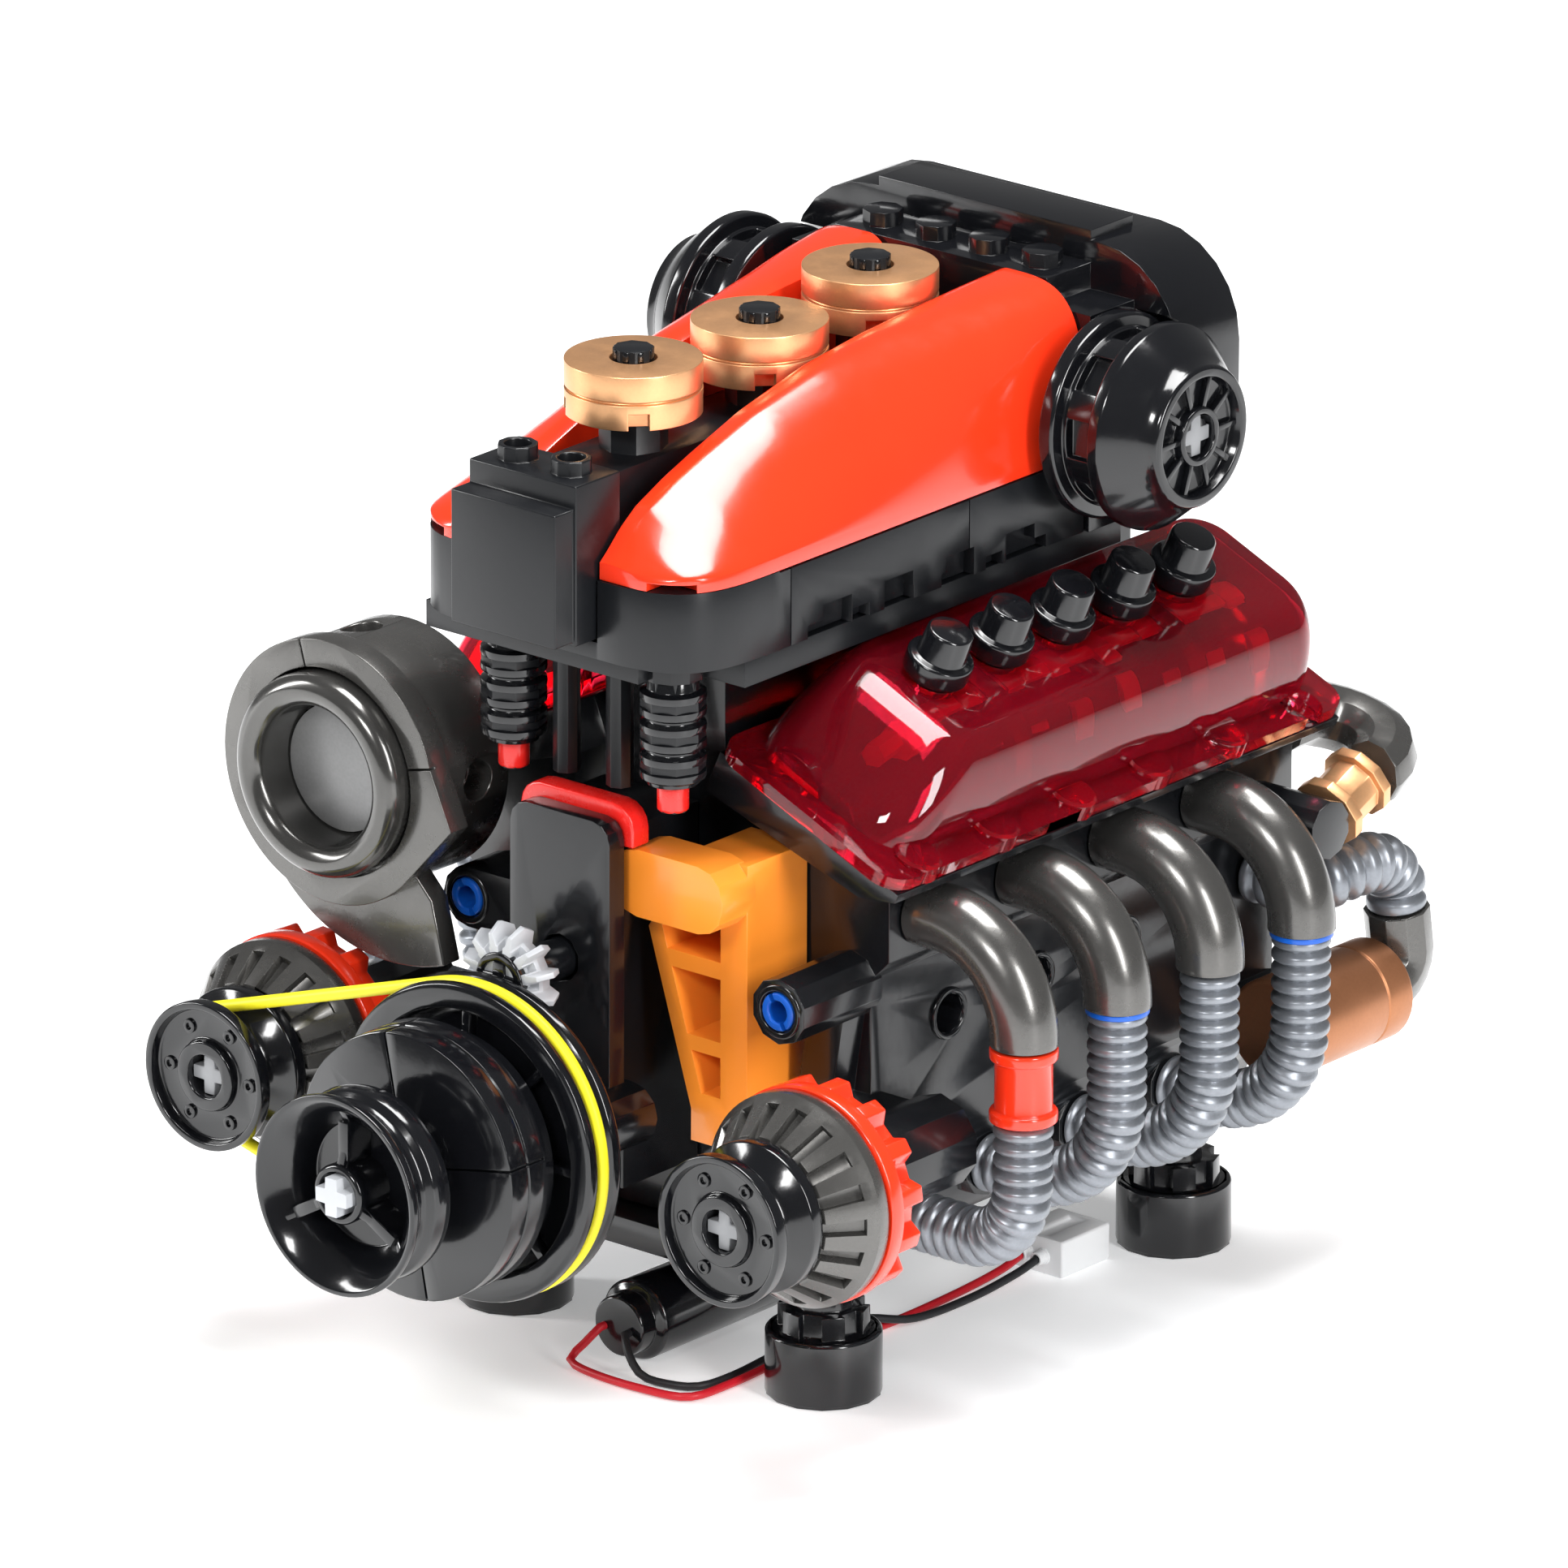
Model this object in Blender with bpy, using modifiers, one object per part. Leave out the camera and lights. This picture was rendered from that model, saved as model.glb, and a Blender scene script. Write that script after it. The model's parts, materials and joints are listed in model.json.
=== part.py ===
"""Classroom model of a V8 four stroke engine, built from clip-together plastic pieces.

All lengths are in metres. +X is the engine's right side, -Y its front and +Z up. The
origin lies on the table, under the middle of the model. A crank turned by hand or by the
motor below drives the front wheel, the belt, the gears and the two camshafts.
"""

import math

import bmesh
import bpy
from mathutils import Matrix, Vector

# Shared sizes of the clip-together system
STUD_PITCH = 0.0080
STUD_RADIUS = 0.0024
STUD_HEIGHT = 0.0018
PLATE_HEIGHT = 0.0032
AXLE_RADIUS = 0.0023
AXLE_HALF_WIDTH = 0.0009
AXLE_TIP_SHARE = 0.93
SHAFT_RADIUS = 0.0026
PIN_HOLE_RADIUS = 0.0025
BEAM_HALF = 0.0037
SEAT_GAP = 0.0003
RUNNING_GAP = 0.0004
OVERRUN = 0.0010
WELD = 0.000001
FLAT_ANGLE = 0.002

# Segments round small, middling and large round pieces
FINE_SEGMENTS = 18
WHEEL_SEGMENTS = 14
SMALL_SEGMENTS = 10
PIN_SEGMENTS = 8
CAM_SEGMENTS = 6

# Engine block and the two slanted heads
BLOCK_FRONT_Y = -0.0140
BLOCK_BACK_Y = 0.0600
BLOCK_BASE_Z = 0.0160
BLOCK_SHOULDER_Z = 0.0290
BLOCK_EAVE_Z = 0.0520
BLOCK_BASE_HALF = 0.0250
BLOCK_HALF = 0.0300
PORT_FACE_X = 0.0326
PORT_FACE_LOW_Z = 0.0546
PORT_FACE_HIGH_Z = 0.0641
TOWER_HALF = 0.0080
TOWER_TOP_Z = 0.0883
VALLEY_Z = 0.0750
HEAD_OUTER_X = 0.0385
HEAD_OUTER_Z = 0.0660
HEAD_INNER_X = 0.0120
HEAD_INNER_Z = 0.0774
HEAD_LIP = 0.0012
HEAD_FRONT_Y = -0.0195
HEAD_BACK_Y = 0.0615
HEAD_DEPTH = 0.0060
SIDE_HOLE_Z = 0.0440
SIDE_HOLE_DEPTH = 0.0050
SIDE_HOLE_COUNT = 4
SIDE_HOLE_FIRST_Y = 0.0000
SIDE_HOLE_PITCH = 0.0160
CRANK_Z = 0.0352
CRANKCASE_RADIUS = 0.0130
CRANKCASE_FRONT_Y = -0.0080
CRANKCASE_BACK_Y = 0.0560
BEARING_WALL = 0.0040
HOSE_BOSS_RADIUS = 0.0042
HOSE_BOSS_X = 0.0290
HOSE_BOSS_Z = 0.0230
BOSS_ROOT_X = 0.0200
SHORT_HOSE_Z = 0.0215
HUB_X = 0.0270
HUB_Z = 0.0510
HUB_RADIUS = 0.0040
HUB_FRONT_Y = -0.0270
STRUT_FOOT_X = 0.0242
STRUT_FOOT_Z = 0.0330
STRUT_WIDTH = 0.0050
STRUT_BACK_INSET = 0.0040
TURBO_SEAT_OUTER_X = -0.0340
TURBO_SEAT_INNER_X = -0.0240
TURBO_SEAT_LOW_Z = 0.0610
TURBO_SEAT_HIGH_Z = 0.0664
REAR_BOSS_Y = 0.0530
REAR_BOSS_Z = 0.0552
REAR_BOSS_X = 0.0440
REAR_BOSS_RADIUS = 0.0036
CANISTER_PAD_FRONT_Y = 0.0520

# Front side wheels, the barrels that carry them and the beam behind
SIDE_WHEEL_X = 0.0390
SIDE_WHEEL_Z = 0.0342
SIDE_WHEEL_FRONT_Y = -0.0520
SIDE_WHEEL_WIDTH = 0.0080
SIDE_WHEEL_RADIUS = 0.0090
SIDE_GROOVE_RADIUS = 0.0062
SIDE_FLANGE = 0.0016
SIDE_HUB_RADIUS = 0.0040
SIDE_HUB_INSET = 0.0012
SIDE_AXLE_INSET = 0.0010
CONE_LENGTH = 0.0050
CONE_FRONT_RADIUS = 0.0095
CONE_BACK_RADIUS = 0.0125
CONE_BAND = 0.0020
CONE_BAND_RADIUS = 0.0128
CONE_FLUTES = 12
CONE_FLUTE_DEPTH = 0.0012
FLUTE_SHARES = ((0.00, 0), (0.45, 0), (0.55, 1), (0.90, 1))
SLEEVE_RADIUS = 0.0055
CROWN_LENGTH = 0.0055
CROWN_TOOTH_LENGTH = 0.0018
CROWN_RADIUS = 0.0130
CROWN_LAND = 0.0003
TOOTH_TURN = 0.13
CROWN_PLAIN = 0.0018
CROWN_TEETH = 12
BARREL_RADIUS = 0.0056
BARREL_FRONT_Y = -0.0260
BARREL_BACK_Y = -0.0122
BARREL_ARM_INNER_X = 0.0270
BARREL_ARM_FRONT_Y = -0.0182

# Crankshaft, its throws and the wheels on its nose
NOSE_Y = -0.0740
CRANK_BACK_Y = 0.0580
AXLE_NOSE_BACK_Y = -0.0400
WEB_RADIUS = 0.0085
WEB_THICKNESS = 0.0030
WEB_CLEARANCE = 0.0010
THROW_LENGTH = 0.0120
CRANK_THROW_DEGREES = (90, 270, 270, 90)
THROW = 0.0050
CRANKPIN_RADIUS = 0.0030
HUB_WHEEL_RADIUS = 0.0120
HUB_WHEEL_WIDTH = 0.0080
HUB_WHEEL_FRONT_Y = -0.0735
HUB_WHEEL_RIM = 0.0014
HUB_WHEEL_DISH = 0.0035
HUB_WHEEL_HUB_RADIUS = 0.0036
HUB_SPOKE_WIDTH = 0.0018
HUB_SPOKES = 3
HUB_BUSH_BACK_Y = -0.0613
HUB_BUSH_RADIUS = 0.0050
DRUM_FRONT_Y = -0.0610
DRUM_RADIUS = 0.0160
DRUM_LAYER = 0.0032
DRUM_RING_RADIUS = 0.0150
DRUM_RING = 0.0030
DRUM_SPLIT = 0.0005
DRUM_SPLIT_TURN = 0.2
PULLEY_FRONT_Y = -0.0510
PULLEY_WIDTH = 0.0060
PULLEY_RADIUS = 0.0192
GROOVE_DEPTH = 0.0018
BELT_RADIUS = 0.00075
BELT_Y = -0.0480
LARGE_BELT_STEPS = 17
SMALL_BELT_STEPS = 6

# Timing gears
GEAR_FRONT_Y = -0.0445
GEAR_THICKNESS = 0.0030
GEAR_MODULE = 0.0010
CRANK_GEAR_TEETH = 24
IDLER_TEETH = 12
IDLER_THICKNESS = 0.0040
TOOTH_RISE = 0.0007
TOOTH_FALL = 0.0011
TOOTH_TIP_SHARE = 0.20
TOOTH_ROOT_SHARE = 0.42
BEVEL_INSET = 0.0010
IDLER_SHAFT_BACK_Y = -0.0300

# Front cover, red arch and lattice bracket
COVER_PANEL_HALF = 0.0075
COVER_PANEL_LOW_Z = 0.0300
COVER_PANEL_HIGH_Z = 0.0710
COVER_PANEL_FRONT_Y = -0.0340
COVER_PANEL_THICKNESS = 0.0027
COVER_PANEL_CORNER = 0.0025
COVER_NECK_LEFT_X = -0.0058
COVER_NECK_RIGHT_X = 0.0040
COVER_NECK_TOP_Z = 0.0694
COVER_BODY_LEFT_X = -0.0100
COVER_BODY_RIGHT_X = 0.0042
COVER_BODY_FRONT_Y = -0.0277
COVER_BODY_BACK_Y = -0.0143
COVER_BODY_LOW_Z = 0.0240
COVER_BODY_HIGH_Z = 0.0680
CRANK_BEAM_HALF = 0.0080
CRANK_BEAM_FRONT_Y = -0.0380
EAR_X = -0.0200
EAR_Z = 0.0540
EAR_FRONT_Y = -0.0270
EAR_DEPTH = 0.0075
ARCH_HALF = 0.0085
ARCH_TOP_Z = 0.0725
ARCH_WALL = 0.0024
ARCH_LEFT_FOOT_Z = 0.0600
ARCH_RIGHT_FOOT_Z = 0.0675
ARCH_FRONT_Y = -0.0310
ARCH_BACK_Y = -0.0280
ARCH_CORNER = 0.0030
BRACKET_FRONT_Y = -0.0250
BRACKET_RIGHT_X = 0.0206
BRACKET_SHOULDER_X = 0.0058
BRACKET_FOOT_LEFT_X = 0.0122
BRACKET_FOOT_RIGHT_X = 0.0186
BRACKET_TOP_Z = 0.0666
BRACKET_SHOULDER_Z = 0.0560
BRACKET_ANKLE_Z = 0.0352
BRACKET_FOOT_Z = 0.0312
BRACKET_RIB = 0.0022
BRACKET_RAIL = 0.0040
BRACKET_WINDOW_SHARES = ((0.10, 0.34), (0.43, 0.80), (0.90, 1.10))
CAPSULE_LEFT_X = 0.0046
CAPSULE_RIGHT_X = 0.0210
CAPSULE_LOW_Z = 0.0590
CAPSULE_HIGH_Z = 0.0672
CAPSULE_FRONT_Y = -0.0300
CAPSULE_CORNER = 0.0036

# Valve covers, plug caps and camshafts, measured in each head's own slanted frame
LID_FRONT_Y = -0.0210
LID_BACK_Y = 0.0628
LID_FLANGE = 0.0016
LID_INSET = 0.0035
LID_INNER_INSET = 0.0022
LID_HEIGHT = 0.0123
LID_DRAFT = 0.0020
LID_NOSE_RAKE = 0.0085
LID_TAIL_RAKE = 0.0030
LID_CORNER = 0.0050
LID_CORNER_STEPS = 2
LID_ROUND = 0.0026
LID_CREST_SHARE = 0.3
LID_CREST_RAKE_SHARE = 0.92
LID_WALL = 0.0015
LID_BOSS_RADIUS = 0.0032
LID_BOSS_PITCH = 0.0140
LID_BOSS_COUNT = 6
LID_BOSS_FIRST_Y = -0.0140
LID_BOSS_INSET = 0.0022
LID_BOSS_RISE = 0.0006
LID_ARCH_RADIUS = 0.0045
LID_ARCH_LENGTH = 0.0060
LID_ARCH_INWARD = 0.0090
CAP_PITCH = 0.0111
CAP_COUNT = 5
CAP_FIRST_Y = 0.0006
CAP_INWARD = 0.0179
CAP_KNOB_RADIUS = 0.00275
CAP_COLLAR_RADIUS = 0.0040
CAP_STEM_RADIUS = 0.0030
CAP_HOLE_RADIUS = 0.0034
CAP_KNOB_HEIGHT = 0.0035
CAP_COLLAR_HEIGHT = 0.0026
CAP_RAIL_WIDTH = 0.0070
CAP_RAIL_HEIGHT = 0.0016
CAP_RAIL_GAP = 0.0008
CAM_RADIUS = 0.0016
CAM_HEIGHT = 0.0046
CAM_INWARD = 0.0150
CAM_LOBE_REACH = 0.0034
CAM_LOBE_RADIUS = 0.0010
CAM_LOBE_BASE = 0.0021
CAM_LOBE_WIDTH = 0.0030
CAM_LOBES = 8
CAM_LOBE_FIRST_Y = -0.0040
CAM_LOBE_PITCH = 0.0080
CAM_FRONT_Y = -0.0090
CAM_BACK_Y = 0.0540
CAM_PEDESTAL_WIDTH = 0.0030
CAM_PEDESTAL_HALF = 0.0045
CAM_PEDESTAL_TOP_HALF = 0.0024
CAM_PEDESTAL_TOP = 0.0026
CAM_PEDESTAL_AFTER_LOBES = (1, 5)

# Intake plate, black base and front brick
PLATE_BASE_Z = 0.0886
PLATE_FRONT_Y = -0.0330
PLATE_STEP_Y = -0.0260
PLATE_STEP_X = 0.0110
PLATE_BACK_Y = 0.0420
PLATE_HALF = 0.0210
POST_X = 0.0120
POST_Y = -0.0280
POST_RADIUS = 0.0031
POST_RIB_RADIUS = 0.0038
POST_RIBS = 3
POST_LENGTH = 0.0128
TIP_RADIUS = 0.0018
TIP_LENGTH = 0.0034
PLATE_PIN_X = 0.0040
PLATE_PIN_RADIUS = 0.0016
PLATE_PIN_LENGTH = 0.0150
PLATE_BOSS_RADIUS = 0.0036
BASE_HEIGHT = 0.0096
BASE_HALF = 0.0220
BASE_NOSE_HALF = 0.0080
BASE_NOSE_Y = -0.0370
BASE_CHEEK_Y = -0.0210
BASE_CORNER_STEPS = 8
BASE_NOTCH = 0.0016
BASE_NOTCH_WIDTH = 0.0030
BASE_NOTCH_COUNT = 6
BASE_NOTCH_FIRST_Y = -0.0160
SPINE_HALF = 0.0050
SPINE_FRONT_Y = -0.0320
SPINE_TOP_Z = 0.1120
STACK_POST_RADIUS = 0.0024
STACK_COLLAR_RADIUS = 0.0040
BRICK_BASE_Z = 0.0944
BRICK_HEIGHT_TOTAL = 0.0192
BRICK_FRONT_Y = -0.0404
BRICK_BACK_Y = -0.0326
BRICK_HALF = 0.0080
TILE_DEPTH = 0.0032
TILE_TOP_Z = 0.1108
TILE_GROOVE = 0.0004

# Red intake covers, lofted over sections that run from the inner top to the outer foot
HOOD_TIP_Y = -0.0367
HOOD_BACK_Y = 0.0338
HOOD_INNER_X = 0.0084
HOOD_BACK_HEIGHT = 0.0200
HOOD_LIP = 0.0008
HOOD_SHARES = (
    (0.00, 0.20, 2.6), (0.02, 0.33, 2.3), (0.05, 0.43, 2.0), (0.09, 0.51, 1.9), (0.16, 0.60, 1.8),
    (0.23, 0.66, 1.8), (0.35, 0.74, 1.8), (0.51, 0.83, 1.9), (0.66, 0.91, 2.2), (0.80, 0.96, 2.8),
    (0.90, 0.99, 3.4), (1.00, 1.00, 3.8),
)
HOOD_STEPS = 8

# Gold stacks on the spine
STACK_RADIUS = 0.0080
STACK_HEIGHT = 0.0064
STACK_SEAM = 0.0004
STACK_NOTCH_WIDTH = 0.0022
STACK_NOTCHES = 4
STACK_PLACES = ((-0.0209, 0.1226), (0.0015, 0.1218), (0.0214, 0.1233))
STACK_STUB_RISE = 0.0012

# Rear plenum with its stud plate, and the two air filters
STUD_PLATE_HALF = 0.0160
STUD_PLATE_FRONT_Y = 0.0342
STUD_PLATE_TOP_Z = 0.1217
PLENUM_FRONT_Y = 0.0422
PLENUM_BACK_Y = 0.0535
PLENUM_TOP_Z = 0.1244
PLENUM_TILE_HEIGHT = 0.0012
PLENUM_TILE_DEPTH = 0.0077
PLENUM_HALF = 0.0292
PLENUM_SHOULDER = 0.0120
PLENUM_SHOULDER_STEPS = 6
PLENUM_SIDE_Z = 0.1050
PLENUM_BODY_HALF = 0.0225
PLENUM_BODY_Z = 0.0921
FILTER_Y = 0.0350
FILTER_Z = 0.1070
FILTER_GAP = 0.0020
FILTER_FLANGE_RADIUS = 0.0123
FILTER_BARREL_RADIUS = 0.0106
FILTER_FLANGE = 0.0022
FILTER_RIM_START = 0.0072
FILTER_RIM_WIDTH = 0.0050
FILTER_LENGTH = 0.0146
FILTER_END_RADIUS = 0.0085
FILTER_WINDOWS = 8
FILTER_WINDOW_DEPTH = 0.0012
FILTER_WINDOW_WIDTH = 0.0048
FILTER_WINDOW_EDGE = 0.0004
FILTER_AXLE_ROOT_X = 0.0223
FILTER_AXLE_INSET = 0.0010
FILTER_CLEARANCE = 0.0006

# Turbo housing on the left
TURBO_X = -0.0335
TURBO_Z = 0.0686
TURBO_LIP_FRONT_Y = -0.0392
TURBO_FRONT_Y = -0.0360
TURBO_BACK_Y = -0.0214
TURBO_RADIUS = 0.0160
TURBO_BARREL_RADIUS = 0.0152
TURBO_DISC_THICKNESS = 0.0032
TURBO_LIP_RADIUS = 0.0123
TURBO_THROAT_RADIUS = 0.0080
TURBO_LIP_WALL = 0.0012
TURBO_FLOOR_DEPTH = 0.0060
TURBO_SPLIT = 0.0004
TURBO_SPLIT_DEGREES = (106, 14)
TURBO_RIM_DEGREES = (14, 319)
TURBO_RIM_STEPS = 28
TURBO_PIN_HOLE_DEGREES = (0, 100)
TURBO_PIN_HOLE_Y = -0.0270
TURBO_SHARP_TIP_X = 0.0187
TURBO_SHARP_TIP_Z = -0.0032
VOLUTE_THICKNESS = 0.0030
VOLUTE_TIP_X = 0.0151
VOLUTE_TIP_Z = -0.0211
VOLUTE_SWELL = 1.3
VOLUTE_START_DEGREES = 205.0
VOLUTE_END_DEGREES = 315.0
VOLUTE_THROAT_STEPS = 5
VOLUTE_STEPS = 12
VOLUTE_HEEL_X = 0.0132
VOLUTE_HEEL_Z = -0.0136
VOLUTE_OVERLAP = 0.0005

# Exhaust side pipes and ribbed hoses
PIPE_RADIUS = 0.0040
PIPE_AXIS_Z = 0.0595
PIPE_START_X = 0.0329
PIPE_BEND_X = 0.0360
PIPE_BEND_RADIUS = 0.0120
PIPE_END_Z = 0.0468
PIPE_FIRST_Y = -0.0083
PIPE_PITCH = 0.0170
PIPE_COUNT = 4
COUPLER_LOW_Z = 0.0376
COUPLER_RADIUS = 0.0034
COUPLER_COLLAR_RADIUS = 0.0040
COUPLER_COLLAR = 0.0014
HOSE_RADIUS = 0.0035
HOSE_VALLEY_SHARE = 0.86
HOSE_BORE = 0.0019
HOSE_CORE_SHARE = 1.5
HOSE_STRAIGHT = 0.0070
HOSE_BEND_RADIUS = 0.0125
SHORT_HOSE_BEND_RADIUS = 0.0080
HOSE_RIBS = 12
HIDDEN_HOSE_RIBS = 6
BEND_STEPS = 5

# Rear pipe run and its canister
REAR_COUPLER_RADIUS = 0.0036
REAR_COUPLER_COLLAR_RADIUS = 0.0045
REAR_HOSE_RADIUS = 0.0036
REAR_HOSE_RIBS = 6
CANISTER_X = 0.0400
CANISTER_Z = 0.0310
CANISTER_FRONT_Y = 0.0468
CANISTER_BACK_Y = 0.0668
CANISTER_RADIUS = 0.0062
CANISTER_SEAM_Y = 0.0620
CANISTER_SEAM = 0.0005
REAR_REACH_Y = 0.0756
REAR_PIPE_INNER_X = 0.0290
REAR_PIPE_HIGH_Z = 0.0630
REAR_COUPLER_HIGH_Z = 0.0580
REAR_COUPLER_GAP = 0.0018
PIPE_STUB = 0.0006
REAR_BEND_STEPS = 10
REAR_PIPE_LEAN = 0.0008
REAR_PIPE_LOW_TOP_Z = 0.0400

# Route of the rear hose, chosen by eye, from the block's side to the lower pipe
REAR_HOSE_ROUTE = (
    (0.0303, 0.0560, 0.0462), (0.0345, 0.0560, 0.0460), (0.0382, 0.0578, 0.0462),
    (0.0398, 0.0622, 0.0470), (0.0400, 0.0668, 0.0466), (0.0400, 0.0702, 0.0438), (0.0400, 0.0708, 0.0403),
)

# Motor, stands and the wires on the table
MOTOR_X = 0.0005
MOTOR_Z = 0.0049
MOTOR_RADIUS = 0.0049
MOTOR_FRONT_Y = -0.0215
MOTOR_BACK_Y = 0.0040
MOTOR_CAP_RADIUS = 0.0036
MOTOR_CAP_LENGTH = 0.0025
FOOT_X = 0.0235
FRONT_FOOT_Y = -0.0145
REAR_FOOT_Y = 0.0500
FOOT_RADIUS = 0.0068
FOOT_HEIGHT = 0.0080
FOOT_CHAMFER = 0.0004
SPLINE_RADIUS = 0.0054
SPLINE_ROOT_RADIUS = 0.0044
SPLINE_TEETH = 6
SQUARE_TOOTH_SHARES = ((0.0, 1), (0.5, 1), (0.5, 0), (1.0, 0))
SPLINE_TOP_Z = 0.0108
FOOT_POST_RADIUS = 0.0035
STAND_BEAM_Z = 0.0122
WIRE_RADIUS = 0.0005
WIRE_STEP = 0.0042
CONNECTOR_WIDTH = 0.0080
CONNECTOR_LENGTH = 0.0090
CONNECTOR_HEIGHT = 0.0046
CONNECTOR_X = 0.0180
CONNECTOR_FRONT_Y = 0.0310
CONNECTOR_SLOT = 0.0012

# The wires' routes over the table, chosen by eye, from the motor to the connector
RED_WIRE_ROUTE = (
    (-0.0016, -0.0240, 0.0046), (-0.0016, -0.0250, 0.0046), (-0.0028, -0.0266, 0.0026),
    (-0.0034, -0.0282, 0.0010), (0.0010, -0.0290, 0.0006), (0.0080, -0.0290, 0.0006),
    (0.0140, -0.0275, 0.0006), (0.0150, -0.0210, 0.0006), (0.0148, -0.0120, 0.0006),
    (0.0155, -0.0040, 0.0006), (0.0166, 0.0060, 0.0006), (0.0164, 0.0180, 0.0006),
    (0.0168, 0.0260, 0.0014), (0.0168, 0.0300, 0.0023), (0.0168, 0.0310, 0.0023),
)
BLACK_WIRE_ROUTE = (
    (0.0022, -0.0240, 0.0046), (0.0022, -0.0250, 0.0046), (0.0038, -0.0262, 0.0030),
    (0.0062, -0.0266, 0.0010), (0.0100, -0.0258, 0.0006), (0.0128, -0.0240, 0.0006),
    (0.0135, -0.0190, 0.0006), (0.0130, -0.0120, 0.0006), (0.0134, -0.0050, 0.0014),
    (0.0160, 0.0010, 0.0024), (0.0184, 0.0080, 0.0010), (0.0186, 0.0180, 0.0006),
    (0.0190, 0.0260, 0.0014), (0.0192, 0.0300, 0.0023), (0.0192, 0.0310, 0.0023),
)

# Sizes worked out from those above
HEAD_WIDTH = math.hypot(HEAD_OUTER_X - HEAD_INNER_X, HEAD_INNER_Z - HEAD_OUTER_Z)
HEAD_INWARD = ((HEAD_INNER_X - HEAD_OUTER_X) / HEAD_WIDTH, (HEAD_INNER_Z - HEAD_OUTER_Z) / HEAD_WIDTH)
HEAD_UP = (HEAD_INWARD[1], -HEAD_INWARD[0])
PLATE_TOP_Z = PLATE_BASE_Z + PLATE_HEIGHT
BASE_TOP_Z = PLATE_TOP_Z + BASE_HEIGHT
HOOD_BASE_Z = BASE_TOP_Z + SEAT_GAP
FILTER_INNER_X = BASE_HALF + FILTER_GAP
CRANK_GEAR_RADIUS = CRANK_GEAR_TEETH * GEAR_MODULE / 2
IDLER_RADIUS = IDLER_TEETH * GEAR_MODULE / 2
IDLER_Z = CRANK_Z + CRANK_GEAR_RADIUS + IDLER_RADIUS
PIPE_BEND_END_X = PIPE_BEND_X + PIPE_BEND_RADIUS
STAND_TOP_Z = BLOCK_BASE_Z - SEAT_GAP

# Colour, roughness and metallic value of each plastic
LOOKS = {
    "black": ((0.012, 0.013, 0.016), 0.28, 0.0),
    "soft_black": ((0.020, 0.021, 0.024), 0.55, 0.0),
    "pearl_grey": ((0.085, 0.083, 0.080), 0.30, 0.75),
    "silver": ((0.230, 0.245, 0.270), 0.38, 0.80),
    "light_grey": ((0.560, 0.570, 0.590), 0.40, 0.0),
    "orange_red": ((0.860, 0.060, 0.012), 0.22, 0.0),
    "red": ((0.780, 0.020, 0.014), 0.30, 0.0),
    "clear_red": ((0.380, 0.004, 0.014), 0.10, 0.0),
    "gold": ((0.560, 0.270, 0.110), 0.32, 0.85),
    "copper": ((0.300, 0.110, 0.050), 0.38, 0.80),
    "orange": ((0.950, 0.270, 0.030), 0.35, 0.0),
    "yellow": ((0.900, 0.780, 0.020), 0.45, 0.0),
    "white": ((0.820, 0.830, 0.840), 0.40, 0.0),
    "wire_red": ((0.550, 0.020, 0.030), 0.45, 0.0),
}

PARTS = None


def reset():
    """Empty the scene and make the collection that holds the engine's pieces."""
    for leftover in list(bpy.data.objects):
        bpy.data.objects.remove(leftover, do_unlink=True)
    parts = bpy.data.collections.new("four_stroke_engine_model")
    bpy.context.scene.collection.children.link(parts)
    return parts


def material(look):
    """Return the shared Principled material of one plastic."""
    if look in bpy.data.materials:
        return bpy.data.materials[look]
    colour, roughness, metallic = LOOKS[look]
    made = bpy.data.materials.new(look)
    made.use_nodes = True
    shader = made.node_tree.nodes["Principled BSDF"]
    shader.inputs["Base Color"].default_value = (*colour, 1.0)
    shader.inputs["Roughness"].default_value = roughness
    shader.inputs["Metallic"].default_value = metallic
    made.diffuse_color = (*colour, 1.0)
    return made


def placed(data, placement):
    """Link new object data into the parts collection at a placement."""
    thing = bpy.data.objects.new(data.name, data)
    thing.matrix_world = placement
    PARTS.objects.link(thing)
    return thing


def settled(thing):
    """Swap an object for the world-space mesh that its curve or modifiers make."""
    graph = bpy.context.evaluated_depsgraph_get()
    mesh = bpy.data.meshes.new_from_object(thing.evaluated_get(graph))
    mesh.transform(thing.matrix_world)
    work = bmesh.new()
    work.from_mesh(mesh)
    bmesh.ops.remove_doubles(work, verts=work.verts, dist=WELD)
    bmesh.ops.dissolve_limit(work, angle_limit=FLAT_ANGLE, verts=work.verts, edges=work.edges)
    bmesh.ops.recalc_face_normals(work, faces=work.faces)
    work.to_mesh(mesh)
    work.free()
    bpy.data.objects.remove(thing, do_unlink=True)
    return placed(mesh, Matrix.Identity(4))


def combined(body, tool, operation):
    """Cut, join or intersect a solid with a tool that it uses up."""
    step = body.modifiers.new("combine", "BOOLEAN")
    step.operation = operation
    step.solver = "EXACT"
    step.object = tool
    result = settled(body)
    bpy.data.objects.remove(tool, do_unlink=True)
    return result


def cut(body, *tools):
    """Take each tool's space out of a solid."""
    for tool in tools:
        body = combined(body, tool, "DIFFERENCE")
    return body


def joined(body, *tools):
    """Fuse each tool with a solid."""
    for tool in tools:
        body = combined(body, tool, "UNION")
    return body


def placement(location, x_axis, z_axis):
    """Return the frame at a location whose local x and z point the given ways."""
    z = Vector(z_axis).normalized()
    x = Vector(x_axis)
    x = (x - z * x.dot(z)).normalized()
    frame = Matrix((x, z.cross(x), z)).transposed().to_4x4()
    frame.translation = Vector(location)
    return frame


def facing_front(x, y, z):
    """Frame with local x to the right, y up and z towards the front."""
    return placement((x, y, z), (1, 0, 0), (0, -1, 0))


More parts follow.
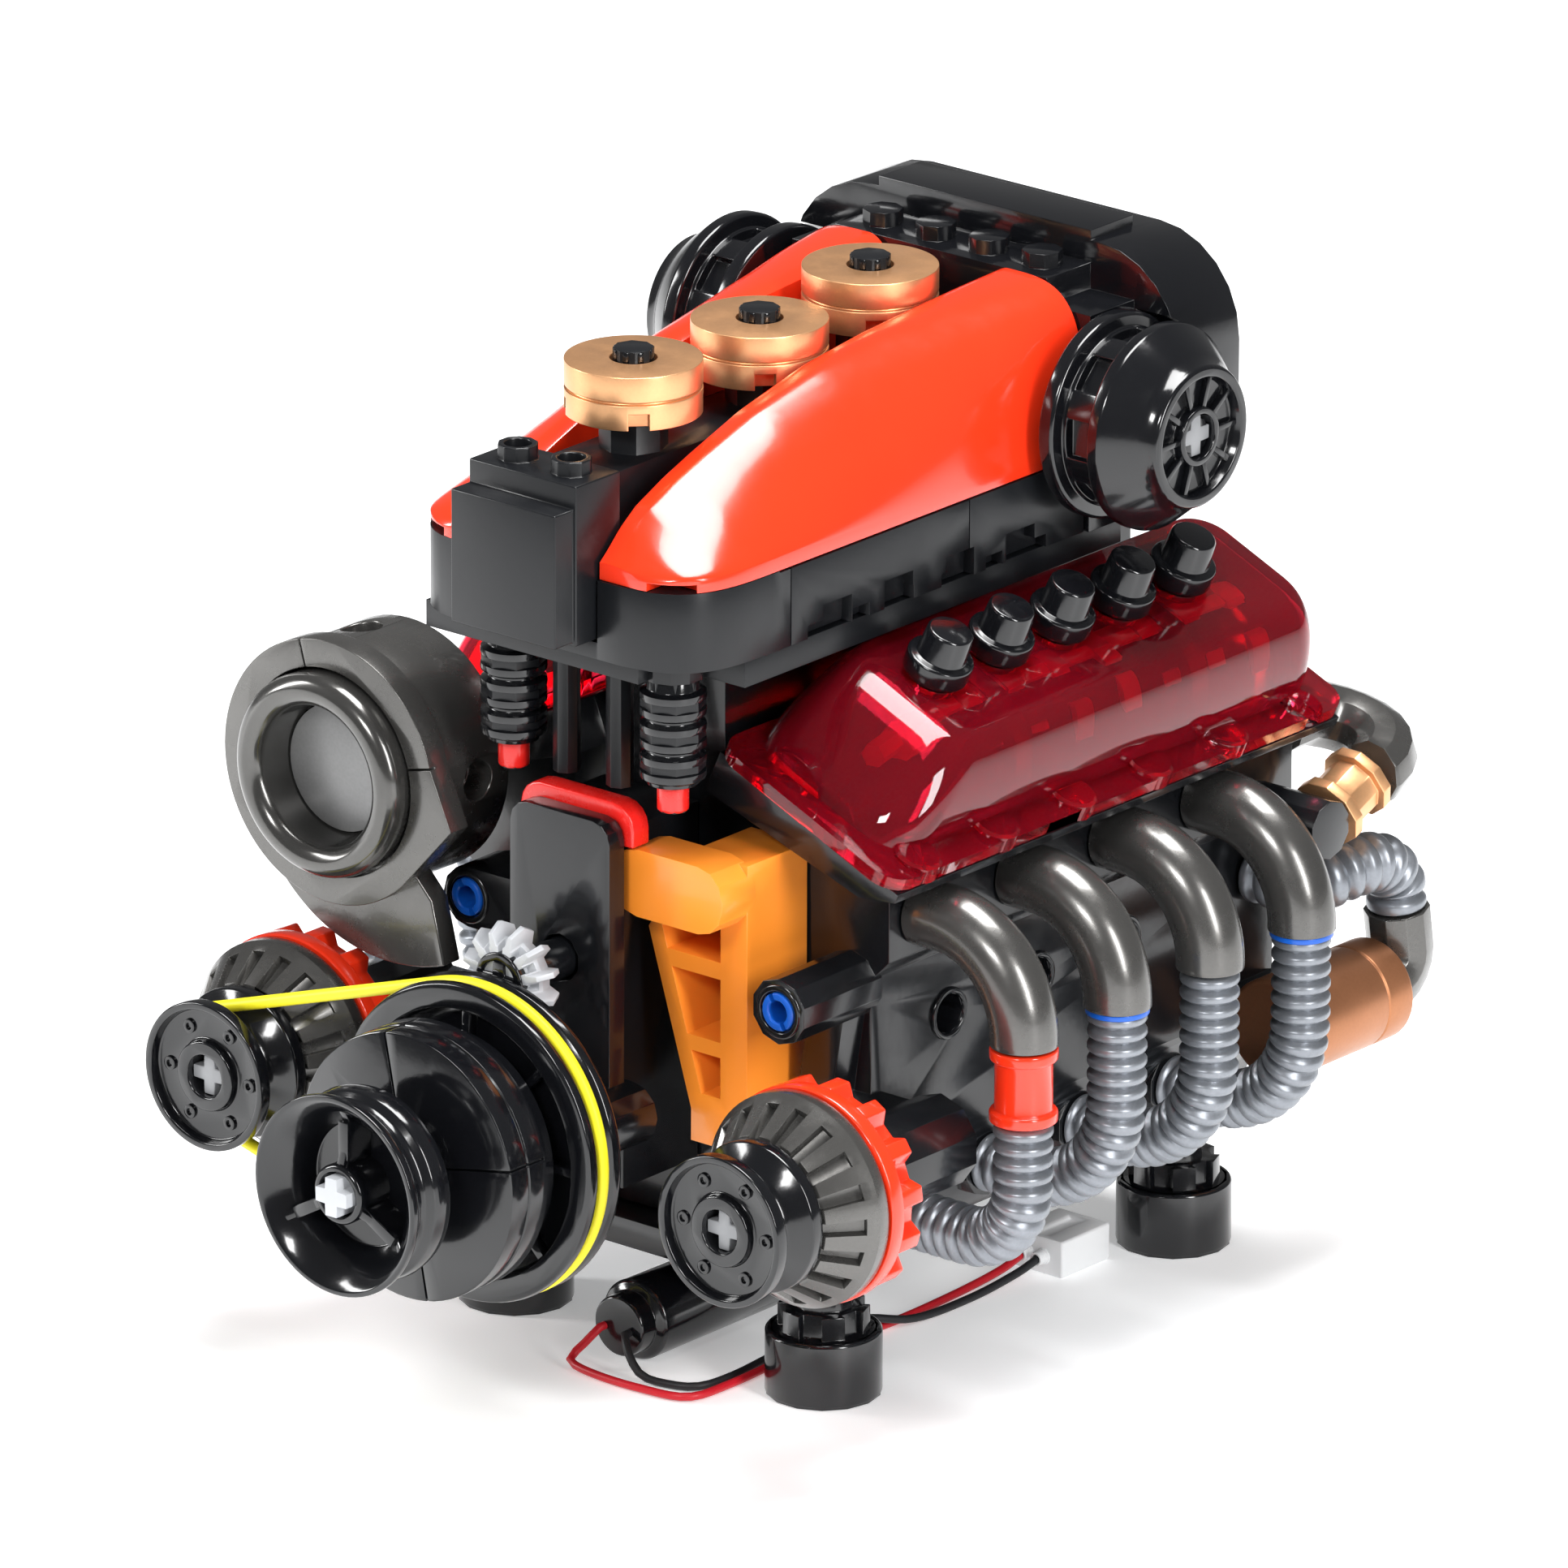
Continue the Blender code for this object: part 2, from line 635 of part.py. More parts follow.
def facing_side(x, y, z, side=1):
    """Frame with local z towards the engine's right, or its left where side is -1."""
    return placement((x, y, z), (0, side, 0), (side, 0, 0))


def facing_up(x, y, z):
    """Frame with local axes along the world's."""
    return Matrix.Translation((x, y, z))


def head_point(inward, up):
    """Return X and Z of a point on the right head, from its outer lower flange edge."""
    x = HEAD_OUTER_X + inward * HEAD_INWARD[0] + up * HEAD_UP[0]
    z = HEAD_OUTER_Z + inward * HEAD_INWARD[1] + up * HEAD_UP[1]
    return x, z


def on_head(inward, y, up=0):
    """Frame on the right head with local z along its slanted upward direction."""
    x, z = head_point(inward, up)
    return placement((x, y, z), (HEAD_INWARD[0], 0, HEAD_INWARD[1]), (HEAD_UP[0], 0, HEAD_UP[1]))


def prism(outline, thickness, frame, holes=()):
    """Extrude a flat outline with holes, half its thickness to each side of its frame."""
    curve = bpy.data.curves.new("outline", "CURVE")
    curve.dimensions = "2D"
    curve.fill_mode = "BOTH"
    curve.extrude = thickness / 2
    for loop in (outline, *holes):
        spline = curve.splines.new("POLY")
        spline.points.add(len(loop) - 1)
        spline.use_cyclic_u = True
        for point, (x, y) in zip(spline.points, loop):
            point.co = (x, y, 0, 1)
    return settled(placed(curve, frame))


def slab(outline, low, high, holes=()):
    """Extrude an outline seen from the front between two depths."""
    return prism(outline, high - low, facing_front(0, (low + high) / 2, 0), holes)


def layer(outline, low, high, holes=()):
    """Extrude an outline seen from above between two heights."""
    return prism(outline, high - low, facing_up(0, 0, (low + high) / 2), holes)


def box(low, high):
    """Make a box between two opposite corners."""
    mesh = bpy.data.meshes.new("box")
    work = bmesh.new()
    size = Vector(high) - Vector(low)
    middle = (Vector(high) + Vector(low)) / 2
    bmesh.ops.create_cube(work, size=1, matrix=Matrix.LocRotScale(middle, None, size))
    work.to_mesh(mesh)
    work.free()
    return placed(mesh, Matrix.Identity(4))


def cylinder(radius, length, frame, segments=SMALL_SEGMENTS, end_radius=None):
    """Make a cylinder or cone from a frame's origin along its local z."""
    mesh = bpy.data.meshes.new("cylinder")
    work = bmesh.new()
    far_radius = radius if end_radius is None else end_radius
    bmesh.ops.create_cone(work, cap_ends=True, segments=segments, radius1=radius, radius2=far_radius,
                          depth=length, matrix=frame @ Matrix.Translation((0, 0, length / 2)))
    work.to_mesh(mesh)
    work.free()
    return placed(mesh, Matrix.Identity(4))


def turned(profile, frame, segments=SMALL_SEGMENTS, ring=False):
    """Spin radii and heights, given from the top down the outer side, round local z."""
    mesh = bpy.data.meshes.new("profile")
    edges = [(index, index + 1) for index in range(len(profile) - 1)]
    if ring:
        edges.append((len(profile) - 1, 0))
    mesh.from_pydata([(radius, 0, height) for radius, height in profile], edges, [])
    spun = placed(mesh, frame)
    spin = spun.modifiers.new("spin", "SCREW")
    spin.steps = segments
    spin.render_steps = segments
    spin.use_merge_vertices = True
    spin.merge_threshold = WELD
    return settled(spun)


def tube(route, radius, resolution=2, shares=None):
    """Run a round tube along points, thinned at each by its share of the radius."""
    curve = bpy.data.curves.new("route", "CURVE")
    curve.dimensions = "3D"
    curve.bevel_depth = radius
    curve.bevel_resolution = resolution
    curve.use_fill_caps = True
    spline = curve.splines.new("POLY")
    spline.points.add(len(route) - 1)
    for index, (point, place) in enumerate(zip(spline.points, route)):
        point.co = (*place, 1)
        point.radius = shares[index] if shares else 1
    return settled(placed(curve, Matrix.Identity(4)))


def loft(rings):
    """Skin a solid over rings of equal point counts and close both ends."""
    mesh = bpy.data.meshes.new("loft")
    work = bmesh.new()
    rows = [[work.verts.new(point) for point in ring] for ring in rings]
    count = len(rows[0])
    for near, far in zip(rows, rows[1:]):
        for index in range(count):
            after = (index + 1) % count
            work.faces.new((near[index], near[after], far[after], far[index]))
    work.faces.new(rows[0])
    work.faces.new(rows[-1])
    work.to_mesh(mesh)
    work.free()
    return settled(placed(mesh, Matrix.Identity(4)))


def flipped(solid):
    """Move a solid to the engine's other side."""
    solid.data.transform(Matrix.Scale(-1, 4, (1, 0, 0)))
    solid.data.flip_normals()
    return solid


def mirrored(solid):
    """Copy a solid to the engine's other side."""
    return flipped(placed(solid.data.copy(), Matrix.Identity(4)))


def finish(solid, name, look, pivot=(0, 0, 0)):
    """Name a solid, give it its plastic and put its origin on its pivot."""
    mesh = solid.data
    mesh.transform(Matrix.Translation(-Vector(pivot)))
    solid.location = pivot
    solid.name = name
    mesh.name = name
    mesh.materials.clear()
    mesh.materials.append(material(look))
    mesh.shade_smooth()
    mesh.set_sharp_from_angle(angle=math.radians(35))
    return solid


def arc(centre, radius, start, end, steps):
    """Return points on an arc between two angles in degrees, both ends included."""
    points = []
    for step in range(steps + 1):
        angle = math.radians(start + (end - start) * step / steps)
        points.append((centre[0] + radius * math.cos(angle), centre[1] + radius * math.sin(angle)))
    return points


def rounded_box(left, right, low, high, radius, steps=3):
    """Return a rectangle's outline with round corners."""
    corners = (
        ((right - radius, high - radius), 0),
        ((left + radius, high - radius), 90),
        ((left + radius, low + radius), 180),
        ((right - radius, low + radius), 270),
    )
    outline = []
    for centre, start in corners:
        outline += arc(centre, radius, start, start + 90, steps)
    return outline


def circle(centre, radius, segments=SMALL_SEGMENTS):
    """Return a circle's outline."""
    return arc(centre, radius, 0, 360 - 360 / segments, segments - 1)


def around(count, start=0.0):
    """Yield the angles in radians of evenly spread copies."""
    for index in range(count):
        yield start + math.tau * index / count


def mirror_outline(right):
    """Return a symmetric outline from the points of its right half, bottom to top."""
    return right + [(-x, y) for x, y in reversed(right)]


def stadium(start, end, radius, steps=6):
    """Return the outline of a flat beam with round ends between two points."""
    heading = math.degrees(math.atan2(end[1] - start[1], end[0] - start[0]))
    far_end = arc(end, radius, heading - 90, heading + 90, steps)
    return far_end + arc(start, radius, heading + 90, heading + 270, steps)


def cross(reach, half_width):
    """Return the outline of a cross axle, or of the hole for one."""
    outline = []
    for turn in range(4):
        across = (math.cos(math.tau * turn / 4), math.sin(math.tau * turn / 4))
        tip = half_width * AXLE_TIP_SHARE
        for along, aside in ((reach, -tip), (reach, tip), (half_width, half_width)):
            x = along * across[0] - aside * across[1]
            y = along * across[1] + aside * across[0]
            outline.append((x, y))
    return outline


def axle_hole(z, front_y, back_y, x=0.0):
    """Return a cutter for a cross axle's hole along Y."""
    outline = cross(AXLE_RADIUS + SEAT_GAP, AXLE_HALF_WIDTH + SEAT_GAP)
    length = back_y - front_y + 2 * OVERRUN
    return prism(outline, length, facing_front(x, (front_y + back_y) / 2, z))


def bore(radius, x, z, front_y, back_y, segments=SMALL_SEGMENTS):
    """Return a round cutter along Y that runs past both faces."""
    length = back_y - front_y + 2 * OVERRUN
    return cylinder(radius, length, facing_front(x, back_y + OVERRUN, z), segments)


# Engine block

def block_outline():
    """Return the block's front outline: crankcase, cylinder banks and intake tower."""
    flange_edge = head_point(0, -SEAT_GAP)
    right = [
        (BLOCK_BASE_HALF, BLOCK_BASE_Z),
        (BLOCK_HALF, BLOCK_SHOULDER_Z),
        (BLOCK_HALF, BLOCK_EAVE_Z),
        (PORT_FACE_X, PORT_FACE_LOW_Z),
        (PORT_FACE_X, PORT_FACE_HIGH_Z),
        head_point(0, -SEAT_GAP - HEAD_LIP),
        flange_edge,
        head_point(HEAD_WIDTH, -SEAT_GAP),
        (TOWER_HALF, VALLEY_Z),
        (TOWER_HALF, TOWER_TOP_Z),
    ]
    return mirror_outline(right)


def head_outline():
    """Return the right head's slab, which stands out at the front and back of the block."""
    return [
        (PORT_FACE_X, PORT_FACE_HIGH_Z),
        head_point(0, -SEAT_GAP - HEAD_LIP),
        head_point(0, -SEAT_GAP),
        head_point(HEAD_WIDTH, -SEAT_GAP),
        head_point(HEAD_WIDTH, -HEAD_DEPTH),
    ]


def crankcase_chamber(front_y, back_y):
    """Return the cutter for one chamber, round above the crank and open below."""
    outline = arc((0, CRANK_Z), CRANKCASE_RADIUS, 0, 180, 10)
    outline.append((-CRANKCASE_RADIUS, BLOCK_BASE_Z - OVERRUN))
    outline.append((CRANKCASE_RADIUS, BLOCK_BASE_Z - OVERRUN))
    return slab(outline, front_y, back_y)


def camshaft_pedestals():
    """Return the right head's bearing walls with a running hole for the camshaft."""
    pedestals = []
    for lobe in CAM_PEDESTAL_AFTER_LOBES:
        y = CAM_LOBE_FIRST_Y + (lobe + 0.5) * CAM_LOBE_PITCH
        outline = [
            (-CAM_PEDESTAL_HALF, -SEAT_GAP - OVERRUN),
            (CAM_PEDESTAL_HALF, -SEAT_GAP - OVERRUN),
            (CAM_PEDESTAL_TOP_HALF, CAM_HEIGHT + CAM_PEDESTAL_TOP),
            (-CAM_PEDESTAL_TOP_HALF, CAM_HEIGHT + CAM_PEDESTAL_TOP),
        ]
        hole = circle((0, CAM_HEIGHT), CAM_RADIUS + RUNNING_GAP, PIN_SEGMENTS)
        frame = across_head(CAM_INWARD, y, 0)
        pedestals.append(prism(outline, CAM_PEDESTAL_WIDTH, frame, (hole,)))
    return pedestals


def across_head(inward, y, up):
    """Frame on the right head with local x outward, y up from the flange, z to the front."""
    x, z = head_point(inward, up)
    return placement((x, y, z), (-HEAD_INWARD[0], 0, -HEAD_INWARD[1]), (0, -1, 0))


def pipe_y(index):
    """Return the Y of one exhaust port, counted from the front."""
    return PIPE_FIRST_Y + index * PIPE_PITCH


def make_engine_block():
    """Build the block with its heads, chambers, bosses, front hubs and wheel barrels."""
    block = slab(block_outline(), BLOCK_FRONT_Y, BLOCK_BACK_Y)
    right_head = slab(head_outline(), HEAD_FRONT_Y, HEAD_BACK_Y)
    block = joined(block, mirrored(right_head), right_head)
    middle_y = (CRANKCASE_FRONT_Y + CRANKCASE_BACK_Y) / 2
    block = cut(
        block,
        crankcase_chamber(CRANKCASE_FRONT_Y, middle_y - BEARING_WALL / 2),
        crankcase_chamber(middle_y + BEARING_WALL / 2, CRANKCASE_BACK_Y),
        bore(SHAFT_RADIUS + SEAT_GAP, 0, CRANK_Z, BLOCK_FRONT_Y, BLOCK_BACK_Y),
    )
    for pedestal in camshaft_pedestals():
        block = joined(block, mirrored(pedestal), pedestal)
    for side in (1, -1):
        for index in range(PIPE_COUNT):
            boss_z = SHORT_HOSE_Z if side == 1 and index == 0 else HOSE_BOSS_Z
            start = facing_side(side * BOSS_ROOT_X, pipe_y(index), boss_z, side)
            block = joined(block, cylinder(HOSE_BOSS_RADIUS, HOSE_BOSS_X - BOSS_ROOT_X, start))
        for index in range(SIDE_HOLE_COUNT):
            y = SIDE_HOLE_FIRST_Y + index * SIDE_HOLE_PITCH
            start = facing_side(side * (BLOCK_HALF - SIDE_HOLE_DEPTH), y, SIDE_HOLE_Z, side)
            block = cut(block, cylinder(PIN_HOLE_RADIUS, SIDE_HOLE_DEPTH + OVERRUN, start, PIN_SEGMENTS))
        block = joined(block, *wheel_carrier(side))
        block = cut(block, bore(SHAFT_RADIUS + SEAT_GAP, side * SIDE_WHEEL_X, SIDE_WHEEL_Z,
                                BARREL_FRONT_Y, BARREL_BACK_Y))
    block = joined(block, *front_hub(), turbo_seat(), *rear_brackets())
    block = cut(block, cylinder(PIN_HOLE_RADIUS, SIDE_HOLE_DEPTH + OVERRUN,
                                placement((HUB_X, HUB_FRONT_Y - OVERRUN, HUB_Z), (1, 0, 0), (0, 1, 0)),
                                PIN_SEGMENTS))
    return finish(block, "engine_block", "black")


def wheel_carrier(side):
    """Return the beam and the barrel that carry one front side wheel."""
    inner_x, outer_x = sorted((side * BARREL_ARM_INNER_X, side * SIDE_WHEEL_X))
    low = (inner_x, BARREL_ARM_FRONT_Y, SIDE_WHEEL_Z - BEAM_HALF)
    high = (outer_x, BARREL_BACK_Y, SIDE_WHEEL_Z + BEAM_HALF)
    barrel = cylinder(BARREL_RADIUS, BARREL_BACK_Y - BARREL_FRONT_Y,
                      facing_front(side * SIDE_WHEEL_X, BARREL_BACK_Y, SIDE_WHEEL_Z))
    return box(low, high), barrel


def front_hub():
    """Return the short axle hub at the right front and the strut below it."""
    hub = cylinder(HUB_RADIUS, BLOCK_FRONT_Y + OVERRUN - HUB_FRONT_Y,
                   facing_front(HUB_X, BLOCK_FRONT_Y + OVERRUN, HUB_Z))
    strut = slab(stadium((HUB_X, HUB_Z), (STRUT_FOOT_X, STRUT_FOOT_Z), STRUT_WIDTH / 2),
                 BLOCK_FRONT_Y - STRUT_BACK_INSET, BLOCK_FRONT_Y + OVERRUN)
    return hub, strut


def turbo_seat():
    """Return the pad on the left head that the turbo housing is fixed to."""
    low = (TURBO_SEAT_OUTER_X, TURBO_BACK_Y + SEAT_GAP, TURBO_SEAT_LOW_Z)
    high = (TURBO_SEAT_INNER_X, HEAD_FRONT_Y + OVERRUN, TURBO_SEAT_HIGH_Z)
    return box(low, high)


def rear_brackets():
    """Return the boss behind the gold coupler and the pad beside the canister."""
    boss = cylinder(REAR_BOSS_RADIUS, REAR_BOSS_X - BOSS_ROOT_X,
                    facing_side(BOSS_ROOT_X, REAR_BOSS_Y, REAR_BOSS_Z))
    pad = box((BOSS_ROOT_X, CANISTER_PAD_FRONT_Y, CANISTER_Z - BEAM_HALF / 2),
              (CANISTER_X - CANISTER_RADIUS - SEAT_GAP, BLOCK_BACK_Y, CANISTER_Z + BEAM_HALF / 2))
    return boss, pad


# Stands

def make_stand(name, foot_y):
    """Build a pair of round feet under a beam that carries the block."""
    beam = layer(stadium((-FOOT_X, foot_y), (FOOT_X, foot_y), BEAM_HALF), STAND_BEAM_Z, STAND_TOP_Z)
    for side in (1, -1):
        cup = turned(
            [
                (0, FOOT_HEIGHT), (FOOT_RADIUS - FOOT_CHAMFER, FOOT_HEIGHT),
                (FOOT_RADIUS, FOOT_HEIGHT - FOOT_CHAMFER), (FOOT_RADIUS, 0), (0, 0),
            ],
            facing_up(side * FOOT_X, foot_y, 0), WHEEL_SEGMENTS)
        outline = toothed((side * FOOT_X, foot_y), SPLINE_ROOT_RADIUS, SPLINE_RADIUS, SPLINE_TEETH,
                          TOOTH_TURN)
        spline = layer(outline, FOOT_HEIGHT - OVERRUN, SPLINE_TOP_Z)
        post = cylinder(FOOT_POST_RADIUS, STAND_BEAM_Z + OVERRUN - FOOT_HEIGHT,
                        facing_up(side * FOOT_X, foot_y, FOOT_HEIGHT))
        beam = joined(beam, cup, spline, post)
    return finish(beam, name, "black")


def toothed(centre, root, tip, count, first=0.0):
    """Return the outline of a wheel with square teeth as wide as their gaps."""
    outline = []
    for angle in around(count, first):
        for share, radius in SQUARE_TOOTH_SHARES:
            turn = angle + share * math.tau / count
            reach = root + radius * (tip - root)
            outline.append((centre[0] + reach * math.cos(turn), centre[1] + reach * math.sin(turn)))
    return outline


# Front cover, arch and bracket

def make_front_cover():
    """Build the front panel on its neck, the body behind it, the crank beam and the ear."""
    panel_back_y = COVER_PANEL_FRONT_Y + COVER_PANEL_THICKNESS
    panel = rounded_box(-COVER_PANEL_HALF, COVER_PANEL_HALF, COVER_PANEL_LOW_Z, COVER_PANEL_HIGH_Z,
                        COVER_PANEL_CORNER)
    cover = slab(panel, COVER_PANEL_FRONT_Y, panel_back_y)
    neck = box((COVER_NECK_LEFT_X, panel_back_y - OVERRUN, COVER_PANEL_LOW_Z + OVERRUN),
               (COVER_NECK_RIGHT_X, COVER_BODY_FRONT_Y + OVERRUN, COVER_NECK_TOP_Z))
    body = box((COVER_BODY_LEFT_X, COVER_BODY_FRONT_Y, COVER_BODY_LOW_Z),
               (COVER_BODY_RIGHT_X, COVER_BODY_BACK_Y, COVER_BODY_HIGH_Z))
    beam = slab(stadium((-CRANK_BEAM_HALF, CRANK_Z), (CRANK_BEAM_HALF, CRANK_Z), BEAM_HALF),
                CRANK_BEAM_FRONT_Y, panel_back_y + OVERRUN)
    ear = slab(stadium((COVER_BODY_LEFT_X, EAR_Z), (EAR_X, EAR_Z), BEAM_HALF),
               EAR_FRONT_Y, EAR_FRONT_Y + EAR_DEPTH)
    cover = joined(cover, neck, body, beam, ear)
    cover = cut(
        cover,
        bore(SHAFT_RADIUS + SEAT_GAP, 0, CRANK_Z, CRANK_BEAM_FRONT_Y, COVER_BODY_BACK_Y),
        bore(SHAFT_RADIUS + SEAT_GAP, 0, IDLER_Z, COVER_PANEL_FRONT_Y, IDLER_SHAFT_BACK_Y),
        bore(PIN_HOLE_RADIUS, EAR_X, EAR_Z, EAR_FRONT_Y, EAR_FRONT_Y + EAR_DEPTH),
        bore(PIN_HOLE_RADIUS, CRANK_BEAM_HALF, CRANK_Z, CRANK_BEAM_FRONT_Y, panel_back_y),
        bore(PIN_HOLE_RADIUS, -CRANK_BEAM_HALF, CRANK_Z, CRANK_BEAM_FRONT_Y, panel_back_y),
    )
    return finish(cover, "front_cover", "black")


def make_front_arch():
    """Build the red arch that frames the panel's top, with one leg longer."""
    inner = ARCH_HALF - ARCH_WALL
    outline = [(ARCH_HALF, ARCH_RIGHT_FOOT_Z)]
    outline += arc((ARCH_HALF - ARCH_CORNER, ARCH_TOP_Z - ARCH_CORNER), ARCH_CORNER, 0, 90, 4)
    outline += arc((ARCH_CORNER - ARCH_HALF, ARCH_TOP_Z - ARCH_CORNER), ARCH_CORNER, 90, 180, 4)
    outline += [
        (-ARCH_HALF, ARCH_LEFT_FOOT_Z), (-inner, ARCH_LEFT_FOOT_Z),
        (-inner, ARCH_TOP_Z - ARCH_WALL), (inner, ARCH_TOP_Z - ARCH_WALL), (inner, ARCH_RIGHT_FOOT_Z),
    ]
    return finish(slab(outline, ARCH_FRONT_Y, ARCH_BACK_Y), "front_arch", "red")


def bracket_left_x(z):
    """Return the lattice bracket's slanted left edge at a height."""
    share = (BRACKET_SHOULDER_Z - z) / (BRACKET_SHOULDER_Z - BRACKET_ANKLE_Z)
    return BRACKET_SHOULDER_X + share * (BRACKET_FOOT_LEFT_X - BRACKET_SHOULDER_X)


def make_lattice_bracket():
    """Build the tapering lattice with its windows, its foot and the capsule at its top."""
    outline = [
        (BRACKET_FOOT_LEFT_X, BRACKET_FOOT_Z), (BRACKET_FOOT_RIGHT_X, BRACKET_FOOT_Z),
        (BRACKET_FOOT_RIGHT_X, BRACKET_ANKLE_Z), (BRACKET_RIGHT_X, BRACKET_ANKLE_Z + BRACKET_RIB),
        (BRACKET_RIGHT_X, BRACKET_TOP_Z), (BRACKET_FOOT_LEFT_X, BRACKET_TOP_Z),
        (BRACKET_SHOULDER_X, BRACKET_SHOULDER_Z), (BRACKET_FOOT_LEFT_X, BRACKET_ANKLE_Z),
    ]
    height = BRACKET_SHOULDER_Z - BRACKET_ANKLE_Z
    windows = []
    for low_share, high_share in BRACKET_WINDOW_SHARES:
        low = BRACKET_ANKLE_Z + low_share * height
        high = BRACKET_ANKLE_Z + high_share * height
        right = BRACKET_RIGHT_X - BRACKET_RAIL
        windows.append([(bracket_left_x(low) + BRACKET_RIB, low), (right, low), (right, high),
                        (bracket_left_x(high) + BRACKET_RIB, high)])
    bracket = slab(outline, BRACKET_FRONT_Y, COVER_BODY_BACK_Y, windows)
    capsule = slab(rounded_box(CAPSULE_LEFT_X, CAPSULE_RIGHT_X, CAPSULE_LOW_Z, CAPSULE_HIGH_Z,
                               CAPSULE_CORNER), CAPSULE_FRONT_Y, BRACKET_FRONT_Y + OVERRUN)
    return finish(joined(bracket, capsule), "lattice_bracket", "orange")


# Crankshaft and what turns with it

def make_crank_axle():
    """Build the cross axle at the nose, the round shaft and its four throws."""
    nose = prism(cross(AXLE_RADIUS, AXLE_HALF_WIDTH), AXLE_NOSE_BACK_Y - NOSE_Y,
                 facing_front(0, (AXLE_NOSE_BACK_Y + NOSE_Y) / 2, CRANK_Z))
    shaft = cylinder(SHAFT_RADIUS, CRANK_BACK_Y - AXLE_NOSE_BACK_Y + OVERRUN,
                     facing_front(0, CRANK_BACK_Y, CRANK_Z))
    axle = joined(shaft, nose)
    middle_y = (CRANKCASE_FRONT_Y + CRANKCASE_BACK_Y) / 2
    for index, angle in enumerate(CRANK_THROW_DEGREES):
        chamber_front = CRANKCASE_FRONT_Y if index < 2 else middle_y + BEARING_WALL / 2
        front_y = chamber_front + WEB_CLEARANCE + (index % 2) * (THROW_LENGTH + WEB_CLEARANCE)
        axle = crank_throw(axle, front_y, math.radians(angle))
    return finish(axle, "crank_axle", "light_grey", (0, 0, CRANK_Z))


def crank_throw(axle, front_y, angle):
    """Cut the shaft away between two webs and set a crankpin off its axis."""
    back_y = front_y + THROW_LENGTH
    pin_x = THROW * math.cos(angle)
    pin_z = CRANK_Z + THROW * math.sin(angle)
    gap = bore(CRANKPIN_RADIUS, 0, CRANK_Z, front_y + WEB_THICKNESS, back_y - WEB_THICKNESS)
    front_web = cylinder(WEB_RADIUS, WEB_THICKNESS, facing_front(0, front_y + WEB_THICKNESS, CRANK_Z),
                         PIN_SEGMENTS)
    back_web = cylinder(WEB_RADIUS, WEB_THICKNESS, facing_front(0, back_y, CRANK_Z), PIN_SEGMENTS)
    pin = cylinder(CRANKPIN_RADIUS, THROW_LENGTH - WEB_THICKNESS,
                   facing_front(pin_x, back_y - WEB_THICKNESS / 2, pin_z), PIN_SEGMENTS)
    return joined(cut(axle, gap), front_web, back_web, pin)


def make_front_hub_wheel():
    """Build the spoked nose wheel: a grooved ring, three spokes, a hub and a bush."""
    back_y = HUB_WHEEL_FRONT_Y + HUB_WHEEL_WIDTH
    groove = HUB_WHEEL_RADIUS - HUB_WHEEL_RIM
    inner = groove - HUB_WHEEL_RIM
    wheel = turned(
        [
            (HUB_WHEEL_RADIUS, HUB_WHEEL_WIDTH), (HUB_WHEEL_RADIUS, HUB_WHEEL_WIDTH - HUB_WHEEL_RIM),
            (groove, HUB_WHEEL_WIDTH - HUB_WHEEL_DISH / 2), (groove, HUB_WHEEL_DISH / 2),
            (HUB_WHEEL_RADIUS, HUB_WHEEL_RIM), (HUB_WHEEL_RADIUS, 0),
            (inner, 0), (inner, HUB_WHEEL_WIDTH - HUB_WHEEL_RIM), (groove, HUB_WHEEL_WIDTH),
        ],
        facing_front(0, back_y, CRANK_Z), WHEEL_SEGMENTS, ring=True)
    hub = cylinder(HUB_WHEEL_HUB_RADIUS, HUB_WHEEL_WIDTH, facing_front(0, back_y, CRANK_Z))
    bush = cylinder(HUB_BUSH_RADIUS, HUB_BUSH_BACK_Y - back_y + HUB_WHEEL_RIM,
                    facing_front(0, HUB_BUSH_BACK_Y, CRANK_Z))
    wheel = joined(hub, bush, wheel)
    for angle in around(HUB_SPOKES, math.tau / 4):
        spoke = box((0, HUB_WHEEL_FRONT_Y + HUB_WHEEL_RIM, -HUB_SPOKE_WIDTH / 2),
                    (inner + HUB_WHEEL_RIM / 2, back_y - HUB_WHEEL_RIM, HUB_SPOKE_WIDTH / 2))
        turn = Matrix.Translation((0, 0, CRANK_Z)) @ Matrix.Rotation(-angle, 4, "Y")
        spoke.data.transform(turn)
        wheel = joined(wheel, spoke)
    wheel = cut(wheel, axle_hole(CRANK_Z, HUB_WHEEL_FRONT_Y, HUB_BUSH_BACK_Y))
    return finish(wheel, "front_hub_wheel", "black", (0, back_y, CRANK_Z))


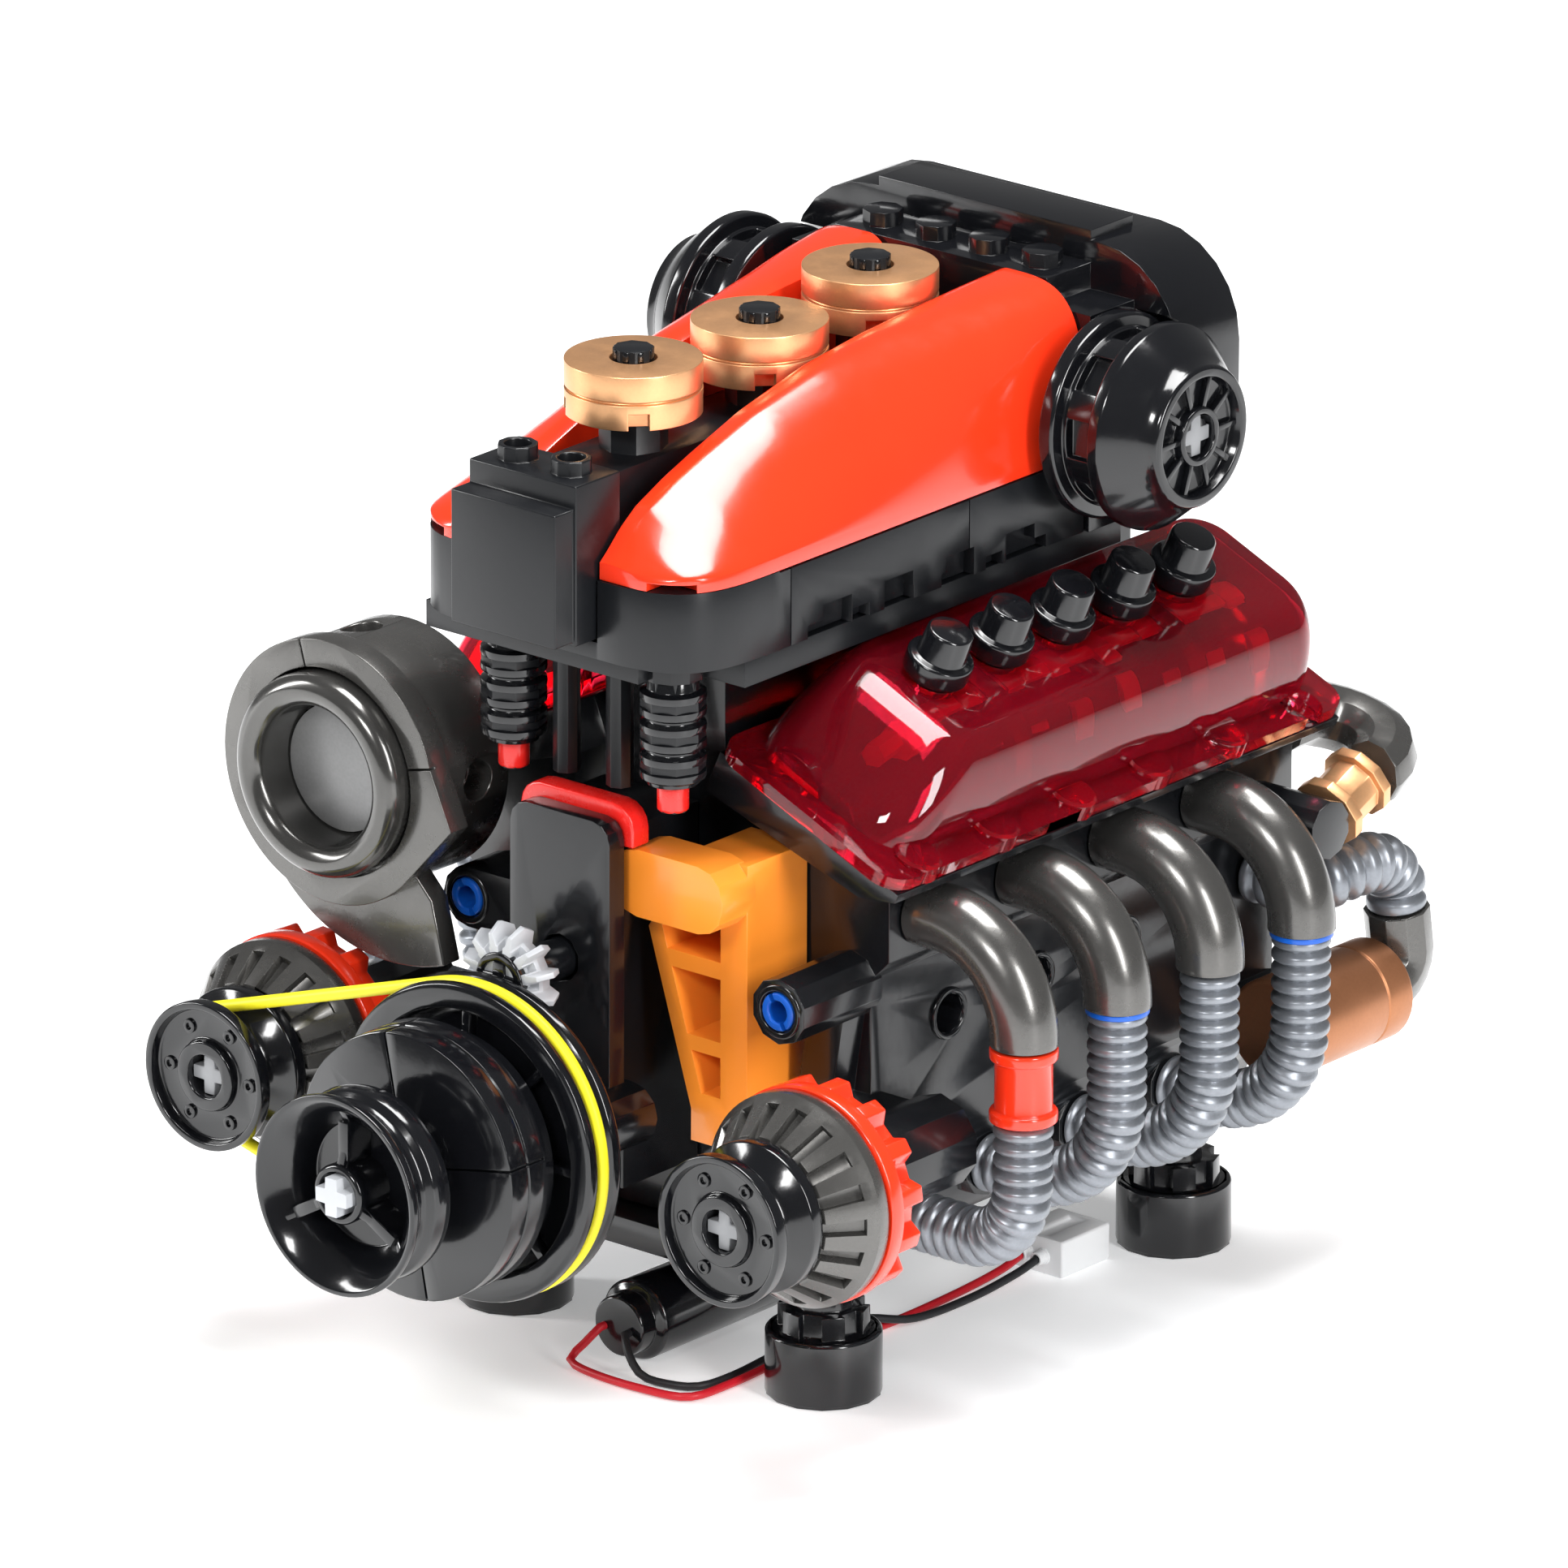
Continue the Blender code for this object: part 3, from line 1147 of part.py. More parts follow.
def make_drum_disc():
    """Build the drum's two plate layers, split in quadrants on the face, and its ring."""
    back_y = DRUM_FRONT_Y + 2 * DRUM_LAYER + DRUM_RING
    depth = back_y - DRUM_FRONT_Y
    drum = turned(
        [
            (0, depth), (DRUM_RADIUS, depth), (DRUM_RADIUS, depth - DRUM_LAYER + DRUM_SPLIT),
            (DRUM_RADIUS - DRUM_SPLIT, depth - DRUM_LAYER + DRUM_SPLIT),
            (DRUM_RADIUS - DRUM_SPLIT, depth - DRUM_LAYER), (DRUM_RADIUS, depth - DRUM_LAYER),
            (DRUM_RADIUS, DRUM_RING), (DRUM_RING_RADIUS, DRUM_RING), (DRUM_RING_RADIUS, 0), (0, 0),
        ],
        facing_front(0, back_y, CRANK_Z), FINE_SEGMENTS)
    for angle in around(4, DRUM_SPLIT_TURN):
        slot = box((HUB_BUSH_RADIUS, DRUM_FRONT_Y - OVERRUN, -DRUM_SPLIT / 2),
                   (DRUM_RADIUS + OVERRUN, DRUM_FRONT_Y + DRUM_SPLIT, DRUM_SPLIT / 2))
        slot.data.transform(Matrix.Translation((0, 0, CRANK_Z)) @ Matrix.Rotation(-angle, 4, "Y"))
        drum = cut(drum, slot)
    drum = cut(drum, axle_hole(CRANK_Z, DRUM_FRONT_Y, back_y))
    return finish(drum, "drum_disc", "black", (0, back_y, CRANK_Z))


def make_belt_pulley():
    """Build the large pulley with its belt groove."""
    back_y = PULLEY_FRONT_Y + PULLEY_WIDTH
    belt_height = back_y - BELT_Y
    floor = PULLEY_RADIUS - GROOVE_DEPTH
    pulley = turned(
        [
            (0, PULLEY_WIDTH), (PULLEY_RADIUS, PULLEY_WIDTH),
            (PULLEY_RADIUS, belt_height + GROOVE_DEPTH), (floor, belt_height + GROOVE_DEPTH / 2),
            (floor, belt_height - GROOVE_DEPTH / 2), (PULLEY_RADIUS, belt_height - GROOVE_DEPTH),
            (PULLEY_RADIUS, 0), (0, 0),
        ],
        facing_front(0, back_y, CRANK_Z), FINE_SEGMENTS)
    pulley = cut(pulley, axle_hole(CRANK_Z, PULLEY_FRONT_Y, back_y))
    return finish(pulley, "belt_pulley", "black", (0, back_y, CRANK_Z))


def gear_outline(teeth, centre_z, first_tooth):
    """Return a spur gear's outline with straight-sided teeth and room to mesh."""
    pitch_radius = teeth * GEAR_MODULE / 2
    tip = pitch_radius + TOOTH_RISE
    root = pitch_radius - TOOTH_FALL
    outline = []
    for angle in around(teeth, first_tooth):
        for radius, share in ((root, -TOOTH_ROOT_SHARE / 2), (tip, -TOOTH_TIP_SHARE / 2),
                              (tip, TOOTH_TIP_SHARE / 2), (root, TOOTH_ROOT_SHARE / 2)):
            turn = angle + share * math.tau / teeth
            outline.append((radius * math.cos(turn), centre_z + radius * math.sin(turn)))
    return outline


def make_crank_gear():
    """Build the timing gear on the crank, with a tooth at the top."""
    back_y = GEAR_FRONT_Y + GEAR_THICKNESS
    gear = slab(gear_outline(CRANK_GEAR_TEETH, CRANK_Z, math.tau / 4), GEAR_FRONT_Y, back_y)
    gear = cut(gear, axle_hole(CRANK_Z, GEAR_FRONT_Y, back_y))
    return finish(gear, "crank_gear", "light_grey", (0, back_y, CRANK_Z))


def make_idler_gear():
    """Build the double-bevel idler with a gap at the bottom, on its own short shaft."""
    back_y = GEAR_FRONT_Y + IDLER_THICKNESS
    first_tooth = -math.tau / 4 + math.tau / IDLER_TEETH / 2
    middle = gear_outline(IDLER_TEETH, 0, first_tooth)
    face_share = 1 - BEVEL_INSET / (IDLER_RADIUS + TOOTH_RISE)
    rings = []
    for share, y in ((face_share, GEAR_FRONT_Y), (1, (GEAR_FRONT_Y + back_y) / 2), (face_share, back_y)):
        rings.append([Vector((x * share, y, IDLER_Z + z * share)) for x, z in middle])
    shaft = cylinder(SHAFT_RADIUS, IDLER_SHAFT_BACK_Y - back_y + OVERRUN,
                     facing_front(0, IDLER_SHAFT_BACK_Y, IDLER_Z))
    gear = cut(joined(loft(rings), shaft), axle_socket())
    return finish(gear, "idler_gear", "light_grey", (0, back_y, IDLER_Z))


def axle_socket():
    """Return the cross-shaped cutter for the idler's front face."""
    outline = cross(AXLE_RADIUS + SEAT_GAP, AXLE_HALF_WIDTH)
    return prism(outline, 2 * OVERRUN, facing_front(0, GEAR_FRONT_Y, IDLER_Z))


# Belt and side wheels

def make_drive_belt():
    """Build the round belt: two arcs and the straight runs that touch both."""
    large = PULLEY_RADIUS - GROOVE_DEPTH + BELT_RADIUS + SEAT_GAP
    small = SIDE_GROOVE_RADIUS + BELT_RADIUS + SEAT_GAP
    apart = math.hypot(SIDE_WHEEL_X, CRANK_Z - SIDE_WHEEL_Z)
    towards = math.atan2(SIDE_WHEEL_Z - CRANK_Z, -SIDE_WHEEL_X)
    lean = math.acos((large - small) / apart)
    route = belt_arc((0, CRANK_Z), large, towards + lean, math.tau - 2 * lean, LARGE_BELT_STEPS)
    route += belt_arc((-SIDE_WHEEL_X, SIDE_WHEEL_Z), small, towards - lean, 2 * lean, SMALL_BELT_STEPS)
    curve = bpy.data.curves.new("belt", "CURVE")
    curve.dimensions = "3D"
    curve.bevel_depth = BELT_RADIUS
    curve.bevel_resolution = 1
    spline = curve.splines.new("POLY")
    spline.points.add(len(route) - 1)
    spline.use_cyclic_u = True
    for point, place in zip(spline.points, route):
        point.co = (*place, 1)
    return finish(settled(placed(curve, Matrix.Identity(4))), "drive_belt", "yellow")


def belt_arc(centre, radius, start, sweep, steps):
    """Return the belt's points round one wheel."""
    points = []
    for step in range(steps + 1):
        angle = start + sweep * step / steps
        points.append((centre[0] + radius * math.cos(angle), BELT_Y, centre[1] + radius * math.sin(angle)))
    return points


def make_side_wheel(name, side):
    """Build a grooved front wheel on the axle that runs in its barrel."""
    width = SIDE_WHEEL_WIDTH
    back_y = SIDE_WHEEL_FRONT_Y + width
    rim = SIDE_WHEEL_RADIUS - SIDE_FLANGE
    wheel = turned(
        [
            (0, width), (SIDE_HUB_RADIUS, width), (SIDE_HUB_RADIUS, width - SIDE_HUB_INSET),
            (rim, width - SIDE_HUB_INSET), (rim, width), (SIDE_WHEEL_RADIUS, width),
            (SIDE_WHEEL_RADIUS, width - SIDE_FLANGE), (SIDE_GROOVE_RADIUS, width - 2 * SIDE_FLANGE),
            (SIDE_GROOVE_RADIUS, 2 * SIDE_FLANGE), (SIDE_WHEEL_RADIUS, SIDE_FLANGE),
            (SIDE_WHEEL_RADIUS, 0), (0, 0),
        ],
        facing_front(side * SIDE_WHEEL_X, back_y, SIDE_WHEEL_Z), WHEEL_SEGMENTS)
    axle = cylinder(AXLE_RADIUS, BARREL_BACK_Y - SIDE_AXLE_INSET - back_y + OVERRUN,
                    facing_front(side * SIDE_WHEEL_X, BARREL_BACK_Y - SIDE_AXLE_INSET, SIDE_WHEEL_Z),
                    PIN_SEGMENTS)
    return finish(joined(wheel, axle), name, "black", (side * SIDE_WHEEL_X, back_y, SIDE_WHEEL_Z))


def fluted_ring(frame, radius, depth, height):
    """Return one ring of points whose radius steps in at each flute."""
    points = []
    for angle in around(CONE_FLUTES):
        for share, sunk in FLUTE_SHARES:
            turn = angle + share * math.tau / CONE_FLUTES
            reach = radius - sunk * depth
            points.append(frame @ Vector((reach * math.cos(turn), reach * math.sin(turn), height)))
    return points


def make_bevel_rim(name, side):
    """Build the fluted cone with its smooth band and the sleeve behind."""
    front_y = SIDE_WHEEL_FRONT_Y + SIDE_WHEEL_WIDTH + SEAT_GAP
    cone_back_y = front_y + CONE_LENGTH
    x = side * SIDE_WHEEL_X
    frame = facing_front(x, cone_back_y, SIDE_WHEEL_Z)
    cone = loft([fluted_ring(frame, CONE_BACK_RADIUS, CONE_FLUTE_DEPTH, -OVERRUN / 2),
                 fluted_ring(frame, CONE_FRONT_RADIUS, CONE_FLUTE_DEPTH, CONE_LENGTH)])
    band = cylinder(CONE_BAND_RADIUS, CONE_BAND, facing_front(x, cone_back_y + CONE_BAND, SIDE_WHEEL_Z),
                    FINE_SEGMENTS)
    sleeve_back_y = BARREL_FRONT_Y - SEAT_GAP
    sleeve = cylinder(SLEEVE_RADIUS, sleeve_back_y - cone_back_y,
                      facing_front(x, sleeve_back_y, SIDE_WHEEL_Z))
    rim = cut(joined(cone, band, sleeve),
              bore(AXLE_RADIUS + SEAT_GAP, x, SIDE_WHEEL_Z, front_y, sleeve_back_y, PIN_SEGMENTS))
    return finish(rim, name, "pearl_grey", (x, cone_back_y, SIDE_WHEEL_Z))


def make_gear_ring(name, side):
    """Build the red ring with square teeth round its back half."""
    front_y = SIDE_WHEEL_FRONT_Y + SIDE_WHEEL_WIDTH + CONE_LENGTH + CONE_BAND + 2 * SEAT_GAP
    back_y = front_y + CROWN_LENGTH
    x = side * SIDE_WHEEL_X
    centre = (x, SIDE_WHEEL_Z)
    teeth = slab(toothed(centre, CROWN_RADIUS - CROWN_TOOTH_LENGTH, CROWN_RADIUS, CROWN_TEETH, TOOTH_TURN),
                 front_y, back_y)
    plain = slab(circle(centre, CROWN_RADIUS - CROWN_LAND, WHEEL_SEGMENTS), front_y - SEAT_GAP / 3,
                 front_y + CROWN_PLAIN)
    ring = cut(joined(plain, teeth), bore(SLEEVE_RADIUS + SEAT_GAP, x, SIDE_WHEEL_Z, front_y, back_y))
    return finish(ring, name, "orange_red", (x, back_y, SIDE_WHEEL_Z))


# Valve covers, plug caps and camshafts

def lid_ring(frame, inset, rake_share, height, sunk):
    """Return one ring of the hump at a height, drawn in by its insets and its rakes."""
    front = LID_FRONT_Y + inset + LID_NOSE_RAKE * rake_share
    back = LID_BACK_Y - inset - LID_TAIL_RAKE * rake_share
    inner_edge = HEAD_WIDTH - inset + LID_INSET - LID_INNER_INSET
    outline = rounded_box(inset, inner_edge, -back, -front, LID_CORNER, LID_CORNER_STEPS)
    return [frame @ Vector((x, y, height - sunk)) for x, y in outline]


def lid_hump(wall, bottom):
    """Return the hump's solid, or the hollow inside it where a wall is given."""
    frame = on_head(0, 0)
    shoulder = LID_HEIGHT - LID_ROUND
    return loft([
        lid_ring(frame, LID_INSET + wall, 0, bottom, 0),
        lid_ring(frame, LID_INSET + wall + LID_DRAFT, shoulder / LID_HEIGHT, shoulder, wall),
        lid_ring(frame, LID_INSET + wall + LID_DRAFT + LID_ROUND * LID_CREST_SHARE, LID_CREST_RAKE_SHARE,
                 LID_HEIGHT - LID_ROUND * LID_CREST_SHARE, wall),
        lid_ring(frame, LID_INSET + wall + LID_DRAFT + LID_ROUND, 1, LID_HEIGHT, wall),
    ])


def make_valve_cover():
    """Build the right cover: an open hump on a flange with bolt bosses and cap holes."""
    middle_y = (LID_FRONT_Y + LID_BACK_Y) / 2
    frame = on_head(HEAD_WIDTH / 2, middle_y, LID_FLANGE / 2)
    half_length = (LID_BACK_Y - LID_FRONT_Y) / 2
    flange = prism(rounded_box(-HEAD_WIDTH / 2, HEAD_WIDTH / 2, -half_length, half_length, LID_INSET),
                   LID_FLANGE, frame)
    cover = joined(flange, lid_hump(0, LID_FLANGE / 2))
    for index in range(LID_BOSS_COUNT):
        y = LID_BOSS_FIRST_Y + index * LID_BOSS_PITCH
        boss = cylinder(LID_BOSS_RADIUS, LID_FLANGE + LID_BOSS_RISE, on_head(LID_BOSS_INSET, y), PIN_SEGMENTS)
        cover = joined(cover, boss)
    arch = prism(arc((0, 0), LID_ARCH_RADIUS, 0, 180, 8), LID_ARCH_LENGTH,
                 across_head(HEAD_WIDTH - LID_ARCH_INWARD, LID_FRONT_Y + LID_INSET, 0))
    cover = cut(joined(cover, arch), lid_hump(LID_WALL, -OVERRUN))
    for index in range(CAP_COUNT):
        start = on_head(CAP_INWARD, CAP_FIRST_Y + index * CAP_PITCH, LID_HEIGHT - LID_WALL - OVERRUN)
        cover = cut(cover, cylinder(CAP_HOLE_RADIUS, LID_WALL + 2 * OVERRUN, start, PIN_SEGMENTS))
    return cover


def make_plug_caps():
    """Build the five right plug caps on the rail that joins them below the cover."""
    rail_top = LID_HEIGHT - LID_WALL - CAP_RAIL_GAP
    length = (CAP_COUNT - 1) * CAP_PITCH + CAP_RAIL_WIDTH
    middle_y = CAP_FIRST_Y + (CAP_COUNT - 1) * CAP_PITCH / 2
    half = CAP_RAIL_WIDTH / 2
    rail = prism(rounded_box(-half, half, -length / 2, length / 2, CAP_STEM_RADIUS),
                 CAP_RAIL_HEIGHT, on_head(CAP_INWARD, middle_y, rail_top - CAP_RAIL_HEIGHT / 2))
    collar = LID_HEIGHT + SEAT_GAP
    profile = [
        (0, collar + CAP_COLLAR_HEIGHT + CAP_KNOB_HEIGHT),
        (CAP_KNOB_RADIUS, collar + CAP_COLLAR_HEIGHT + CAP_KNOB_HEIGHT),
        (CAP_KNOB_RADIUS, collar + CAP_COLLAR_HEIGHT), (CAP_COLLAR_RADIUS, collar + CAP_COLLAR_HEIGHT),
        (CAP_COLLAR_RADIUS, collar), (CAP_STEM_RADIUS, collar),
        (CAP_STEM_RADIUS, rail_top - CAP_RAIL_HEIGHT / 2), (0, rail_top - CAP_RAIL_HEIGHT / 2),
    ]
    for index in range(CAP_COUNT):
        cap = turned(profile, on_head(CAP_INWARD, CAP_FIRST_Y + index * CAP_PITCH), CAM_SEGMENTS)
        rail = joined(rail, cap)
    return rail


def lobe_outline(angle):
    """Return a cam lobe's outline: a base circle drawn out to a round tip."""
    reach = CAM_LOBE_REACH - CAM_LOBE_RADIUS
    lean = math.acos((CAM_LOBE_BASE - CAM_LOBE_RADIUS) / reach)
    turn = math.degrees(angle)
    spread = math.degrees(lean)
    centre = (0, 0)
    tip = (reach * math.cos(angle), reach * math.sin(angle))
    outline = arc(centre, CAM_LOBE_BASE, turn + spread, turn + 360 - spread, 3)
    return outline + arc(tip, CAM_LOBE_RADIUS, turn - spread, turn + spread, 1)


def make_camshaft():
    """Build the right camshaft with its lobes a quarter turn apart."""
    frame = across_head(CAM_INWARD, CAM_BACK_Y, CAM_HEIGHT)
    shaft = cylinder(CAM_RADIUS, CAM_BACK_Y - CAM_FRONT_Y, frame, CAM_SEGMENTS)
    for index in range(CAM_LOBES):
        y = CAM_LOBE_FIRST_Y + index * CAM_LOBE_PITCH
        lobe = prism(lobe_outline(math.tau * (index % 4) / 4), CAM_LOBE_WIDTH,
                     across_head(CAM_INWARD, y, CAM_HEIGHT))
        shaft = joined(shaft, lobe)
    return shaft


def make_heads():
    """Finish both sides' covers, caps and camshafts."""
    cam_x, cam_z = head_point(CAM_INWARD, CAM_HEIGHT)
    for build, name, look in ((make_valve_cover, "valve_cover", "clear_red"),
                              (make_plug_caps, "plug_caps", "black")):
        right = build()
        finish(mirrored(right), name + "_left", look)
        finish(right, name + "_right", look)
    camshaft = make_camshaft()
    finish(mirrored(camshaft), "camshaft_left", "light_grey", (-cam_x, 0, cam_z))
    finish(camshaft, "camshaft_right", "light_grey", (cam_x, 0, cam_z))


# Intake plate, base, covers and stacks

def make_intake_plate():
    """Build the stepped plate with its ribbed posts, their tips and the two front pins."""
    outline = [
        (-PLATE_HALF, PLATE_FRONT_Y), (PLATE_STEP_X, PLATE_FRONT_Y), (PLATE_STEP_X, PLATE_STEP_Y),
        (PLATE_HALF, PLATE_STEP_Y), (PLATE_HALF, PLATE_BACK_Y), (-PLATE_HALF, PLATE_BACK_Y),
    ]
    plate = layer(outline, PLATE_BASE_Z, PLATE_TOP_Z)
    plate = joined(plate, cylinder(PLATE_BOSS_RADIUS, PLATE_HEIGHT, facing_up(POST_X, POST_Y, PLATE_BASE_Z)))
    rib = POST_LENGTH / (2 * POST_RIBS + 1)
    profile = [(0, PLATE_BASE_Z + OVERRUN)]
    for index in range(2 * POST_RIBS + 1):
        radius = POST_RIB_RADIUS if index % 2 else POST_RADIUS
        top = PLATE_BASE_Z + OVERRUN if index == 0 else PLATE_BASE_Z - index * rib
        profile += [(radius, top), (radius, PLATE_BASE_Z - (index + 1) * rib)]
    tip_top = PLATE_BASE_Z - POST_LENGTH
    profile += [(TIP_RADIUS, tip_top), (TIP_RADIUS, tip_top - TIP_LENGTH), (0, tip_top - TIP_LENGTH)]
    for side in (1, -1):
        post = turned(profile, facing_up(side * POST_X, POST_Y, 0), PIN_SEGMENTS)
        pin = cylinder(PLATE_PIN_RADIUS, PLATE_PIN_LENGTH + OVERRUN,
                       facing_up(side * PLATE_PIN_X, POST_Y, PLATE_BASE_Z - PLATE_PIN_LENGTH), PIN_SEGMENTS)
        plate = joined(plate, post, pin)
    return finish(plate, "intake_plate", "black")


def base_edge(y):
    """Return how far out the intake base reaches at a depth, round its front corner."""
    if y >= BASE_CHEEK_Y:
        return BASE_HALF
    share = (BASE_CHEEK_Y - y) / (BASE_CHEEK_Y - BASE_NOSE_Y)
    return BASE_NOSE_HALF + (BASE_HALF - BASE_NOSE_HALF) * math.sqrt(max(0.0, 1 - share * share))


def make_intake_base():
    """Build the round-cornered base, its side notches, and the spine with the stack posts."""
    back_y = STUD_PLATE_FRONT_Y - SEAT_GAP
    right = [(BASE_NOSE_HALF, BASE_NOSE_Y)]
    for step in range(1, BASE_CORNER_STEPS + 1):
        angle = math.radians(90 * step / BASE_CORNER_STEPS)
        right.append((BASE_NOSE_HALF + (BASE_HALF - BASE_NOSE_HALF) * math.sin(angle),
                      BASE_CHEEK_Y + (BASE_NOSE_Y - BASE_CHEEK_Y) * math.cos(angle)))
    right.append((BASE_HALF, back_y))
    base = layer(mirror_outline(right), PLATE_TOP_Z + SEAT_GAP, BASE_TOP_Z)
    spine = box((-SPINE_HALF, SPINE_FRONT_Y, BASE_TOP_Z - OVERRUN), (SPINE_HALF, back_y, SPINE_TOP_Z))
    base = joined(base, spine)
    base = cut(base, box((-BRICK_HALF - SEAT_GAP, BASE_NOSE_Y - OVERRUN, BRICK_BASE_Z - SEAT_GAP),
                         (BRICK_HALF + SEAT_GAP, BRICK_BACK_Y + SEAT_GAP, BASE_TOP_Z + OVERRUN)))
    for y, top_z in STACK_PLACES:
        collar = cylinder(STACK_COLLAR_RADIUS, top_z - STACK_HEIGHT - SEAT_GAP - SPINE_TOP_Z + OVERRUN,
                          facing_up(0, y, SPINE_TOP_Z - OVERRUN), PIN_SEGMENTS)
        post = cylinder(STACK_POST_RADIUS, top_z + STACK_STUB_RISE - SPINE_TOP_Z,
                        facing_up(0, y, SPINE_TOP_Z), PIN_SEGMENTS)
        base = joined(base, collar, post)
    for side in (1, -1):
        for index in range(BASE_NOTCH_COUNT):
            y = BASE_NOTCH_FIRST_Y + index * STUD_PITCH
            inner, outer = sorted((side * (BASE_HALF - BASE_NOTCH), side * (BASE_HALF + OVERRUN)))
            base = cut(base, box((inner, y, PLATE_TOP_Z - OVERRUN),
                                 (outer, y + BASE_NOTCH_WIDTH, PLATE_TOP_Z + SEAT_GAP + BASE_NOTCH)))
    return finish(base, "intake_base", "black")


def hood_ring(y, height, squareness):
    """Return one section of the right intake cover, from its inner foot to its outer foot."""
    outer = base_edge(y)
    top = HOOD_BASE_Z + height
    ring = [Vector((HOOD_INNER_X, y, HOOD_BASE_Z))]
    for step in range(HOOD_STEPS + 1):
        angle = math.radians(90 * (1 - step / HOOD_STEPS))
        across = math.cos(angle) ** (2 / squareness) if step else 0.0
        rise = math.sin(angle) ** (2 / squareness) if step < HOOD_STEPS else 0.0
        ring.append(Vector((HOOD_INNER_X + (outer - HOOD_INNER_X) * across, y,
                            HOOD_BASE_Z + HOOD_LIP + (top - HOOD_BASE_Z - HOOD_LIP) * rise)))
    ring.append(Vector((outer, y, HOOD_BASE_Z)))
    return ring


def make_intake_cover():
    """Build the right red cover, which rises and squares up towards the back."""
    rings = []
    for along, rise, squareness in HOOD_SHARES:
        y = HOOD_TIP_Y + along * (HOOD_BACK_Y - HOOD_TIP_Y)
        rings.append(hood_ring(y, rise * HOOD_BACK_HEIGHT, squareness))
    return loft(rings)


def make_stack(name, y, top_z):
    """Build one gold stack: two round plates, the lower one notched, on a post hole."""
    lower = STACK_HEIGHT - PLATE_HEIGHT
    stack = turned(
        [
            (STACK_RADIUS, STACK_HEIGHT), (STACK_RADIUS, lower + STACK_SEAM),
            (STACK_RADIUS - STACK_SEAM, lower + STACK_SEAM), (STACK_RADIUS - STACK_SEAM, lower),
            (STACK_RADIUS, lower), (STACK_RADIUS, 0), (STACK_POST_RADIUS + SEAT_GAP, 0),
            (STACK_POST_RADIUS + SEAT_GAP, STACK_HEIGHT),
        ],
        facing_up(0, y, top_z - STACK_HEIGHT), WHEEL_SEGMENTS, ring=True)
    for angle in around(STACK_NOTCHES, math.tau / 8):
        notch = box((STACK_RADIUS - STACK_NOTCH_WIDTH, -STACK_NOTCH_WIDTH / 2, -OVERRUN),
                    (STACK_RADIUS + OVERRUN, STACK_NOTCH_WIDTH / 2, STACK_NOTCH_WIDTH))
        notch.data.transform(Matrix.Translation((0, y, top_z - STACK_HEIGHT))
                             @ Matrix.Rotation(angle, 4, "Z"))
        stack = cut(stack, notch)
    return finish(stack, name, "gold")


def make_front_brick():
    """Build the front brick with its two studs and the flat tile on its face."""
    top_z = BRICK_BASE_Z + BRICK_HEIGHT_TOTAL
    brick = box((-BRICK_HALF, BRICK_FRONT_Y, BRICK_BASE_Z), (BRICK_HALF, BRICK_BACK_Y, top_z))
    tile = box((-BRICK_HALF, BRICK_FRONT_Y - TILE_DEPTH, BRICK_BASE_Z + TILE_GROOVE),
               (BRICK_HALF - TILE_GROOVE, BRICK_FRONT_Y + OVERRUN, TILE_TOP_Z))
    brick = joined(brick, tile)
    for side in (1, -1):
        stud = cylinder(STUD_RADIUS, STUD_HEIGHT + OVERRUN,
                        facing_up(side * STUD_PITCH / 2, (BRICK_FRONT_Y + BRICK_BACK_Y) / 2, top_z - OVERRUN))
        brick = joined(brick, stud)
    return finish(brick, "front_brick", "black")


# Rear plenum and air filters

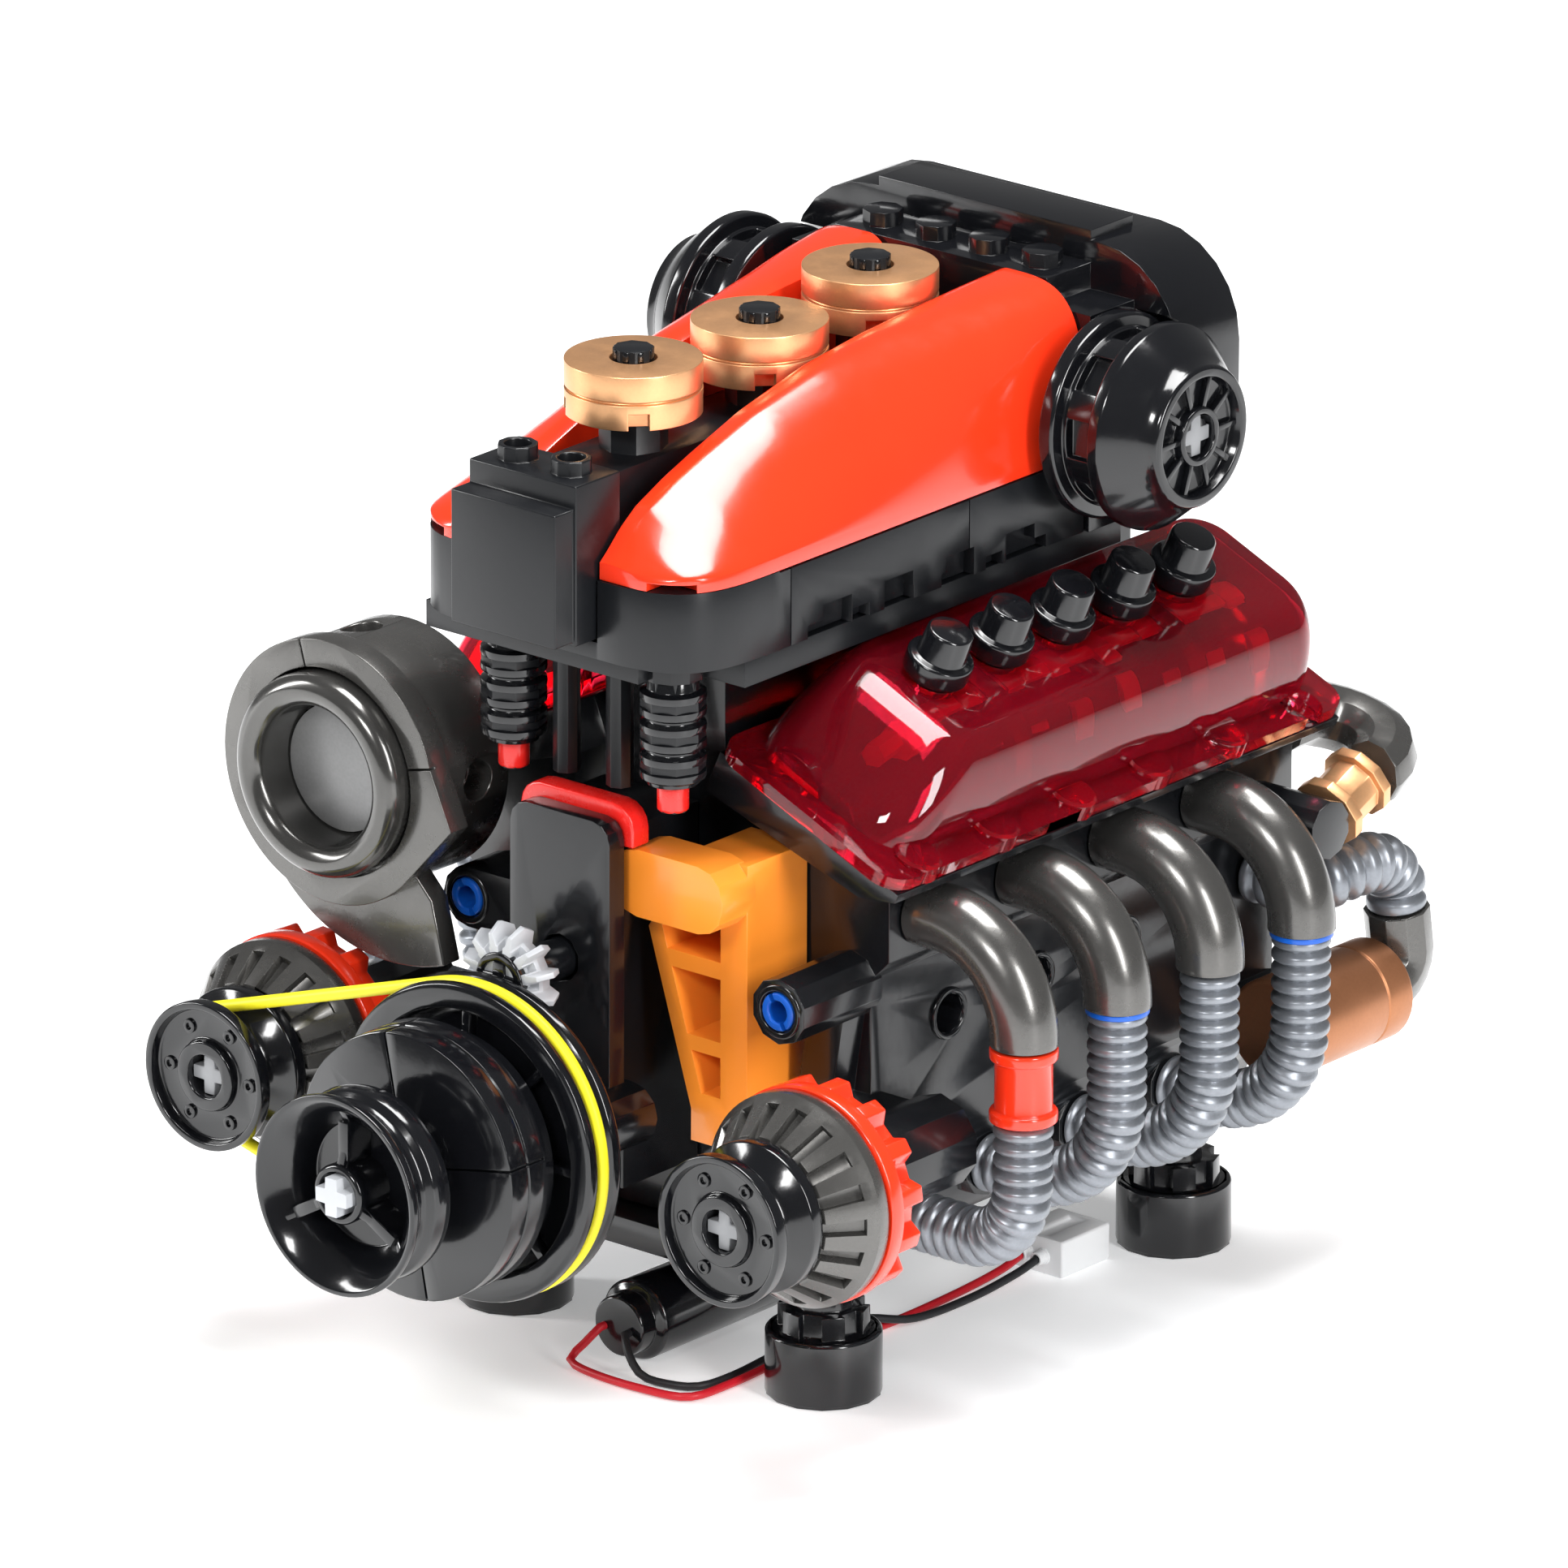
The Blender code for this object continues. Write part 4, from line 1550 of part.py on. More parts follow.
def make_rear_plenum():
    """Build the round-shouldered plenum, its stud plate, tile and filter axles."""
    body = box((-PLENUM_BODY_HALF, STUD_PLATE_FRONT_Y, PLENUM_BODY_Z),
               (PLENUM_BODY_HALF, PLENUM_BACK_Y, STUD_PLATE_TOP_Z - PLATE_HEIGHT))
    shoulders = slab(rounded_box(-PLENUM_HALF, PLENUM_HALF, PLENUM_SIDE_Z - PLENUM_SHOULDER, PLENUM_TOP_Z,
                                 PLENUM_SHOULDER, PLENUM_SHOULDER_STEPS), PLENUM_FRONT_Y, PLENUM_BACK_Y)
    shoulders = cut(shoulders, box((-PLENUM_HALF - OVERRUN, PLENUM_FRONT_Y - OVERRUN, PLENUM_BODY_Z),
                                   (PLENUM_HALF + OVERRUN, PLENUM_BACK_Y + OVERRUN, PLENUM_SIDE_Z)))
    stud_plate = box((-STUD_PLATE_HALF, STUD_PLATE_FRONT_Y, STUD_PLATE_TOP_Z - PLATE_HEIGHT - OVERRUN),
                     (STUD_PLATE_HALF, PLENUM_FRONT_Y + OVERRUN, STUD_PLATE_TOP_Z))
    tile = box((-STUD_PLATE_HALF, PLENUM_FRONT_Y, PLENUM_TOP_Z - OVERRUN),
               (STUD_PLATE_HALF, PLENUM_FRONT_Y + PLENUM_TILE_DEPTH, PLENUM_TOP_Z + PLENUM_TILE_HEIGHT))
    plenum = joined(body, shoulders, stud_plate, tile)
    for column in (-3, -1, 1, 3):
        stud = cylinder(STUD_RADIUS, STUD_HEIGHT + OVERRUN,
                        facing_up(column * STUD_PITCH / 2, (STUD_PLATE_FRONT_Y + PLENUM_FRONT_Y) / 2,
                                  STUD_PLATE_TOP_Z - OVERRUN), PIN_SEGMENTS)
        plenum = joined(plenum, stud)
    for side in (1, -1):
        room = cylinder(FILTER_FLANGE_RADIUS + FILTER_CLEARANCE, PLENUM_HALF,
                        facing_side(side * (PLENUM_BODY_HALF + SEAT_GAP), FILTER_Y, FILTER_Z, side),
                        FINE_SEGMENTS)
        reach = FILTER_INNER_X + FILTER_LENGTH - FILTER_AXLE_INSET - FILTER_AXLE_ROOT_X
        axle = cylinder(AXLE_RADIUS, reach,
                        facing_side(side * FILTER_AXLE_ROOT_X, FILTER_Y, FILTER_Z, side), PIN_SEGMENTS)
        plenum = joined(cut(plenum, room), axle)
    return finish(plenum, "rear_plenum", "black")


def make_air_filter(name, side):
    """Build one filter wheel: inner flange, windowed barrel, conical rim and end cap."""
    length = FILTER_LENGTH
    rim = FILTER_RIM_START
    hole = SHAFT_RADIUS + SEAT_GAP
    drum = turned(
        [
            (hole, length), (FILTER_END_RADIUS, length),
            (FILTER_END_RADIUS, rim + FILTER_RIM_WIDTH + FILTER_FLANGE / 4),
            (FILTER_END_RADIUS + FILTER_WINDOW_DEPTH, rim + FILTER_RIM_WIDTH),
            (FILTER_FLANGE_RADIUS, rim + FILTER_RIM_WIDTH / 3), (FILTER_FLANGE_RADIUS, rim),
            (FILTER_BARREL_RADIUS, rim - FILTER_FLANGE / 4), (FILTER_BARREL_RADIUS, FILTER_FLANGE),
            (FILTER_FLANGE_RADIUS, FILTER_FLANGE), (FILTER_FLANGE_RADIUS, 0), (hole, 0),
        ],
        facing_side(side * FILTER_INNER_X, FILTER_Y, FILTER_Z, side), WHEEL_SEGMENTS, ring=True)
    low = side * (FILTER_INNER_X + FILTER_FLANGE + FILTER_WINDOW_EDGE)
    high = side * (FILTER_INNER_X + FILTER_RIM_START - FILTER_WINDOW_EDGE)
    for angle in around(FILTER_WINDOWS):
        window = box((min(low, high), -FILTER_WINDOW_WIDTH / 2, FILTER_BARREL_RADIUS - FILTER_WINDOW_DEPTH),
                     (max(low, high), FILTER_WINDOW_WIDTH / 2, FILTER_BARREL_RADIUS + OVERRUN / 2))
        window.data.transform(Matrix.Translation((0, FILTER_Y, FILTER_Z)) @ Matrix.Rotation(angle, 4, "X"))
        drum = cut(drum, window)
    return finish(drum, name, "black", (side * FILTER_INNER_X, FILTER_Y, FILTER_Z))


# Turbo housing

def volute_radius(share):
    """Return the volute's outer radius along its sweep, swelling towards the tip."""
    return TURBO_RADIUS + (math.hypot(VOLUTE_TIP_X, VOLUTE_TIP_Z) - TURBO_RADIUS) * share ** VOLUTE_SWELL


def make_turbo_housing():
    """Build the disc with its sharp quadrant, the barrel, the volute and the pin holes."""
    rim = arc((0, 0), TURBO_RADIUS, *TURBO_RIM_DEGREES, TURBO_RIM_STEPS)
    rim.append((TURBO_SHARP_TIP_X, TURBO_SHARP_TIP_Z))
    disc_back_y = TURBO_FRONT_Y + TURBO_DISC_THICKNESS
    disc = prism(rim, TURBO_DISC_THICKNESS,
                 facing_front(TURBO_X, (TURBO_FRONT_Y + disc_back_y) / 2, TURBO_Z))
    barrel = cylinder(TURBO_BARREL_RADIUS, TURBO_BACK_Y - disc_back_y + OVERRUN,
                      facing_front(TURBO_X, TURBO_BACK_Y, TURBO_Z), FINE_SEGMENTS)
    tip_angle = math.degrees(math.atan2(VOLUTE_TIP_Z, VOLUTE_TIP_X)) + 360
    sweep = tip_angle - VOLUTE_START_DEGREES
    fin = []
    for step in range(VOLUTE_STEPS + 1):
        share = step / VOLUTE_STEPS
        angle = math.radians(VOLUTE_START_DEGREES + sweep * share)
        fin.append((volute_radius(share) * math.cos(angle), volute_radius(share) * math.sin(angle)))
    fin.append((VOLUTE_HEEL_X, VOLUTE_HEEL_Z))
    fin += arc((0, 0), TURBO_THROAT_RADIUS, VOLUTE_END_DEGREES, VOLUTE_START_DEGREES, VOLUTE_THROAT_STEPS)
    volute = prism(fin, VOLUTE_THICKNESS,
                   facing_front(TURBO_X, disc_back_y + VOLUTE_THICKNESS / 2 - VOLUTE_OVERLAP, TURBO_Z))
    housing = joined(barrel, disc, volute)
    recess = cylinder(TURBO_LIP_RADIUS + SEAT_GAP, TURBO_FLOOR_DEPTH + OVERRUN,
                      facing_front(TURBO_X, TURBO_FRONT_Y + TURBO_FLOOR_DEPTH, TURBO_Z), FINE_SEGMENTS)
    housing = cut(housing, recess)
    for degrees in TURBO_SPLIT_DEGREES:
        slot = box((TURBO_LIP_RADIUS, TURBO_FRONT_Y - OVERRUN, -TURBO_SPLIT / 2),
                   (TURBO_SHARP_TIP_X + OVERRUN, TURBO_FRONT_Y + TURBO_SPLIT, TURBO_SPLIT / 2))
        slot.data.transform(Matrix.Translation((TURBO_X, 0, TURBO_Z))
                            @ Matrix.Rotation(-math.radians(degrees), 4, "Y"))
        housing = cut(housing, slot)
    for degrees in TURBO_PIN_HOLE_DEGREES:
        angle = math.radians(degrees)
        outward = (math.cos(angle), 0, math.sin(angle))
        start = Vector((TURBO_X, TURBO_PIN_HOLE_Y, TURBO_Z))
        start += Vector(outward) * (TURBO_RADIUS - SIDE_HOLE_DEPTH)
        housing = cut(housing, cylinder(PIN_HOLE_RADIUS, SIDE_HOLE_DEPTH + OVERRUN,
                                        placement(start, (0, 1, 0), outward), PIN_SEGMENTS))
    return finish(housing, "turbo_housing", "pearl_grey")


def make_turbo_lip_ring():
    """Build the ring that sits in the housing's recess, with its conical mouth."""
    back_y = TURBO_FRONT_Y + TURBO_FLOOR_DEPTH - SEAT_GAP
    depth = back_y - TURBO_LIP_FRONT_Y
    ring = turned(
        [
            (TURBO_LIP_RADIUS - TURBO_LIP_WALL / 2, depth), (TURBO_LIP_RADIUS, depth - TURBO_LIP_WALL / 2),
            (TURBO_LIP_RADIUS, 0), (TURBO_THROAT_RADIUS, 0), (TURBO_THROAT_RADIUS, TURBO_LIP_WALL),
            (TURBO_LIP_RADIUS - TURBO_LIP_WALL, depth - TURBO_LIP_WALL / 2),
        ],
        facing_front(TURBO_X, back_y, TURBO_Z), FINE_SEGMENTS, ring=True)
    return finish(ring, "turbo_lip_ring", "pearl_grey")


# Exhaust pipes and hoses

def bend(centre, radius, start, end, steps, y):
    """Return points on an arc in the XZ plane at a depth."""
    return [(x, y, z) for x, z in arc(centre, radius, start, end, steps)]


def pipe_route(y, end_z):
    """Return the route of a side pipe, from its port face down to its end."""
    centre = (PIPE_BEND_X, PIPE_AXIS_Z - PIPE_BEND_RADIUS)
    route = [(PIPE_START_X, y, PIPE_AXIS_Z)]
    route += bend(centre, PIPE_BEND_RADIUS, 90, 0, BEND_STEPS, y)
    route.append((PIPE_BEND_END_X, y, end_z))
    return route


def spaced(route, step):
    """Return points at an even spacing along a route, both ends included."""
    corners = [Vector(place) for place in route]
    lengths = [(far - near).length for near, far in zip(corners, corners[1:])]
    total = sum(lengths)
    count = max(1, round(total / step))
    points = []
    for index in range(count + 1):
        left = total * index / count
        leg = 0
        while leg < len(lengths) - 1 and left > lengths[leg]:
            left -= lengths[leg]
            leg += 1
        share = left / lengths[leg]
        points.append(corners[leg].lerp(corners[leg + 1], share))
    return points


def ribbed_hose(route, radius, ribs, resolution=2):
    """Build a hose whose radius steps between ribs and valleys, with an open bore."""
    corners = [Vector(place) for place in route]
    total = sum((far - near).length for near, far in zip(corners, corners[1:]))
    points = spaced(route, total / (2 * ribs))
    shares = [1 if index % 2 else HOSE_VALLEY_SHARE for index in range(len(points))]
    shares[0] = 1
    shares[-1] = 1
    hose = tube(points, radius, resolution, shares)
    start, after = corners[0], corners[1]
    before, end = corners[-2], corners[-1]
    core = [start + (start - after).normalized() * OVERRUN, *spaced(route, radius * HOSE_CORE_SHARE),
            end + (end - before).normalized() * OVERRUN]
    return cut(hose, tube(core, HOSE_BORE, 1))


def hose_route(y, start_z, radius):
    """Return a side hose's route, from below its pipe to the boss on the block."""
    corner_z = start_z - HOSE_STRAIGHT if radius == SHORT_HOSE_BEND_RADIUS else HOSE_BOSS_Z + radius
    centre = (PIPE_BEND_END_X - radius, corner_z)
    route = [(PIPE_BEND_END_X, y, start_z)]
    route += bend(centre, radius, 0, -90, BEND_STEPS, y)
    route.append((HOSE_BOSS_X + SEAT_GAP, y, corner_z - radius))
    return route


def make_right_exhaust():
    """Build the four right pipes with their hoses and the coupler on the first."""
    for index in range(PIPE_COUNT):
        y = pipe_y(index)
        pipe = tube(pipe_route(y, PIPE_END_Z), PIPE_RADIUS, 3)
        finish(pipe, f"elbow_right_{index + 1}", "pearl_grey")
        if index == 0:
            route = hose_route(y, COUPLER_LOW_Z - SEAT_GAP, SHORT_HOSE_BEND_RADIUS)
        else:
            route = hose_route(y, PIPE_END_Z - SEAT_GAP, HOSE_BEND_RADIUS)
        finish(ribbed_hose(route, HOSE_RADIUS, HOSE_RIBS), f"hose_right_{index + 1}", "silver")


def make_left_exhaust():
    """Build the four left pipes, each with its ribbed hose in one piece."""
    for index in range(PIPE_COUNT):
        y = pipe_y(index)
        pipe = tube(pipe_route(y, PIPE_END_Z), PIPE_RADIUS, 1)
        route = hose_route(y, PIPE_END_Z + OVERRUN, HOSE_BEND_RADIUS)
        hose = ribbed_hose(route, HOSE_RADIUS, HIDDEN_HOSE_RIBS, 1)
        finish(flipped(joined(pipe, hose)), f"exhaust_left_{index + 1}", "pearl_grey")


def make_hose_coupler():
    """Build the red coupler with a collar at each end and a hose bore."""
    top_z = PIPE_END_Z - SEAT_GAP
    height = top_z - COUPLER_LOW_Z
    coupler = turned(
        [
            (HOSE_BORE, height), (COUPLER_COLLAR_RADIUS, height),
            (COUPLER_COLLAR_RADIUS, height - COUPLER_COLLAR), (COUPLER_RADIUS, height - COUPLER_COLLAR),
            (COUPLER_RADIUS, COUPLER_COLLAR), (COUPLER_COLLAR_RADIUS, COUPLER_COLLAR),
            (COUPLER_COLLAR_RADIUS, 0), (HOSE_BORE, 0),
        ],
        facing_up(PIPE_BEND_END_X, pipe_y(0), COUPLER_LOW_Z), SMALL_SEGMENTS, ring=True)
    return finish(coupler, "hose_coupler", "orange_red")


def make_rear_pipes():
    """Build the rear pipe run: upper bend, gold coupler, ribbed hose, lower bend, canister."""
    upper = [(REAR_PIPE_INNER_X, HEAD_BACK_Y + SEAT_GAP, REAR_PIPE_HIGH_Z)]
    middle_x = (REAR_PIPE_INNER_X + CANISTER_X) / 2
    turn_radius = (CANISTER_X - REAR_PIPE_INNER_X) / 2
    turn_y = REAR_REACH_Y - PIPE_RADIUS - turn_radius
    for step in range(REAR_BEND_STEPS + 1):
        angle = math.pi * (1 - step / REAR_BEND_STEPS)
        fall = (REAR_PIPE_HIGH_Z - REAR_COUPLER_HIGH_Z) * step / REAR_BEND_STEPS
        upper.append((middle_x + turn_radius * math.cos(angle), turn_y + turn_radius * math.sin(angle),
                      REAR_PIPE_HIGH_Z - fall))
    upper.append((CANISTER_X, turn_y - PIPE_STUB, REAR_COUPLER_HIGH_Z))
    finish(tube(upper, PIPE_RADIUS, 3), "rear_pipe_upper", "pearl_grey")

    coupler_back = Vector((CANISTER_X, turn_y - PIPE_STUB - REAR_COUPLER_GAP, REAR_COUPLER_HIGH_Z))
    coupler_front = Vector((CANISTER_X, REAR_BOSS_Y + REAR_BOSS_RADIUS + 2 * SEAT_GAP, REAR_BOSS_Z))
    length = (coupler_back - coupler_front).length
    collar = REAR_COUPLER_COLLAR_RADIUS
    waist = REAR_COUPLER_RADIUS
    coupler = turned(
        [
            (0, length), (collar, length), (collar, length - COUPLER_COLLAR),
            (waist, length - COUPLER_COLLAR), (waist, COUPLER_COLLAR), (collar, COUPLER_COLLAR),
            (collar, 0), (0, 0),
        ],
        placement(coupler_front, (1, 0, 0), coupler_back - coupler_front))
    finish(coupler, "rear_coupler", "gold")

    hose = ribbed_hose(smooth_route(REAR_HOSE_ROUTE, 4), REAR_HOSE_RADIUS, REAR_HOSE_RIBS)
    finish(hose, "rear_hose", "silver")

    lower_x = CANISTER_X
    lower_y = REAR_REACH_Y - PIPE_RADIUS
    corner = lower_y - (CANISTER_BACK_Y + SEAT_GAP + PIPE_STUB)
    lower = [(lower_x, lower_y - REAR_PIPE_LEAN, REAR_PIPE_LOW_TOP_Z),
             (lower_x, lower_y, CANISTER_Z + corner)]
    for step in range(1, BEND_STEPS + 1):
        angle = math.tau / 4 * step / BEND_STEPS
        lower.append((lower_x, lower_y - corner + corner * math.cos(angle),
                      CANISTER_Z + corner - corner * math.sin(angle)))
    lower.append((lower_x, CANISTER_BACK_Y + SEAT_GAP, CANISTER_Z))
    finish(tube(lower, PIPE_RADIUS, 3), "rear_pipe_lower", "pearl_grey")

    seam = CANISTER_BACK_Y - CANISTER_SEAM_Y
    depth = CANISTER_BACK_Y - CANISTER_FRONT_Y
    canister = turned(
        [
            (0, depth), (CANISTER_RADIUS, depth), (CANISTER_RADIUS, seam + CANISTER_SEAM),
            (CANISTER_RADIUS - CANISTER_SEAM, seam + CANISTER_SEAM), (CANISTER_RADIUS - CANISTER_SEAM, seam),
            (CANISTER_RADIUS, seam), (CANISTER_RADIUS, 0), (0, 0),
        ],
        facing_front(CANISTER_X, CANISTER_BACK_Y, CANISTER_Z), WHEEL_SEGMENTS)
    finish(canister, "rear_canister", "copper")


# Motor and wires

def smooth_route(corners, steps):
    """Return points on a smooth curve through a route's own points."""
    places = [Vector(corner) for corner in corners]
    places = [2 * places[0] - places[1], *places, 2 * places[-1] - places[-2]]
    points = []
    for index in range(1, len(places) - 2):
        before, near, far, after = places[index - 1:index + 3]
        for step in range(steps):
            t = step / steps
            bend = 2 * before - 5 * near + 4 * far - after
            twist = 3 * near - before - 3 * far + after
            points.append(near + ((far - before) * t + bend * t * t + twist * t ** 3) / 2)
    points.append(places[-2])
    return points


def make_motor():
    """Build the small motor that lies along the middle below the crankcase."""
    motor = cylinder(MOTOR_RADIUS, MOTOR_BACK_Y - MOTOR_FRONT_Y,
                     facing_front(MOTOR_X, MOTOR_BACK_Y, MOTOR_Z), WHEEL_SEGMENTS)
    cap = cylinder(MOTOR_CAP_RADIUS, MOTOR_CAP_LENGTH + OVERRUN,
                   facing_front(MOTOR_X, MOTOR_FRONT_Y + OVERRUN, MOTOR_Z), PIN_SEGMENTS)
    return finish(joined(motor, cap), "motor", "black")


def make_wires():
    """Build the two wires that lie on the table and the connector at their end."""
    for name, route, look in (("red_wire", RED_WIRE_ROUTE, "wire_red"),
                              ("black_wire", BLACK_WIRE_ROUTE, "soft_black")):
        points = [route[0], *spaced(smooth_route(route[1:-1], 6), WIRE_STEP), route[-1]]
        finish(tube(points, WIRE_RADIUS, 1), name, look)
    low = (CONNECTOR_X - CONNECTOR_WIDTH / 2, CONNECTOR_FRONT_Y, 0)
    high = (CONNECTOR_X + CONNECTOR_WIDTH / 2, CONNECTOR_FRONT_Y + CONNECTOR_LENGTH, CONNECTOR_HEIGHT)
    connector = box(low, high)
    slot = box((CONNECTOR_X - CONNECTOR_SLOT, CONNECTOR_FRONT_Y + CONNECTOR_SLOT,
                CONNECTOR_HEIGHT - CONNECTOR_SLOT / 2),
               (CONNECTOR_X + CONNECTOR_SLOT, high[1] - CONNECTOR_SLOT, CONNECTOR_HEIGHT + OVERRUN))
    finish(cut(connector, slot), "wire_connector", "white")


def main():
    """Build every piece of the engine model."""
    global PARTS
    PARTS = reset()
    make_engine_block()
    make_stand("front_stand", FRONT_FOOT_Y)
    make_stand("rear_stand", REAR_FOOT_Y)
    make_front_cover()
    make_front_arch()
    make_lattice_bracket()
    make_crank_axle()
    make_front_hub_wheel()
    make_drum_disc()
    make_belt_pulley()
    make_crank_gear()
    make_idler_gear()
    make_drive_belt()
    for word, side in (("right", 1), ("left", -1)):
        make_side_wheel(f"{word}_wheel", side)
        make_bevel_rim(f"{word}_bevel_rim", side)
        make_gear_ring(f"{word}_gear_ring", side)
        make_air_filter(f"air_filter_{word}", side)
    make_heads()
    make_intake_plate()
    make_intake_base()
    intake_cover = make_intake_cover()
    finish(mirrored(intake_cover), "intake_cover_left", "orange_red")
    finish(intake_cover, "intake_cover_right", "orange_red")
    for word, (y, top_z) in zip(("front", "middle", "rear"), STACK_PLACES):
        make_stack(f"stack_{word}", y, top_z)
    make_front_brick()
    make_rear_plenum()
    make_turbo_housing()
    make_turbo_lip_ring()
    make_right_exhaust()
    make_left_exhaust()
    make_hose_coupler()
    make_rear_pipes()
    make_motor()
    make_wires()


main()
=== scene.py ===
"""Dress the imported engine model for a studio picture.

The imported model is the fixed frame. Each sub-assembly class builds smooth, bevelled
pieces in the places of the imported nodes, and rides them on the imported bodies.
"""
import json
import logging
import math
from dataclasses import dataclass
from enum import Enum

import bmesh
import bpy
from mathutils import Matrix, Vector

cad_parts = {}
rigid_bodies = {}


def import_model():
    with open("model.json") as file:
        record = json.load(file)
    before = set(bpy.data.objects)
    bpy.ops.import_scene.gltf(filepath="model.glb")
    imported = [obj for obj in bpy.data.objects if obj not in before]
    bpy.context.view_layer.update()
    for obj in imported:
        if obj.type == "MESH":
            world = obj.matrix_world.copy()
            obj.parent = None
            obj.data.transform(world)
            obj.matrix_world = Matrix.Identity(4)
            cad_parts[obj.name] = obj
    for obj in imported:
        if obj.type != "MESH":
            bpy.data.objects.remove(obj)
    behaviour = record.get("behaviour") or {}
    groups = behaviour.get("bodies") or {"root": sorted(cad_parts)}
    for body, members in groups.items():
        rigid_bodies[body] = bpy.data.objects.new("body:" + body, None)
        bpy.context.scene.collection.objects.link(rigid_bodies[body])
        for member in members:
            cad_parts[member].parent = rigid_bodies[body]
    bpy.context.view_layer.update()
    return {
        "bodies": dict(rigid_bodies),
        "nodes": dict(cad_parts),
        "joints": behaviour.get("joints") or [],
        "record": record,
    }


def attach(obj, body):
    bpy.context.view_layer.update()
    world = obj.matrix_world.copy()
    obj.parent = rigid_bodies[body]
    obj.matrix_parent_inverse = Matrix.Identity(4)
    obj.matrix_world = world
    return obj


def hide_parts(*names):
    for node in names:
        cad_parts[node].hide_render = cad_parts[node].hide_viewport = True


LOG = logging.getLogger("engine_scene")
MM = 0.001
SMOOTH_ANGLE = math.radians(34)
FLAT_ANGLE = 0.002
WELD = 1e-3
EXTRA_FINE = 96
FINE = 72
MEDIUM = 48
SMALL = 28
SIDES = (("right", 1), ("left", -1))
WORLD = Matrix.Identity(4)


class Surface(Enum):
    """The kinds of surface that the finishes are made from."""

    MOULDED = "moulded"
    PEARL = "pearl"
    LACQUER = "lacquer"
    CLEAR = "clear"
    RUBBER = "rubber"
    FLOOR = "floor"


@dataclass(frozen=True)
class Finish:
    """One finish: its surface kind, its colour and how rough and bumpy it is."""

    name: str
    surface: Surface
    color: tuple
    roughness: float
    metallic: float = 0.0
    coat: float = 0.0
    mottle: float = 0.06
    grain: float = 900.0
    depth: float = 0.02
    slot: str = "black"


BLACK = Finish("gloss_black", Surface.MOULDED, (0.0045, 0.0048, 0.006), 0.13, coat=0.2)
TECH_BLACK = Finish("beam_black", Surface.MOULDED, (0.0055, 0.006, 0.0072), 0.18, coat=0.1)
SATIN_BLACK = Finish("satin_black", Surface.RUBBER, (0.006, 0.0066, 0.008), 0.28)
SOFT_BLACK = Finish("wire_black", Surface.RUBBER, (0.016, 0.016, 0.018), 0.45, slot="soft_black")
PEARL = Finish("pearl_grey", Surface.PEARL, (0.112, 0.109, 0.104), 0.25, metallic=0.72, coat=0.3,
               slot="pearl_grey")
PEARL_DARK = Finish("pearl_dark", Surface.PEARL, (0.090, 0.088, 0.084), 0.19, metallic=0.75, coat=0.4,
                    slot="pearl_grey")
INNER_GREY = Finish("inner_disc_grey", Surface.PEARL, (0.20, 0.20, 0.20), 0.38, metallic=0.4,
                    slot="pearl_grey")
SILVER = Finish("silver_grey", Surface.PEARL, (0.235, 0.25, 0.275), 0.34, metallic=0.62, slot="silver")
LIGHT_GREY = Finish("light_grey", Surface.MOULDED, (0.50, 0.515, 0.54), 0.34, mottle=0.04,
                    slot="light_grey")
TIP_GREY = Finish("axle_tip_grey", Surface.MOULDED, (0.26, 0.265, 0.275), 0.36, slot="light_grey")
RED_ORANGE = Finish("hood_red", Surface.MOULDED, (0.84, 0.034, 0.008), 0.17, coat=0.3, mottle=0.03,
                    slot="orange_red")
RED = Finish("plain_red", Surface.MOULDED, (0.78, 0.016, 0.012), 0.26, coat=0.2, mottle=0.03, slot="red")
CLEAR_RED = Finish("clear_red", Surface.CLEAR, (1.0, 0.022, 0.065), 0.03, mottle=0.02, depth=0.004,
                   slot="clear_red")
GOLD = Finish("gold_lacquer", Surface.LACQUER, (0.76, 0.41, 0.20), 0.34, metallic=0.85, slot="gold")
COPPER = Finish("copper_lacquer", Surface.LACQUER, (0.40, 0.17, 0.08), 0.38, metallic=0.75, slot="copper")
ORANGE = Finish("bracket_orange", Surface.MOULDED, (1.0, 0.30, 0.03), 0.28, coat=0.2, mottle=0.03,
                slot="orange")
YELLOW = Finish("belt_yellow", Surface.RUBBER, (0.90, 0.80, 0.02), 0.42, mottle=0.03, slot="yellow")
BLUE = Finish("pin_blue", Surface.MOULDED, (0.005, 0.10, 0.52), 0.28, mottle=0.03)
WHITE = Finish("connector_white", Surface.MOULDED, (0.80, 0.81, 0.82), 0.35, mottle=0.03, slot="white")
WIRE_RED = Finish("wire_red", Surface.RUBBER, (0.55, 0.012, 0.022), 0.38, slot="wire_red")
FLOOR = Finish("pale_floor", Surface.FLOOR, (0.88, 0.885, 0.89), 0.55, mottle=0.01, grain=60.0, depth=0.0)


def sockets(group, inputs, outputs):
    """Give a node group its sockets.

    Args:
        group: The node tree to extend.
        inputs: Name, socket type and default of each input.
        outputs: Name and socket type of each output.

    Returns:
        The group's input and output nodes.
    """
    for name, kind, default in inputs:
        socket = group.interface.new_socket(name=name, in_out="INPUT", socket_type=kind)
        if default is not None:
            socket.default_value = default
    for name, kind in outputs:
        group.interface.new_socket(name=name, in_out="OUTPUT", socket_type=kind)
    return group.nodes.new("NodeGroupInput"), group.nodes.new("NodeGroupOutput")


